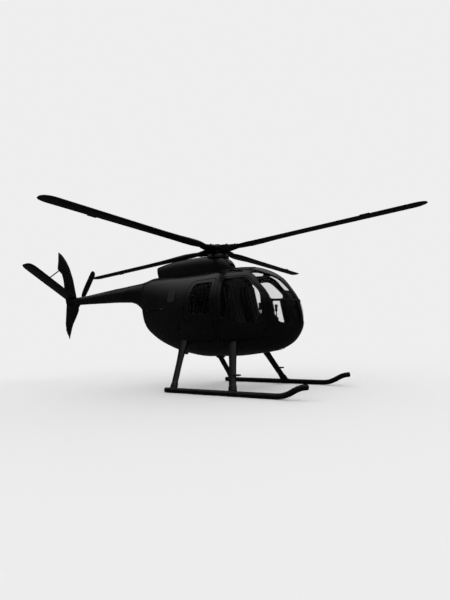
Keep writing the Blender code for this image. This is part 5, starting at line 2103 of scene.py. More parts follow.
        def case(bm: bmesh.types.BMesh) -> None:
            rings = [oval_ring(x, r, r, z, 2.0, 48) for x, r, z in refined(self.gearbox, 5)]
            loft(bm, rings)
            profile = [(0.06, 0.078), (0.110, 0.074), (0.118, 0.084), (0.132, 0.084), (0.138, 0.056)]
            profile += [(0.165, 0.050), (0.205, 0.036), (0.214, 0.034)]
            turned(bm, profile, hub, (0, 1, 0), 40)

        self.shop.add("gearbox_case", mesh_of("gearbox_case", case), DARK_METAL, replaces=["tail_gearbox"])
        self.shop.add(
            "upper_fin_skin", self.pillow("upper_fin_skin", self.upper_fin), FIN_PAINT, replaces=["upper_fin"]
        )
        self.shop.add(
            "lower_fin_skin", self.pillow("lower_fin_skin", self.lower_fin), FIN_PAINT, replaces=["lower_fin"]
        )
        sections = self.stabilizer_sections()
        mesh = mesh_of("stabilizer_skin", lambda bm: wing(bm, sections), 40)
        self.shop.add("stabilizer_skin", mesh, FIN_PAINT, replaces=["stabilizer"])
        RIVETS.lay(self.shop, "boom_rivets", self.boom_rows(), BOOM_PAINT)
        RIVETS.lay(self.shop, "fin_rivets", self.rib_rows(), FIN_PAINT)
        bolts = [ring_path(hub + Vector((0, 0.1325, 0)), (0, 1, 0), 0.070)]
        bolts.append(ring_path((-4.792, 0.0, 2.1085), (1, 0, 0), 0.1035, outward=True))
        BOLTS.lay(self.shop, "gearbox_bolts", bolts, FASTENER)
        self.build_brace()
        self.build_lamp()

    def build_lamp(self) -> None:
        """A small position lamp on the fin's trailing edge, and the tie-down ring of the lower fin."""
        spot = Vector((-5.575, 0.0, 3.20))

        def lamp(bm: bmesh.types.BMesh) -> None:
            profile = [
                (-0.018, 0.008), (-0.014, 0.013), (0.004, 0.014), (0.006, 0.0115), (0.014, 0.010), (0.019, 0.004)
            ]
            turned(bm, profile, spot, (-1, 0, 0), 20)

        self.shop.add("fin_lamp", mesh_of("fin_lamp", lamp), CLEAR_LENS)
        eye = [Vector((
            -5.012 + 0.014 * math.cos(a), 0.0, 1.118 + 0.014 * math.sin(a)
        )) for a in np.linspace(0, 6.283, 21)[:-1]]

        def ring(bm: bmesh.types.BMesh) -> None:
            swept(bm, eye, [(0.0, 1.0, 0.0)] * len(eye), circle(0.0035), True)

        self.shop.add("fin_tie_ring", mesh_of("fin_tie_ring", ring), FASTENER)

    def build_brace(self) -> None:
        """The streamlined brace from the fin to the stabiliser, with an eye at each end."""
        root, tip = Vector(self.root), Vector(self.tip)
        span = (tip - root).normalized()
        across = Vector((1, 0, 0)).cross(span).normalized()
        lift = across if across.z > 0 else -across
        foot = root + span * (tip - root).length * 0.60 + Vector((0.20, 0, 0)) + lift * 0.020
        top = Vector((-5.46, -0.020, 3.06))
        along = (top - foot).normalized()

        def build(bm: bmesh.types.BMesh) -> None:
            length = (top - foot).length
            profile = [(0.0, 0.010), (0.04, 0.014), (0.10, 0.015), (length / 2, 0.016), (length - 0.10, 0.015)]
            profile += [(length - 0.04, 0.014), (length, 0.010)]
            turned(bm, profile, foot, along, 16)
            turned(bm, [(-0.012, 0.016), (-0.010, 0.020), (0.010, 0.020), (0.012, 0.016)], foot, lift, 20)
            turned(bm, [(-0.010, 0.016), (-0.008, 0.020), (0.008, 0.020), (0.010, 0.016)], top, (0, 1, 0), 20)

        self.shop.add("stabilizer_strut", mesh_of("strut", build), GEAR_PAINT, replaces=["stabilizer_brace"])


# Rotors


def rod_profile(length: float, thick: float, thin: float) -> list[Flat]:
    """The profile of a rod that is thicker at both ends."""
    ends = [(0.0, 0.6 * thick), (0.010, thick), (0.024, thick), (0.026, thin)]
    return ends + [(length - along, radius) for along, radius in reversed(ends)]


@dataclass
class MainRotor:
    """The rotor head and its four blades, in the rotor's own tilted frame."""

    shop: Workshop
    chord: float = 0.250
    thickness: float = 0.042
    root: float = 0.520
    radius: float = 4.015
    pitch: float = math.radians(1.0)
    place: Matrix = field(
        default_factory=lambda: Matrix.Translation((MAST_X, 0.0, ROTOR_HEIGHT))
        @ Euler((-ROTOR_ROLL, -ROTOR_TILT, 0.0)).to_matrix().to_4x4()
    )

    def sections(self, turn: Matrix) -> list[Section]:
        """The blade's sections from its root to its tip."""
        stations = [
            (self.root, 0.150, 0.084),
            (0.600, 0.205, 0.088),
            (0.760, 1.06 * self.chord, 0.088),
            (1.050, 1.05 * self.chord, 0.078),
            (1.350, 1.02 * self.chord, 0.058),
            (2.000, self.chord, self.thickness + 0.003),
            (3.800, self.chord, self.thickness),
            (3.940, 0.84 * self.chord, 0.030),
            (4.000, 0.50 * self.chord, 0.018),
            (self.radius, 0.035, 0.010),
        ]
        chordwise = turn.to_3x3() @ Vector((0, math.cos(self.pitch), math.sin(self.pitch)))
        across = turn.to_3x3() @ Vector((0, -math.sin(self.pitch), math.cos(self.pitch)))
        return [
            Section(turn @ Vector((reach, 0, 0)), chordwise, across, chord, thickness)
            for reach, chord, thickness in refined(stations, 6)
        ]

    def build(self) -> None:
        """The head, the controls under it and the blades."""
        self.shop.add(
            "rotor_head", mesh_of("rotor_head", self.head), DARK_METAL, "main_rotor", ["main_rotor_hub"], self.place
        )
        self.shop.add(
            "swashplate_set", mesh_of("swashplate_set", self.controls), DARK_METAL, "main_rotor", ["swashplate"],
            self.place
        )
        for quarter in range(4):
            turn = Matrix.Rotation(math.pi / 2 * quarter, 4, "Z")
            sections = self.sections(turn)
            name = f"blade_{quarter + 1}_skin"
            mesh = mesh_of(name, lambda bm, s=sections: wing(bm, s), 40)
            self.shop.add(name, mesh, BLADE_SKIN, "main_rotor", [f"main_blade_{quarter + 1}"], self.place)
            self.build_strip(quarter, sections)
        self.build_root_bolts()

        def mast(bm: bmesh.types.BMesh) -> None:
            profile = [(0.0, 0.105), (0.030, 0.105), (0.034, 0.098), (0.052, 0.096), (0.056, 0.070), (0.070, 0.066)]
            profile += [(0.120, 0.062), (0.150, 0.058), (0.1597, 0.054)]
            turned(bm, profile, (0, 0, 2.5503), (0, 0, 1), 48)
            for k in range(3):
                angle = 2 * math.pi * k / 3 + 0.4
                foot = Vector((0.088 * math.cos(angle), 0.088 * math.sin(angle), 2.600))
                head = Vector((0.112 * math.cos(angle), 0.112 * math.sin(angle), 2.694))
                turned(bm, rod_profile((head - foot).length, 0.0095, 0.007), foot, head - foot, 14)

        self.shop.add("mast_tube", mesh_of("mast_tube", mast), DARK_METAL, replaces=["mast"])

        def collar(bm: bmesh.types.BMesh) -> None:
            profile = [(0.0, 0.236), (0.050, 0.234), (0.070, 0.226), (0.084, 0.206), (0.089, 0.186), (0.089, 0.172)]
            profile += [(0.084, 0.166), (0.058, 0.162), (0.044, 0.150), (0.040, 0.106)]
            turned(bm, profile, (0, 0, 2.640), (0, 0, 1), 64)

        self.shop.add("mast_collar", mesh_of("mast_collar", collar), FIN_PAINT)

    def build_strip(self, quarter: int, sections: Sequence[Section]) -> None:
        """The metal strip round a blade's nose and the trim tab behind it."""
        turn = Matrix.Rotation(math.pi / 2 * quarter, 4, "Z")
        covered = [section for section in sections if 0.75 < (section.centre.length) < 3.95]
        mesh = mesh_of("strip", lambda bm: loft(bm, [row.ring(0.0009, 0.13) for row in covered]), 40)
        self.shop.add(f"blade_{quarter + 1}_nose_strip", mesh, BLADE_EDGE, "main_rotor", (), self.place)
        cover = [section for section in sections if section.centre.length < 0.80]
        mesh = mesh_of("cuff", lambda bm: loft(bm, [row.ring(0.0030, 0.90) for row in cover]), 40)
        self.shop.add(f"blade_{quarter + 1}_root_doubler", mesh, DARK_METAL, "main_rotor", (), self.place)

        def tab(bm: bmesh.types.BMesh) -> None:
            low = (3.00, -self.chord / 2 - 0.030, -0.0035)
            rounded_box(bm, low, (3.16, -self.chord / 2 + 0.012, 0.0010), 0.0012, turn)
            rounded_box(bm, (3.955, 0.02, -0.008), (3.975, 0.05, 0.008), 0.002, turn)

        self.shop.add(f"blade_{quarter + 1}_trim_tab", mesh_of("tab", tab), BLADE_EDGE, "main_rotor", (), self.place)

    def build_root_bolts(self) -> None:
        """The bolts through the blades' roots and the hub's cap."""
        rows = []
        for quarter in range(4):
            turn = Matrix.Rotation(math.pi / 2 * quarter, 3, "Z")
            for side, height in ((1, 0.0435), (-1, -0.0435)):
                ends = [turn @ Vector((reach, 0.022, height)) for reach in (0.575, 0.715)]
                rows.append(straight(*ends, (0, 0, side)))
        rows.append(ring_path((0, 0, 0.0865), (0, 0, 1), 0.0800))
        BOLTS.lay(self.shop, "rotor_bolts", rows, FASTENER, "main_rotor", self.place)

    def head(self, bm: bmesh.types.BMesh) -> None:
        """The hub's barrel, its cap and four arms with their hinge bolts and dampers."""
        profile = [(-0.0877, 0.056), (-0.086, 0.060), (-0.066, 0.060), (-0.062, 0.100), (-0.058, 0.105)]
        profile += [(-0.020, 0.105), (-0.016, 0.098), (0.016, 0.097), (0.020, 0.102), (0.056, 0.098), (0.060, 0.092)]
        profile += [(0.086, 0.088), (0.112, 0.074), (0.122, 0.060), (0.125, 0.040), (0.125, 0.004)]
        turned(bm, profile, (0, 0, 0), (0, 0, 1), 56)
        for quarter in range(4):
            turn = Matrix.Rotation(math.pi / 2 * quarter, 4, "Z")
            before = set(bm.verts)
            self.arm(bm)
            made = [vert for vert in bm.verts if vert not in before]
            bmesh.ops.transform(bm, matrix=turn, verts=made)

    def arm(self, bm: bmesh.types.BMesh) -> None:
        """One arm along +X, with its hinge bolts, its damper and its pitch horn."""
        rows = [
            (0.060, -0.084, 0.096, 0.070),
            (0.180, -0.080, 0.090, 0.068),
            (0.330, -0.066, 0.062, 0.064),
            (self.root - SEAM, -0.040, 0.038, 0.068),
        ]
        rings = []
        for reach, low, high, wide in refined(rows, 4):
            rings.append(oval_ring(reach, wide, (high - low) / 2, (high + low) / 2, 5.0, 32))
        loft(bm, rings)
        for reach, top, bottom, radius in ((0.235, 0.098, -0.088, 0.026), (0.430, 0.062, -0.062, 0.021)):
            profile = [(bottom, radius * 0.7), (bottom + 0.003, radius * 0.85), (bottom + 0.012, radius * 0.85)]
            profile += [(bottom + 0.0121, radius), (top - 0.016, radius), (top - 0.0159, radius * 0.85)]
            profile += [(top - 0.004, radius * 0.85), (top, radius * 0.6)]
            turned(bm, profile, (reach, 0.0, 0.0), (0, 0, 1), 24)
        start, end = Vector((0.105, 0.112, 0.012)), Vector((0.370, 0.100, 0.004))
        length = (end - start).length
        damper = [(0.0, 0.010), (0.006, 0.018), (0.030, 0.020), (0.032, 0.012), (0.070, 0.012), (0.072, 0.026)]
        damper += [(0.078, 0.029), (length - 0.060, 0.029), (length - 0.052, 0.024), (length - 0.048, 0.013)]
        damper += [(length - 0.012, 0.013), (length - 0.006, 0.018), (length, 0.010)]
        turned(bm, damper, start, end - start, 24)
        rounded_box(bm, (0.352, 0.050, -0.016), (0.392, 0.118, 0.020), 0.008)
        rounded_box(bm, (0.086, 0.060, -0.014), (0.124, 0.128, 0.030), 0.008)
        horn = [(0.150, 0.050, -0.060), (0.190, 0.050, -0.060), (0.182, 0.098, -0.036), (0.156, 0.098, -0.036)]
        extruded(bm, horn, (0, 0, 0.030), 0.004)

    def controls(self, bm: bmesh.types.BMesh) -> None:
        """The swashplate's turning ring and four pitch links with rod ends."""
        profile = [
            (-0.118, 0.060), (-0.118, 0.140), (-0.115, 0.146), (-0.108, 0.149), (-0.106, 0.142), (-0.100, 0.142)
        ]
        profile += [(-0.098, 0.144), (-0.090, 0.142), (-0.088, 0.134), (-0.088, 0.060)]
        turned(bm, profile, (0, 0, 0), (0, 0, 1), 56)
        for quarter in range(4):
            turn = Matrix.Rotation(math.pi / 2 * quarter, 4, "Z")
            before = set(bm.verts)
            low, high = Vector((0.118, 0.075, -0.106)), Vector((0.168, 0.075, -0.034))
            turned(bm, rod_profile((high - low).length, 0.010, 0.0075), low, high - low, 14)
            for place in (low, high):
                turned(bm, [(-0.010, 0.007), (-0.008, 0.012), (0.008, 0.012), (0.010, 0.007)], place, (0, 1, 0), 16)
            made = [vert for vert in bm.verts if vert not in before]
            bmesh.ops.transform(bm, matrix=turn, verts=made)


@dataclass
class TailRotor:
    """The two-blade tail rotor on the port side of the gearbox."""

    shop: Workshop
    hub_at: Point = (-4.94, 0.28, 2.115)
    radius: float = 1.00
    rest: float = math.radians(-36.5)

    def build(self) -> None:
        """The hub and both blades."""
        place = AIRFRAME @ Matrix.Translation(self.hub_at) @ Euler((0.0, -self.rest, 0.0)).to_matrix().to_4x4()

        def hub(bm: bmesh.types.BMesh) -> None:
            profile = [(-0.065, 0.034), (-0.063, 0.054), (-0.040, 0.058), (-0.036, 0.050), (0.010, 0.047)]
            profile += [(0.014, 0.052), (0.030, 0.048), (0.040, 0.036), (0.045, 0.018)]
            turned(bm, profile, (0, 0, 0), (0, 1, 0), 36)
            rounded_box(bm, (-0.030, -0.020, -0.150), (0.030, 0.020, 0.150), 0.008)
            for z in (-0.125, -0.085, 0.085, 0.125):
                turned(
                    bm, [(-0.026, 0.007), (-0.024, 0.010), (0.024, 0.010), (0.026, 0.007)], (0, 0, z), (0, 1, 0), 12
                )

        self.shop.add(
            "tail_hub_set", mesh_of("tail_hub_set", hub), DARK_METAL, "tail_rotor", ["tail_rotor_hub"], place
        )
        stations = (
            (0.1503, 0.060, 0.030),
            (0.240, 0.180, 0.022),
            (0.500, 0.218, 0.022),
            (0.900, 0.210, 0.018),
            (0.970, 0.155, 0.014),
            (1.000, 0.066, 0.011),
        )
        for letter, sign in (("a", 1), ("b", -1)):
            sections = [
                Section(
                    Vector((0, 0, sign * share * self.radius)), Vector((sign, 0, 0)), Vector((0, 1, 0)), chord, thick
                )
                for share, chord, thick in refined(stations, 5)
            ]
            name = f"tail_blade_{letter}_skin"
            mesh = mesh_of(name, lambda bm, s=sections: wing(bm, s), 40)
            self.shop.add(name, mesh, BLADE_SKIN, "tail_rotor", [f"tail_blade_{letter}"], place)
            covered = [row for row in sections if 0.30 < row.centre.length / self.radius < 0.96]
            mesh = mesh_of("strip", lambda bm, c=covered: loft(bm, [row.ring(0.0008, 0.16) for row in c]), 40)
            self.shop.add(f"tail_blade_{letter}_nose_strip", mesh, BLADE_EDGE, "tail_rotor", (), place)

        def links(bm: bmesh.types.BMesh) -> None:
            turned(
                bm, [(0.045, 0.020), (0.048, 0.030), (0.056, 0.030), (0.060, 0.020), (0.070, 0.012)], (0, 0, 0),
                (0, 1, 0), 20
            )
            for sign in (1, -1):
                low, high = Vector((0.022 * sign, 0.052, 0.0)), Vector((0.046 * sign, 0.030, 0.118 * sign))
                turned(bm, rod_profile((high - low).length, 0.0065, 0.0045), low, high - low, 12)

        self.shop.add("tail_pitch_links", mesh_of("tail_pitch_links", links), DARK_METAL, "tail_rotor", (), place)


# Landing gear


@dataclass
class SkidGear:
    """Two skid tubes on four faired struts, with a step on each front strut."""

    shop: Workshop
    track: float = 2.072
    height: float = 0.050 * math.cos(math.pi / 10)
    path: Sequence[Flat] = (
        (-0.590, 0.000),
        (0.300, 0.000),
        (1.200, 0.000),
        (1.740, 0.000),
        (1.870, 0.012),
        (1.990, 0.052),
        (2.100, 0.110),
        (2.200, 0.150),
        (2.310, 0.168),
    )
    lug_x: float = 0.150
    struts: Sequence[tuple[str, float, Point]] = (
        ("front", 0.935, (0.600, 0.450, 0.980)),
        ("rear", -0.400, (-0.580, 0.440, 1.000)),
    )
    chord: float = 0.146
    thickness: float = 0.060

    def build(self) -> None:
        """Both sides."""
        for side, sign in SIDES:
            mesh = mesh_of(f"skid_{side}_tube", lambda bm, s=sign: self.skid(bm, s))
            self.shop.add(f"skid_{side}_tube", mesh, GEAR_PAINT, replaces=[f"skid_{side}"])
            for name, foot_x, top in self.struts:
                piece = f"{name}_strut_{side}"
                mesh = mesh_of(
                    f"{piece}_leg", lambda bm, n=name, f=foot_x, t=top, s=sign: self.strut(bm, n, f, t, s), 40
                )
                self.shop.add(f"{piece}_leg", mesh, GEAR_PAINT, replaces=[piece])
        self.build_fittings()

    def skid(self, bm: bmesh.types.BMesh, sign: int) -> None:
        """One tube with its end caps and the lug for a ground wheel."""
        y = sign * self.track / 2
        points = [(x, y, self.height + z) for x, z in refined(self.path, 5)]
        radii = [self.height] * len(points)
        radii[0], radii[-1] = 0.8 * self.height, 0.8 * self.height
        points.insert(1, (points[0][0] + 0.010, y, points[0][2]))
        radii.insert(1, self.height)
        last = Vector(points[-1]) - Vector(points[-2])
        points.insert(-1, tuple(Vector(points[-1]) - last.normalized() * 0.010))
        radii.insert(-1, self.height)
        tube(bm, points, radii, 28)
        low, high = sorted((y, y + sign * 0.068))
        rounded_box(bm, (self.lug_x - 0.05, low, 0.030), (self.lug_x + 0.05, high, 0.080), 0.004)

    def strut(self, bm: bmesh.types.BMesh, name: str, foot_x: float, top: Point, sign: int) -> None:
        """One faired leg, its saddle on the tube and, in front, its step."""
        foot = Vector((foot_x, sign * self.track / 2, self.height))
        head = Vector((top[0], sign * top[1], top[2]))
        along = (head - foot).normalized()
        chordwise = (Vector((1, 0, 0)) - along * along.x).normalized()
        across = along.cross(chordwise).normalized()
        stations = ((0.03, 1.12, 1.5), (0.10, 1.10, 1.5), (0.16, 0.97, 1.0), (0.50, 1.0, 1.0), (0.66, 1.10, 1.1))
        stations += ((0.80, 1.28, 1.25), (1.0, 1.7, 1.6))
        sections = [
            Section(foot + (head - foot) * share, chordwise, across, self.chord * wide, self.thickness * thick)
            for share, wide, thick in refined(stations, 5)
        ]
        wing(bm, sections)
        saddle = [
            (-0.085, 0.049), (-0.083, 0.0535), (-0.030, 0.0535), (-0.028, 0.056), (0.028, 0.056), (0.030, 0.0535)
        ]
        turned(bm, [*saddle, (0.083, 0.0535), (0.085, 0.049)], foot, (1, 0, 0), 36)
        if name == "front":
            place = Matrix.Translation((-0.078, sign * 0.856, -0.016))
            rounded_box(bm, (0.93, -0.05, 0.345), (1.06, 0.05, 0.370), 0.008, place)
            for k in range(5):
                rounded_box(
                    bm, (0.945 + 0.024 * k, -0.044, 0.3695), (0.953 + 0.024 * k, 0.044, 0.3735), 0.0012, place, 1
                )
        for vert in bm.verts:
            vert.co.z = max(vert.co.z, 0.0006)

    def build_fittings(self) -> None:
        """The shoes under the tubes and the bolts of the saddles."""
        rows = []
        for side, sign in SIDES:
            y = sign * self.track / 2

            def shoes(bm: bmesh.types.BMesh) -> None:
                for low, high in ((-0.575, -0.500), (0.330, 0.640), (1.110, 1.640)):
                    points = [(x, y, self.height) for x in np.linspace(low, high, 8)]
                    under = np.radians(np.linspace(-148, -32, 13))
                    outer = [(0.0515 * math.cos(a), max(0.0515 * math.sin(a), 0.0006 - self.height)) for a in under]
                    inner = [(0.0440 * math.cos(a), 0.0440 * math.sin(a)) for a in reversed(under)]
                    swept(bm, points, [(0.0, 0.0, 1.0)] * 8, [*outer, *inner])

            self.shop.add(f"skid_{side}_shoes", mesh_of("shoes", shoes), DARK_METAL)
            for _, foot_x, _ in self.struts:
                for across in (-1, 1):
                    lean = (0.0, across * 0.80, 0.60)
                    heel = np.array((foot_x, y, self.height)) + np.array(lean) * 0.0535
                    rows.append(straight(heel - (0.078, 0, 0), heel - (0.042, 0, 0), lean))
                    rows.append(straight(heel + (0.042, 0, 0), heel + (0.078, 0, 0), lean))
        replace(BOLTS, spacing=0.034, size=(0.0062, 0.0052, 0.0058)).lay(self.shop, "saddle_bolts", rows, FASTENER)


# Engine, belly and cabin


@dataclass
class EngineBay:
    """The turbine engine inside its bay, and its exhaust pipe."""

    shop: Workshop
    centre: Point = (-1.1575, 0.0, 1.732)
    along: Point = (0.9645, 0.0, 0.264)

    @property
    def place(self) -> Matrix:
        """The engine's frame: X ahead along its shaft, Z upwards."""
        ahead = Vector(self.along).normalized()
        basis = Matrix((ahead, Vector((0, 1, 0)), ahead.cross(Vector((0, 1, 0))))).transposed().to_4x4()
        return AIRFRAME @ Matrix.Translation(self.centre) @ basis

    def exhaust(self, bm: bmesh.types.BMesh) -> None:
        """A rolled-edge pipe with a bore and two clamp bands."""
        outer = EXHAUST_RADIUS
        length = (Vector(EXHAUST_END) - Vector(EXHAUST_START)).length
        profile = [(0.004, 0.02), (0.004, outer - 0.006), (0.010, outer - 0.002), (0.100, outer - 0.002)]
        profile += [(0.102, outer), (0.122, outer), (0.124, outer - 0.002), (length - 0.040, outer - 0.002)]
        profile += [(length - 0.036, outer), (length - 0.014, outer), (length - 0.010, outer - 0.002)]
        profile += [(length - 0.002, outer - 0.001), (length, outer - 0.004), (length - 0.003, outer - 0.010)]
        profile += [(0.110, outer - 0.010), (0.108, 0.02)]
        turned(bm, profile, EXHAUST_START, Vector(EXHAUST_END) - Vector(EXHAUST_START), 48)

    def cases(self, bm: bmesh.types.BMesh) -> None:
        """The compressor, the gearbox under it, the turbine and the combustion can."""
        bell = [(0.485, 0.060), (0.498, 0.100), (0.496, 0.118), (0.470, 0.112), (0.400, 0.092), (0.395, 0.104)]
        bell += [(0.380, 0.104), (0.378, 0.090), (0.230, 0.096), (0.226, 0.112), (0.206, 0.112), (0.202, 0.122)]
        bell += [(0.130, 0.150), (0.126, 0.164), (0.106, 0.164), (0.100, 0.140), (0.040, 0.126), (-0.040, 0.124)]
        bell += [(-0.044, 0.146), (-0.062, 0.146), (-0.066, 0.132), (-0.230, 0.138), (-0.234, 0.158), (-0.252, 0.158)]
        bell += [(-0.256, 0.140), (-0.400, 0.134), (-0.440, 0.110), (-0.468, 0.060), (-0.474, 0.012)]
        turned(bm, bell[::-1], (0, 0, 0.045), (1, 0, 0), 48)
        rounded_box(bm, (-0.020, -0.130, -0.235), (0.330, 0.130, -0.040), 0.030)
        rounded_box(bm, (0.330, -0.075, -0.200), (0.395, 0.075, -0.080), 0.018)
        rounded_box(bm, (0.060, 0.128, -0.190), (0.220, 0.180, -0.060), 0.016)
        rounded_box(bm, (0.040, -0.185, -0.200), (0.180, -0.128, -0.070), 0.016)
        for y in (0.158, -0.158):
            turned(
                bm, [(0.0, 0.030), (0.006, 0.038), (0.110, 0.038), (0.118, 0.028)], (0.250, y, -0.150), (1, 0, 0), 24
            )
            turned(
                bm, [(-0.160, 0.040), (-0.150, 0.050), (0.110, 0.050), (0.125, 0.038)], (-0.10, y, 0.040), (1, 0, 0),
                24
            )
        turned(
            bm, [(0.0, 0.050), (0.006, 0.058), (0.060, 0.058), (0.066, 0.030)], (-0.020, 0.0, -0.140), (-1, 0, 0), 28
        )

    def pipes(self, bm: bmesh.types.BMesh) -> None:
        """The air tubes, the fuel and oil lines and the mount frame."""
        for sign in (1, -1):
            tube(
                bm,
                bent([
                    (0.10, 0.158 * sign, 0.06), (0.02, 0.182 * sign, 0.05), (-0.28, 0.182 * sign, 0.05),
                    (-0.36, 0.140 * sign, 0.06)
                ]),
                0.020, 14
            )
            tube(
                bm,
                bent([
                    (0.20, 0.11 * sign, -0.06), (0.20, 0.165 * sign, 0.02), (0.17, 0.150 * sign, 0.12),
                    (0.16, 0.05 * sign, 0.18)
                ]),
                0.008
            )
            tube(
                bm,
                bent([
                    (0.30, 0.10 * sign, -0.12), (0.34, 0.150 * sign, -0.05), (0.30, 0.165 * sign, 0.06),
                    (0.10, 0.165 * sign, 0.13), (-0.15, 0.12 * sign, 0.17)
                ]),
                0.006
            )
            tube(bm, [(0.30, 0.12 * sign, -0.21), (-0.02, 0.19 * sign, -0.225), (-0.42, 0.19 * sign, -0.225)], 0.012)
            tube(bm, [(-0.24, 0.19 * sign, -0.225), (-0.24, 0.155 * sign, 0.02)], 0.010)
        tube(bm, bent([(-0.05, 0.0, -0.13), (-0.20, 0.0, -0.16), (-0.32, 0.05, -0.14), (-0.36, 0.06, -0.07)]), 0.009)
        tube(bm, bent([(0.33, 0.03, -0.10), (0.42, 0.06, -0.08), (0.43, 0.07, 0.00), (0.38, 0.06, 0.10)]), 0.007)

    def build(self) -> None:
        """The engine's pieces and the pipe."""
        self.shop.add("exhaust_duct", mesh_of("exhaust_duct", self.exhaust), STEEL, replaces=["exhaust_pipe"])
        place = self.place
        self.shop.add(
            "engine_cases", mesh_of("engine_cases", self.cases), ENGINE_METAL, replaces=["engine_block"], place=place
        )
        self.shop.add("engine_pipes", mesh_of("engine_pipes", self.pipes), DARK_METAL, place=place)
        rings = [((0.216, 0.045), 0.106), ((0.116, 0.045), 0.158), ((-0.053, 0.045), 0.140), ((-0.243, 0.045), 0.152)]
        rows = [ring_path((x + 0.010, 0.0, z), (1, 0, 0), radius) for (x, z), radius in rings]
        replace(BOLTS, spacing=0.045).lay(self.shop, "engine_bolts", rows, FASTENER, place=place)


def bent(points: Sequence[Sequence[float]], steps: int = 7) -> list[Vector]:
    """A smooth pipe route through its corner points."""
    corners = [Vector(point) for point in points]
    ends = [corners[0] * 2 - corners[1], *corners, corners[-1] * 2 - corners[-2]]
    route = []
    for k in range(len(corners) - 1):
        p0, p1, p2, p3 = ends[k : k + 4]
        for step in range(steps):
            t = step / steps
            curve = 2 * p1 + (p2 - p0) * t + (2 * p0 - 5 * p1 + 4 * p2 - p3) * t**2 + (3 * p1 - p0 - 3 * p2 + p3) * t**3
            route.append(curve / 2)
    return [*route, corners[-1]]


@dataclass
class Belly:
    """The landing lamp, the beacon and the cargo hook's plate."""

    shop: Workshop
    beacon_at: float = -0.900
    beacon_bottom: float = 0.665
    plate_radius: float = 0.0898
    plate_bottom: float = 0.600

    def build(self) -> None:
        """Every fitting under the floor."""
        self.build_lamp()
        low = POD.plan(np.array([[self.beacon_at, 0.0]]), -1.0)[0]
        drop = low[2] - self.beacon_bottom
        start = (self.beacon_at, 0.0, low[2])

        def flange(bm: bmesh.types.BMesh) -> None:
            turned(
                bm, [(0.0005, 0.042), (0.006, 0.0468), (0.010, 0.0468), (0.013, 0.046), (0.014, 0.044)], start,
                (0, 0, -1), 36
            )

        def dome(bm: bmesh.types.BMesh) -> None:
            profile = [
                (0.012, 0.046), (0.020, 0.0465), (0.60 * drop, 0.044), (0.80 * drop, 0.037), (0.93 * drop, 0.025)
            ]
            turned(bm, [*profile, (0.99 * drop, 0.012), (drop, 0.003)], start, (0, 0, -1), 36)

        self.shop.add("beacon_base", mesh_of("beacon_base", flange), DARK_METAL)
        self.shop.add("beacon_dome", mesh_of("beacon_dome", dome), RED_LENS, replaces=["belly_beacon"])

        def plate(bm: bmesh.types.BMesh) -> None:
            radius = self.plate_radius
            profile = [(0.0, radius), (0.052, radius), (0.0575, radius - 0.0015), (0.060, radius - 0.004)]
            profile += [(0.060, 0.036), (0.052, 0.033), (0.045, 0.030), (0.044, 0.006)]
            turned(bm, profile, (0, 0, self.plate_bottom + 0.060), (0, 0, -1), 48)
            turned(
                bm, [(0.0, 0.004), (0.002, 0.012), (0.010, 0.013), (0.014, 0.010)], (0, 0, self.plate_bottom + 0.018),
                (0, 0, -1), 20
            )

        self.shop.add(
            "cargo_hook_mount", mesh_of("cargo_hook_mount", plate), DARK_METAL, replaces=["cargo_hook_plate"]
        )
        row = ring_path((0.0, 0.0, self.plate_bottom), (0, 0, -1), 0.066)
        replace(BOLTS, size=(0.0085, 0.0078, 0.0030), sunk=0.0026).lay(self.shop, "cargo_hook_bolts", [row], FASTENER)

    def build_lamp(self) -> None:
        """The landing lamp's bowl, its lens and its screws."""
        place = skin_place(POD.plan(np.array([[LIGHT_X, 0.0]]), -1.0)[0])

        def bowl(bm: bmesh.types.BMesh) -> None:
            profile = [
                (-0.034, 0.020), (-0.030, 0.048), (-0.016, 0.074), (-0.002, 0.0825), (0.0022, 0.0825), (0.003, 0.078)
            ]
            turned(
                bm, [*profile, (-0.002, 0.074), (-0.014, 0.062), (-0.024, 0.040), (-0.027, 0.008)], (0, 0, 0),
                (0, 0, 1), 48
            )

        def lens(bm: bmesh.types.BMesh) -> None:
            turned(
                bm, [(-0.006, 0.0740), (0.000, 0.0745), (0.0016, 0.072), (0.0030, 0.05), (0.0036, 0.006)], (0, 0, 0),
                (0, 0, 1), 48
            )

        self.shop.add("landing_lamp_bowl", mesh_of("bowl", bowl), FASTENER, place=place)
        self.shop.add("landing_lamp_lens", mesh_of("lens", lens), CLEAR_LENS, replaces=["landing_light"], place=place)
        screws = ring_path((0, 0, 0.0026), (0, 0, 1), 0.0800)
        replace(SCREWS, spacing=0.06).lay(self.shop, "landing_lamp_screws", [screws], FASTENER, place=place)


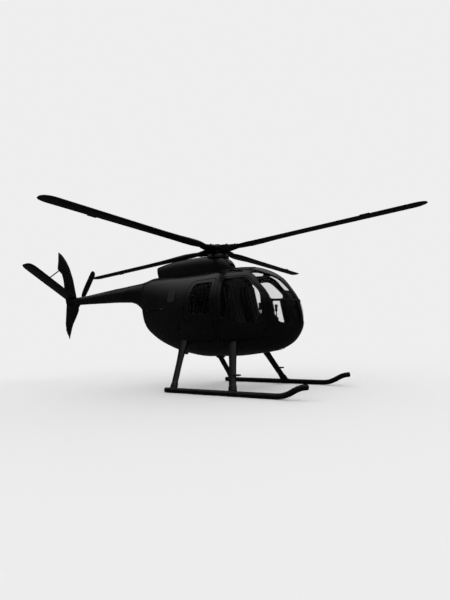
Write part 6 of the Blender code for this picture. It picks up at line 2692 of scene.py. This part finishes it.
@dataclass
class Cushion:
    """A padded cushion: its side outline across a width, then swollen by cloth pressure and sewn."""

    outline: Sequence[Corner]
    half_width: float
    support: Point
    channels: Sequence[float]
    cap: float = 0.009
    voxel: float = 0.012
    channel_depth: float = 0.0065
    channel_width: float = 0.0085

    def blank(self) -> bpy.types.Mesh:
        """The foam's plain form."""

        def build(bm: bmesh.types.BMesh) -> None:
            loop = resampled(rounded(self.outline), 0.012)
            extruded(bm, [(x, -self.half_width, z) for x, z in loop], (0, 2 * self.half_width, 0), 0.016)

        return mesh_of("foam", build)

    def swollen(self) -> bpy.types.Mesh:
        """The cushion after its cloth has taken the pressure, held back towards its support."""
        obj = bpy.data.objects.new("cushion", self.blank())
        bpy.context.scene.collection.objects.link(obj)
        remesh = obj.modifiers.new("remesh", "REMESH")
        remesh.mode, remesh.voxel_size = "VOXEL", self.voxel
        obj.data = evaluated(obj)
        obj.modifiers.clear()
        start = coordinates_of(obj.data)
        cloth = obj.modifiers.new("cloth", "CLOTH")
        cloth.settings.use_pressure = True
        cloth.settings.uniform_pressure_force = 4.0
        cloth.settings.effector_weights.gravity = 0.0
        for frame in range(1, 21):
            bpy.context.scene.frame_set(frame)
        end = coordinates_of(evaluated(obj))
        obj.modifiers.clear()
        bpy.context.scene.frame_set(1)
        moved = end - start
        support = np.array(self.support)
        moved -= np.maximum(moved @ support, 0.0)[:, None] * support
        length = np.linalg.norm(moved, axis=1, keepdims=True)
        moved *= np.minimum(1.0, self.cap / np.maximum(length, 1e-9))
        obj.data.vertices.foreach_set("co", (start + moved).ravel())
        smooth = obj.modifiers.new("smooth", "SUBSURF")
        smooth.levels = smooth.render_levels = 1
        mesh = evaluated(obj)
        bpy.data.objects.remove(obj)
        return mesh

    def build(self) -> bpy.types.Mesh:
        """The cushion with its sewn channels, which run fore and aft or up and down."""
        mesh = self.swollen()
        points = coordinates_of(mesh)
        normals = np.array([vert.normal for vert in mesh.vertices])
        facing = np.clip(-normals @ np.array(self.support), 0.0, 1.0) ** 0.5
        depth = np.zeros(len(points))
        for y in self.channels:
            depth = np.maximum(depth, np.exp(-(((points[:, 1] - y) / self.channel_width) ** 2)))
        points -= normals * (depth * facing * self.channel_depth)[:, None]
        mesh.vertices.foreach_set("co", points.ravel())
        mesh.shade_smooth()
        return mesh


def coordinates_of(mesh: bpy.types.Mesh) -> np.ndarray:
    """The mesh's points as an array."""
    flat = np.empty(len(mesh.vertices) * 3)
    mesh.vertices.foreach_get("co", flat)
    return flat.reshape(-1, 3)


def surface_of(*meshes: bpy.types.Mesh) -> bvhtree.BVHTree:
    """A search tree over the faces of several meshes."""
    points, faces = [], []
    for mesh in meshes:
        first = len(points)
        points += [vert.co.copy() for vert in mesh.vertices]
        faces += [[first + k for k in face.vertices] for face in mesh.polygons]
    return bvhtree.BVHTree.FromPolygons(points, faces)


def laid(surface: bvhtree.BVHTree, points: Sequence[Sequence[float]], lift: float = 0.0) -> Path:
    """A path dropped on a surface, smoothed a little and raised by lift."""
    spots, ups = [], []
    for point in points:
        spot, normal, _, _ = surface.find_nearest(Vector(point))
        spots.append(spot)
        ups.append(normal)
    for _ in range(2):
        ups = [(ups[max(k - 1, 0)] + ups[k] * 2 + ups[min(
            k + 1, len(ups) - 1
        )]).normalized() for k in range(len(ups))]
    return np.array([spot + up * lift for spot, up in zip(spots, ups)]), np.array(ups), False


@dataclass
class Seat:
    """A seat for every place in places: its frame, seat cushion and back cushion, sewn and piped."""

    shop: Workshop
    places: dict[str, float]
    frame: Sequence[Corner]
    frame_half: float
    seat: Cushion
    back: Cushion
    seat_line: tuple[Flat, Flat]
    back_line: tuple[Flat, Flat]
    belts: Sequence[float] = (0.0,)
    lining_cuts: tuple[float, float] = (1.04, 1.13)

    def lines(self, surface: bvhtree.BVHTree, y: float, line: tuple[Flat, Flat], steps: int = 40) -> Path:
        """A path along a cushion at an offset."""
        (x0, z0), (x1, z1) = line
        shares = np.linspace(0.0, 1.0, steps)
        return laid(surface, [(x0 + (x1 - x0) * t, y, z0 + (z1 - z0) * t) for t in shares])

    def piping(self, surface: bvhtree.BVHTree, cushion: Cushion, line: tuple[Flat, Flat]) -> Path:
        """The loop of piping round a cushion's face."""
        (x0, z0), (x1, z1) = line
        y = cushion.half_width - 0.004
        corners = [(0.0, -y, 0.05), (1.0, -y, 0.05), (1.0, y, 0.05), (0.0, y, 0.05)]
        length = math.hypot(x1 - x0, z1 - z0)
        loop = resampled(rounded([(share * length, across, radius) for share, across, radius in corners]), 0.014)
        points = [(x0 + (x1 - x0) * a / length, b, z0 + (z1 - z0) * a / length) for a, b in loop]
        path, ups, _ = laid(surface, points, 0.001)
        return path, ups, True

    def build(self) -> None:
        """The cushions once, then every place's pieces."""
        seat, back = self.seat.build(), self.back.build()
        surfaces = surface_of(seat), surface_of(back)
        both = surface_of(seat, back)

        def welts(bm: bmesh.types.BMesh) -> None:
            for surface, cushion, line in zip(surfaces, (self.seat, self.back), (self.seat_line, self.back_line)):
                path, ups, closed = self.piping(surface, cushion, line)
                swept(bm, path, ups, circle(0.0038), closed)

        rows = []
        for surface, cushion, line in zip(surfaces, (self.seat, self.back), (self.seat_line, self.back_line)):
            rows += [self.lines(surface, y, line) for y in cushion.channels]
        for node, y in self.places.items():
            place = AIRFRAME @ Matrix.Translation((0.0, y, 0.0))
            shell = mesh_of("frame", lambda bm, at=y: self.frame_solid(bm, at))
            self.shop.add(f"{node}_frame", shell, TRIM, replaces=[node], place=place)
            for part, mesh in (("cushion", seat), ("back_cushion", back)):
                obj = self.shop.add(f"{node}_{part}", mesh.copy(), SEAT_CLOTH, replaces=[node], place=place)
            self.shop.add(f"{node}_piping", mesh_of("piping", welts), TRIM, place=place)
            STITCHES.lay(self.shop, f"{node}_stitches", rows, WEBBING, place=place)
            self.build_belts(node, both, place)

    def frame_solid(self, bm: bmesh.types.BMesh, offset: float) -> None:
        """The frame of a seat at an offset, whose outer side keeps clear of the door's lining."""
        loop = resampled(rounded(self.frame), 0.04)
        extruded(bm, [(x, -self.frame_half, z) for x, z in loop], (0, 2 * self.frame_half, 0), 0.006)
        if not offset:
            return
        for height in self.lining_cuts:
            everything = [*bm.verts, *bm.edges, *bm.faces]
            bmesh.ops.bisect_plane(bm, geom=everything, plane_co=(0, 0, height), plane_no=(0, 0, 1))
        outer = math.copysign(1.0, offset)
        for vert in bm.verts:
            skin = POD.side(np.array([(vert.co.x, vert.co.z)]), 1)
            slant = max(float(POD.normals(skin)[0][1]), 0.3)
            limit = float(skin[0][1]) - (WALL + LINING_ROOM) / slant - abs(offset)
            if vert.co.y * outer > limit:
                vert.co.y = outer * limit

    def build_belts(self, node: str, surface: bvhtree.BVHTree, place: Matrix) -> None:
        """The lap and shoulder belts of each sitting place, with their buckle."""
        (bx, bz), (tx, tz) = self.back_line
        (fx, fz), (rx, rz) = self.seat_line
        mid = Vector((rx + (fx - rx) * 0.52, 0.0, rz + (fz - rz) * 0.52))

        def straps(bm: bmesh.types.BMesh) -> None:
            for middle in self.belts:
                for sign in (1, -1):
                    top = Vector((tx + 0.02, middle + 0.085 * sign, tz))
                    foot = Vector((bx + 0.03, middle + 0.045 * sign, bz))
                    hips = Vector((rx + 0.03, middle + 0.165 * sign, rz + 0.01))
                    buckle = mid + Vector((-0.02, middle + 0.012 * sign, 0.0))
                    for route in ((top, foot, buckle), (hips, (hips + buckle) / 2, buckle)):
                        points = bent(route, 14)
                        path, ups, _ = laid(surface, points, 0.0012)
                        swept(bm, path, ups, band(0.042, 0.0026))

        self.shop.add(f"{node}_belts", mesh_of("belts", straps), WEBBING, place=place)

        def buckles(bm: bmesh.types.BMesh) -> None:
            for middle in self.belts:
                spot, normal, _, _ = surface.find_nearest(mid + Vector((0, middle, 0.01)))
                turned(
                    bm, [(0.0, 0.030), (0.004, 0.033), (0.010, 0.033), (0.014, 0.028), (0.015, 0.010)], spot, normal,
                    28
                )
                rounded_box(bm, spot + Vector((-0.006, -0.024, 0.014)), spot + Vector((0.006, 0.024, 0.020)), 0.002)

        self.shop.add(f"{node}_buckles", mesh_of("buckles", buckles), FASTENER, place=place)


FRONT_SEAT_CUSHION = Cushion(
    (
        (0.655, 1.162, 0.02),
        (1.012, 1.162, 0.02),
        (1.040, 1.196, 0.02),
        (1.027, 1.247, 0.02),
        (0.790, 1.234, 0.04),
        (0.660, 1.230, 0.02),
    ),
    0.188,
    (0.0, 0.0, -1.0),
    (-0.095, 0.0, 0.095),
)
FRONT_BACK_CUSHION = Cushion(
    (
        (0.748, 1.262, 0.02),
        (0.688, 1.400, 0.08),
        (0.556, 2.036, 0.02),
        (0.530, 2.062, 0.015),
        (0.502, 2.036, 0.02),
        (0.562, 1.600, 0.08),
        (0.602, 1.400, 0.08),
        (0.650, 1.262, 0.02),
    ),
    0.188,
    (-0.979, 0.0, -0.204),
    (-0.095, 0.0, 0.095),
)
BENCH_CUSHION = Cushion(
    (
        (-0.310, 1.146, 0.02),
        (0.004, 1.146, 0.02),
        (0.010, 1.190, 0.02),
        (0.003, 1.228, 0.02),
        (-0.300, 1.228, 0.02),
    ),
    0.446,
    (0.0, 0.0, -1.0),
    (-0.300, -0.150, 0.0, 0.150, 0.300),
)
BENCH_BACK_CUSHION = Cushion(
    (
        (-0.284, 1.250, 0.02),
        (-0.381, 1.936, 0.02),
        (-0.432, 1.936, 0.02),
        (-0.352, 1.250, 0.02),
    ),
    0.446,
    (-0.990, 0.0, -0.140),
    (-0.300, -0.150, 0.0, 0.150, 0.300),
)


@dataclass
class Cockpit:
    """The console with its dials, the control sticks and levers, the pedals and the compass."""

    shop: Workshop
    half_width: float = 0.166
    body: Sequence[Corner] = (
        (1.745, 0.9512, 0.004),
        (1.604, 0.9512, 0.02),
        (1.5385, 1.280, 0.06),
        (1.4690, 1.640, 0.02),
        (1.4690, 1.676, 0.012),
        (1.5340, 1.697, 0.012),
        (1.5340, 1.831, 0.02),
        (1.745, 1.831, 0.02),
    )
    face_low: Point = (1.5385, 0.0, 1.280)
    face_up: Point = (-0.190, 0.0, 0.982)
    dials: Sequence[tuple[float, float, float]] = (
        (0.300, -0.106, 0.040),
        (0.300, 0.000, 0.044),
        (0.300, 0.106, 0.040),
        (0.200, -0.106, 0.036),
        (0.200, 0.000, 0.040),
        (0.200, 0.106, 0.036),
    )
    top_dials: Sequence[Flat] = ((-0.108, 0.036), (0.0, 0.042), (0.108, 0.036))

    def build(self) -> None:
        """Every piece of the cockpit."""
        self.build_console()
        for node, y in (("cyclic_stick_left", 0.33), ("cyclic_stick_right", -0.33)):
            self.shop.add(f"{node}_set", mesh_of(node, lambda bm, at=y: self.stick(bm, at)), TRIM, replaces=[node])
        self.shop.add("collective_levers", mesh_of("collective_levers", self.levers), TRIM)
        self.shop.add("pedals", mesh_of("pedals", self.pedals), DARK_METAL)
        self.build_compass()

    def faces(self) -> list[tuple[Matrix, float]]:
        """The frame of each dial, whose Z points at the pilots, and the dial's radius."""
        up = Vector(self.face_up).normalized()
        out = up.cross(Vector((0, 1, 0))) * -1
        out = out if out.x < 0 else -out
        side = up.cross(out)
        found = []
        for along, y, radius in self.dials:
            spot = Vector(self.face_low) + up * along + Vector((0, y, 0))
            found.append((Matrix.Translation(spot) @ Matrix((side, up, out)).transposed().to_4x4(), radius))
        for y, radius in self.top_dials:
            basis = Matrix(((0, -1, 0), (0, 0, 1), (-1, 0, 0))).transposed().to_4x4()
            found.append((Matrix.Translation((1.534, y, 1.764)) @ basis, radius))
        return found

    def build_console(self) -> None:
        """The console's case, its dials with their marks and hands, and the radio faces."""

        def case(bm: bmesh.types.BMesh) -> None:
            loop = resampled(rounded(self.body), 0.02)
            rings = []
            for y in (-1.0, -0.985, *np.linspace(-0.96, 0.96, 19), 0.985, 1.0):
                trim = 0.006 * max(abs(y) - 0.96, 0.0) / 0.04
                flat = np.array([(y * self.half_width, z) for _, z in loop])
                limits = POD.front(flat)[:, 0] - 1.25 * WALL - trim
                rings.append([
                    (min(max(x, 1.470 + trim), far), y * self.half_width, z) for (x, z), far in zip(loop, limits)
                ])
            loft(bm, rings)

        self.shop.add("console_case", mesh_of("console_case", case), TRIM, replaces=["instrument_console"])
        bezels, marks = [], []
        for place, radius in self.faces():
            bezels.append((place, radius))
            centre, axis = place.translation, place.to_3x3().col[2]
            marks.append(ring_path(centre + axis * 0.0030, axis, radius * 0.72))

        def rims(bm: bmesh.types.BMesh) -> None:
            for place, radius in bezels:
                rim = [(-0.004, radius * 0.98), (0.004, radius), (0.007, radius * 0.96), (0.007, radius * 0.90)]
                rim += [(0.003, radius * 0.86), (0.0025, 0.004)]
                turned(bm, rim, place.translation, place.to_3x3().col[2], 40)

        def hands(bm: bmesh.types.BMesh) -> None:
            for k, (place, radius) in enumerate(bezels):
                turn = place @ Matrix.Rotation(0.7 + 0.9 * k, 4, "Z")
                rounded_box(bm, (-0.0016, -0.15 * radius, 0.0032), (0.0016, 0.66 * radius, 0.0040), 0.0003, turn, 1)

        self.shop.add("dial_bezels", mesh_of("dial_bezels", rims), FASTENER)
        self.shop.add("dial_hands", mesh_of("dial_hands", hands), MARKS)
        TICKS.lay(self.shop, "dial_marks", marks, MARKS)
        up = Vector(self.face_up).normalized()
        out = Vector((-up.z, 0, up.x)) if up.x > 0 else Vector((-abs(up.z), 0, -abs(up.x)))

        def radios(bm: bmesh.types.BMesh) -> None:
            basis = Matrix((up.cross(out), up, out)).transposed().to_4x4()
            for along in (0.030, 0.082, 0.134):
                place = Matrix.Translation(Vector(self.face_low) + up * along) @ basis
                rounded_box(bm, (-0.150, -0.022, -0.004), (0.150, 0.022, 0.006), 0.003, place)
                for y in (-0.128, -0.098, 0.098, 0.128):
                    start = place @ Vector((y, 0.0, 0.005))
                    turned(
                        bm, [(0.0, 0.010), (0.004, 0.010), (0.005, 0.008), (0.016, 0.0075), (0.018, 0.005)], start,
                        out, 18
                    )
                for k in range(6):
                    rounded_box(
                        bm, (-0.066 + 0.022 * k, -0.008, 0.005), (-0.052 + 0.022 * k, 0.008, 0.009), 0.0015, place, 1
                    )

        self.shop.add("radio_faces", mesh_of("radio_faces", radios), SEAL)

    def stick(self, bm: bmesh.types.BMesh, y: float) -> None:
        """A cyclic stick: a bellows boot, the bent tube and a moulded grip with its buttons."""
        boot = [(0.0, 0.050), (0.004, 0.052)]
        for k in range(4):
            boot += [(0.010 + 0.015 * k, 0.046 - 0.008 * k), (0.017 + 0.015 * k, 0.038 - 0.007 * k)]
        turned(bm, [*boot, (0.070, 0.012)], (1.250, y, 0.9504), (0, 0, 1), 28)
        route = bent([(1.250, y, 0.960), (1.240, y, 1.040), (1.200, y, 1.200), (1.152, y, 1.360), (1.143, y, 1.500)])
        tube(bm, route, 0.0115, 16)
        rings = []
        rows = ((0.0, 0.016, 0.015), (0.010, 0.027, 0.019), (0.030, 0.024, 0.017), (0.048, 0.028, 0.019))
        rows += (
            (0.068, 0.025, 0.018), (0.088, 0.029, 0.020), (0.106, 0.033, 0.023), (0.126, 0.031, 0.022),
            (0.138, 0.018, 0.014)
        )
        for rise, deep, wide in refined(rows, 4):
            centre = Vector((1.142 + 0.05 * rise, y, 1.488 + rise))
            angles = [2 * math.pi * (k + 0.5) / 24 for k in range(24)]
            rings.append([centre + Vector((deep * math.cos(a), wide * math.sin(a), 0.0)) for a in angles])
        loft(bm, rings)
        turned(bm, [(0.0, 0.008), (0.006, 0.009), (0.010, 0.006)], (1.133, y, 1.624), (-0.3, 0, 1), 16)
        turned(bm, [(0.0, 0.006), (0.010, 0.006), (0.013, 0.004)], (1.169, y, 1.585), (1, 0, 0.1), 14)
        turned(bm, [(0.0, 0.005), (0.007, 0.005), (0.009, 0.003)], (1.121, y, 1.600), (-1, 0, 0.3), 12)

    def levers(self, bm: bmesh.types.BMesh) -> None:
        """The collective levers at each pilot's left, with twist grips and switch heads."""
        left = [(0.672, 0.508, 1.116), (0.730, 0.541, 1.155), (0.850, 0.548, 1.235), (0.985, 0.548, 1.325)]
        right = [(0.560, -0.104, 1.045), (0.640, -0.104, 1.110), (0.850, -0.104, 1.235), (0.985, -0.104, 1.325)]
        for route in (left, right):
            y = route[-1][1]
            tube(bm, bent(route), 0.012, 16)
            along = Vector((0.135, 0.0, 0.090)).normalized()
            grip = [(-0.150, 0.014), (-0.146, 0.020)]
            for k in range(7):
                grip += [(-0.138 + 0.018 * k, 0.021), (-0.134 + 0.018 * k, 0.0185), (-0.124 + 0.018 * k, 0.0185)]
            turned(bm, [*grip, (0.0, 0.021), (0.004, 0.016)], (0.985, y, 1.325), along, 24)
            rounded_box(bm, (0.985, y - 0.024, 1.318), (1.075, y + 0.024, 1.382), 0.014)
            for k in range(3):
                turned(
                    bm, [(0.0, 0.004), (0.010, 0.004), (0.014, 0.003)], (1.004 + 0.024 * k, y, 1.380), (0, 0, 1), 12
                )
        turned(bm, [(0.0, 0.018), (0.004, 0.024), (0.012, 0.022)], (0.700, 0.514, 1.135), (0, 1, 0), 24)
        boot = [(0.0, 0.026), (0.012, 0.032), (0.060, 0.031), (0.092, 0.018)]
        turned(bm, boot, (0.545, -0.104, 0.962), (0.2, 0, 1), 24)

    def pedals(self, bm: bmesh.types.BMesh) -> None:
        """Two pedals for each pilot, on arms from the floor."""
        for middle in (0.295, -0.295):
            for offset in (-0.085, 0.085):
                y = middle + offset
                route = bent([(1.314, y, 0.952), (1.309, y, 1.010), (1.288, y, 1.060), (1.280, y, 1.105)])
                tube(bm, route, 0.010, 12)
                place = Matrix.Translation((1.274, y, 1.130)) @ Euler((0.0, 0.35, 0.0)).to_matrix().to_4x4()
                rounded_box(bm, (-0.008, -0.046, -0.050), (0.006, 0.046, 0.050), 0.005, place)
                for k in range(4):
                    rounded_box(
                        bm, (-0.0105, -0.040, -0.038 + 0.022 * k), (-0.007, 0.040, -0.030 + 0.022 * k), 0.001, place,
                        1
                    )
            tube(bm, [(1.314, middle - 0.10, 0.964), (1.314, middle + 0.10, 0.964)], 0.012, 12)

    def build_compass(self) -> None:
        """The compass on its arm under the frame between the windscreens."""
        roof = POD.plan(np.array([[1.20, 0.0]]))[0][2]

        def arm(bm: bmesh.types.BMesh) -> None:
            route = bent([
                (1.205, 0.0, roof - WALL + 0.006), (1.185, 0.0, roof - WALL - 0.020), (1.130, 0.0, 2.140),
                (1.080, 0.0, 2.135)
            ])
            tube(bm, route, 0.008, 14)
            turned(
                bm, [(0.0, 0.026), (0.006, 0.028), (0.010, 0.020)], (1.205, 0.0, roof - WALL + 0.004), (-0.3, 0, -1),
                20
            )
            ball = [
                (-0.036, 0.006), (-0.034, 0.020), (-0.022, 0.034), (0.0, 0.040), (0.020, 0.036), (0.032, 0.024),
                (0.038, 0.006)
            ]
            turned(bm, ball, (1.075, 0.0, 2.092), (0, 0, 1), 32)
            turned(
                bm, [(-0.052, 0.020), (-0.050, 0.026), (-0.030, 0.030), (-0.028, 0.022)], (1.075, 0.0, 2.092),
                (1, 0, 0), 28
            )
            tube(bm, bent([(1.080, 0.0, 2.135), (1.030, 0.0, 2.150), (0.998, 0.0, 2.152)]), 0.007, 12)

        self.shop.add("compass_arm", mesh_of("compass_arm", arm), TRIM)


@dataclass
class CabinLining:
    """The finishes of the floor and the bulkheads, the floor's tie rings and the roof lining's bows."""

    shop: Workshop

    def build(self) -> None:
        """Dresses the solids that stay and adds their fittings."""
        self.shop.dress_node("cabin_floor", MAT)
        self.shop.dress_node("rear_bulkhead", TRIM)
        self.shop.dress_node("middle_bulkhead", TRIM)

        def bows(bm: bmesh.types.BMesh) -> None:
            for station in (0.355, -0.475):
                angles = np.radians(np.linspace(22, 158, 60))
                points = POD.polar(np.full(60, POD.t_of(np.array([station]))[0]), angles)
                normals = POD.normals(points)
                swept(bm, points - normals * (WALL + 0.001), -normals, band(0.040, 0.010))

        self.shop.add("roof_bows", mesh_of("roof_bows", bows), TRIM)
        rings = []
        for x, y in ((0.18, 0.30), (0.18, -0.30), (1.20, 0.08), (1.20, -0.08)):
            rings.append(((x, y, 0.9506), (0, 0, 1)))

        def studs(bm: bmesh.types.BMesh) -> None:
            for start, axis in rings:
                turned(
                    bm, [(0.0, 0.018), (0.002, 0.018), (0.003, 0.012), (0.005, 0.010), (0.006, 0.004)], start, axis,
                    24
                )

        self.shop.add("floor_studs", mesh_of("floor_studs", studs), FASTENER)


# The studio


@dataclass
class Studio:
    """The camera at the photograph's angle, a pale floor and soft light."""

    azimuth: float = math.radians(33.808)
    elevation: float = math.radians(-5.256)
    roll: float = math.radians(-1.816)
    distance: float = 8.383
    focal_pixels: float = 407.469
    frame_height: float = 600.0
    sensor: float = 36.0
    target: Point = (0.15 + MAST_X, 0.0, 1.773)
    floor_tone: float = 0.86
    floor_size: float = 160.0
    reflections: tuple[float, float, float, float] = (0.25, 0.98, 0.035, 0.75)

    def camera(self) -> None:
        """The camera."""
        back = Vector(
            (
                math.sin(self.azimuth) * math.cos(self.elevation),
                -math.cos(self.azimuth) * math.cos(self.elevation),
                math.sin(self.elevation),
            )
        )
        right = (-back).cross(Vector((0, 0, 1))).normalized()
        up = right.cross(-back).normalized()
        turned_right = right * math.cos(self.roll) + up * math.sin(self.roll)
        turned_up = up * math.cos(self.roll) - right * math.sin(self.roll)
        data = bpy.data.cameras.new("camera")
        data.sensor_width = self.sensor
        data.lens = self.focal_pixels * self.sensor / self.frame_height
        camera = bpy.data.objects.new("camera", data)
        basis = Matrix((turned_right, turned_up, back)).transposed().to_4x4()
        camera.matrix_world = Matrix.Translation(Vector(self.target) + back * self.distance) @ basis
        bpy.context.scene.collection.objects.link(camera)
        bpy.context.scene.camera = camera

    def floor(self) -> None:
        """A wide pale floor, finely mottled like pressed paper."""
        half = self.floor_size / 2

        def build(bm: bmesh.types.BMesh) -> None:
            bm.faces.new([
                bm.verts.new((x, y, -0.0005)) for x, y in ((-half, -half), (half, -half), (half, half), (-half, half))
            ])

        mesh = mesh_of("studio_floor", build)
        graph = Graph("studio_paper")
        tone = graph.noise(30.0, 4.0) * 0.02 + 0.99
        pale = (self.floor_tone,) * 3
        graph.dress(base_color=graph.mixed(tone, (0.80, 0.80, 0.80), pale), roughness=1.0, specular_ior_level=0.0)
        mesh.materials.append(graph.material)
        obj = bpy.data.objects.new("studio_floor", mesh)
        obj.visible_glossy = False
        bpy.context.scene.collection.objects.link(obj)

    def world(self) -> None:
        """A pale surround that reflects brightly from overhead and dimly from the sides."""
        world = bpy.data.worlds.new("studio_world")
        world.use_nodes = True
        tree = world.node_tree
        path = add_node(tree, "ShaderNodeLightPath")
        place = add_node(tree, "ShaderNodeTexCoord")
        split = add_node(tree, "ShaderNodeSeparateXYZ", None, {0: place.outputs["Generated"]})
        low, high, dim, bright = self.reflections
        ramp = add_node(
            tree,
            "ShaderNodeMapRange",
            {"interpolation_type": "SMOOTHSTEP"},
            {"Value": split.outputs["Z"], "From Min": low, "From Max": high, "To Min": dim, "To Max": bright},
        )
        lit = add_node(
            tree, "ShaderNodeMix", None, {0: path.outputs["Is Glossy Ray"], 2: 1.0, 3: ramp.outputs["Result"]}
        )
        seen = add_node(
            tree, "ShaderNodeMix", None, {0: path.outputs["Is Camera Ray"], 2: lit.outputs[0], 3: self.floor_tone}
        )
        background = tree.nodes["Background"]
        tree.links.new(seen.outputs[0], background.inputs["Strength"])
        background.inputs["Color"].default_value = (1.0, 1.0, 1.0, 1.0)
        world.cycles.sampling_method = "NONE"
        bpy.context.scene.world = world
        bpy.context.scene.view_settings.view_transform = "Standard"

    def build(self) -> None:
        """The whole studio."""
        self.camera()
        self.floor()
        self.world()


def main() -> None:
    """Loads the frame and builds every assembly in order."""
    logging.basicConfig(level=logging.INFO, format="%(name)s: %(message)s")
    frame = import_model()
    shop = Workshop(frame)
    Studio().build()
    Seat(
        shop,
        {"front_seat_left": 0.33, "front_seat_right": -0.33},
        (
            (0.3790, 0.9510, 0.01),
            (0.985, 0.9510, 0.01),
            (1.012, 1.145, 0.02),
            (0.652, 1.152, 0.02),
            (0.590, 1.400, 0.08),
            (0.552, 1.600, 0.08),
            (0.496, 2.020, 0.01),
            (0.479, 2.020, 0.01),
            (0.519, 1.600, 0.04),
            (0.3790, 1.203, 0.02),
        ),
        0.192,
        FRONT_SEAT_CUSHION,
        FRONT_BACK_CUSHION,
        ((1.020, 1.300), (0.690, 1.290)),
        ((0.790, 1.300), (0.580, 2.055)),
    ).build()
    Seat(
        shop,
        {"rear_bench": 0.0},
        (
            (-0.4560, 0.9510, 0.01),
            (0.008, 0.9510, 0.01),
            (0.008, 1.138, 0.02),
            (-0.345, 1.142, 0.02),
            (-0.428, 1.900, 0.01),
            (-0.4560, 1.900, 0.01),
        ),
        0.450,
        BENCH_CUSHION,
        BENCH_BACK_CUSHION,
        ((-0.012, 1.290), (-0.250, 1.290)),
        ((-0.250, 1.290), (-0.350, 1.920)),
        (-0.225, 0.225),
    ).build()
    Fuselage(shop).build()
    FixedGlass(shop).build()
    for side, sign in SIDES:
        front = (FRONT_OPENING, FRONT_WINDOW, FRONT_CARD, (0.490, 1.290), (0.520, 1.130))
        rear = (REAR_OPENING, REAR_WINDOW, REAR_CARD, (-0.340, 1.330), (-0.300, 1.180))
        CabinDoor(shop, "front_door", side, sign, *front).build()
        CabinDoor(shop, "rear_door", side, sign, *rear).build()
        EngineDoor(shop, side, sign).build()
    SkinWork(shop).build()
    MastFairing(shop).build()
    EngineBay(shop).build()
    Tail(shop).build()
    MainRotor(shop).build()
    TailRotor(shop).build()
    SkidGear(shop).build()
    Belly(shop).build()
    Cockpit(shop).build()
    CabinLining(shop).build()


if __name__ == "__main__":
    main()
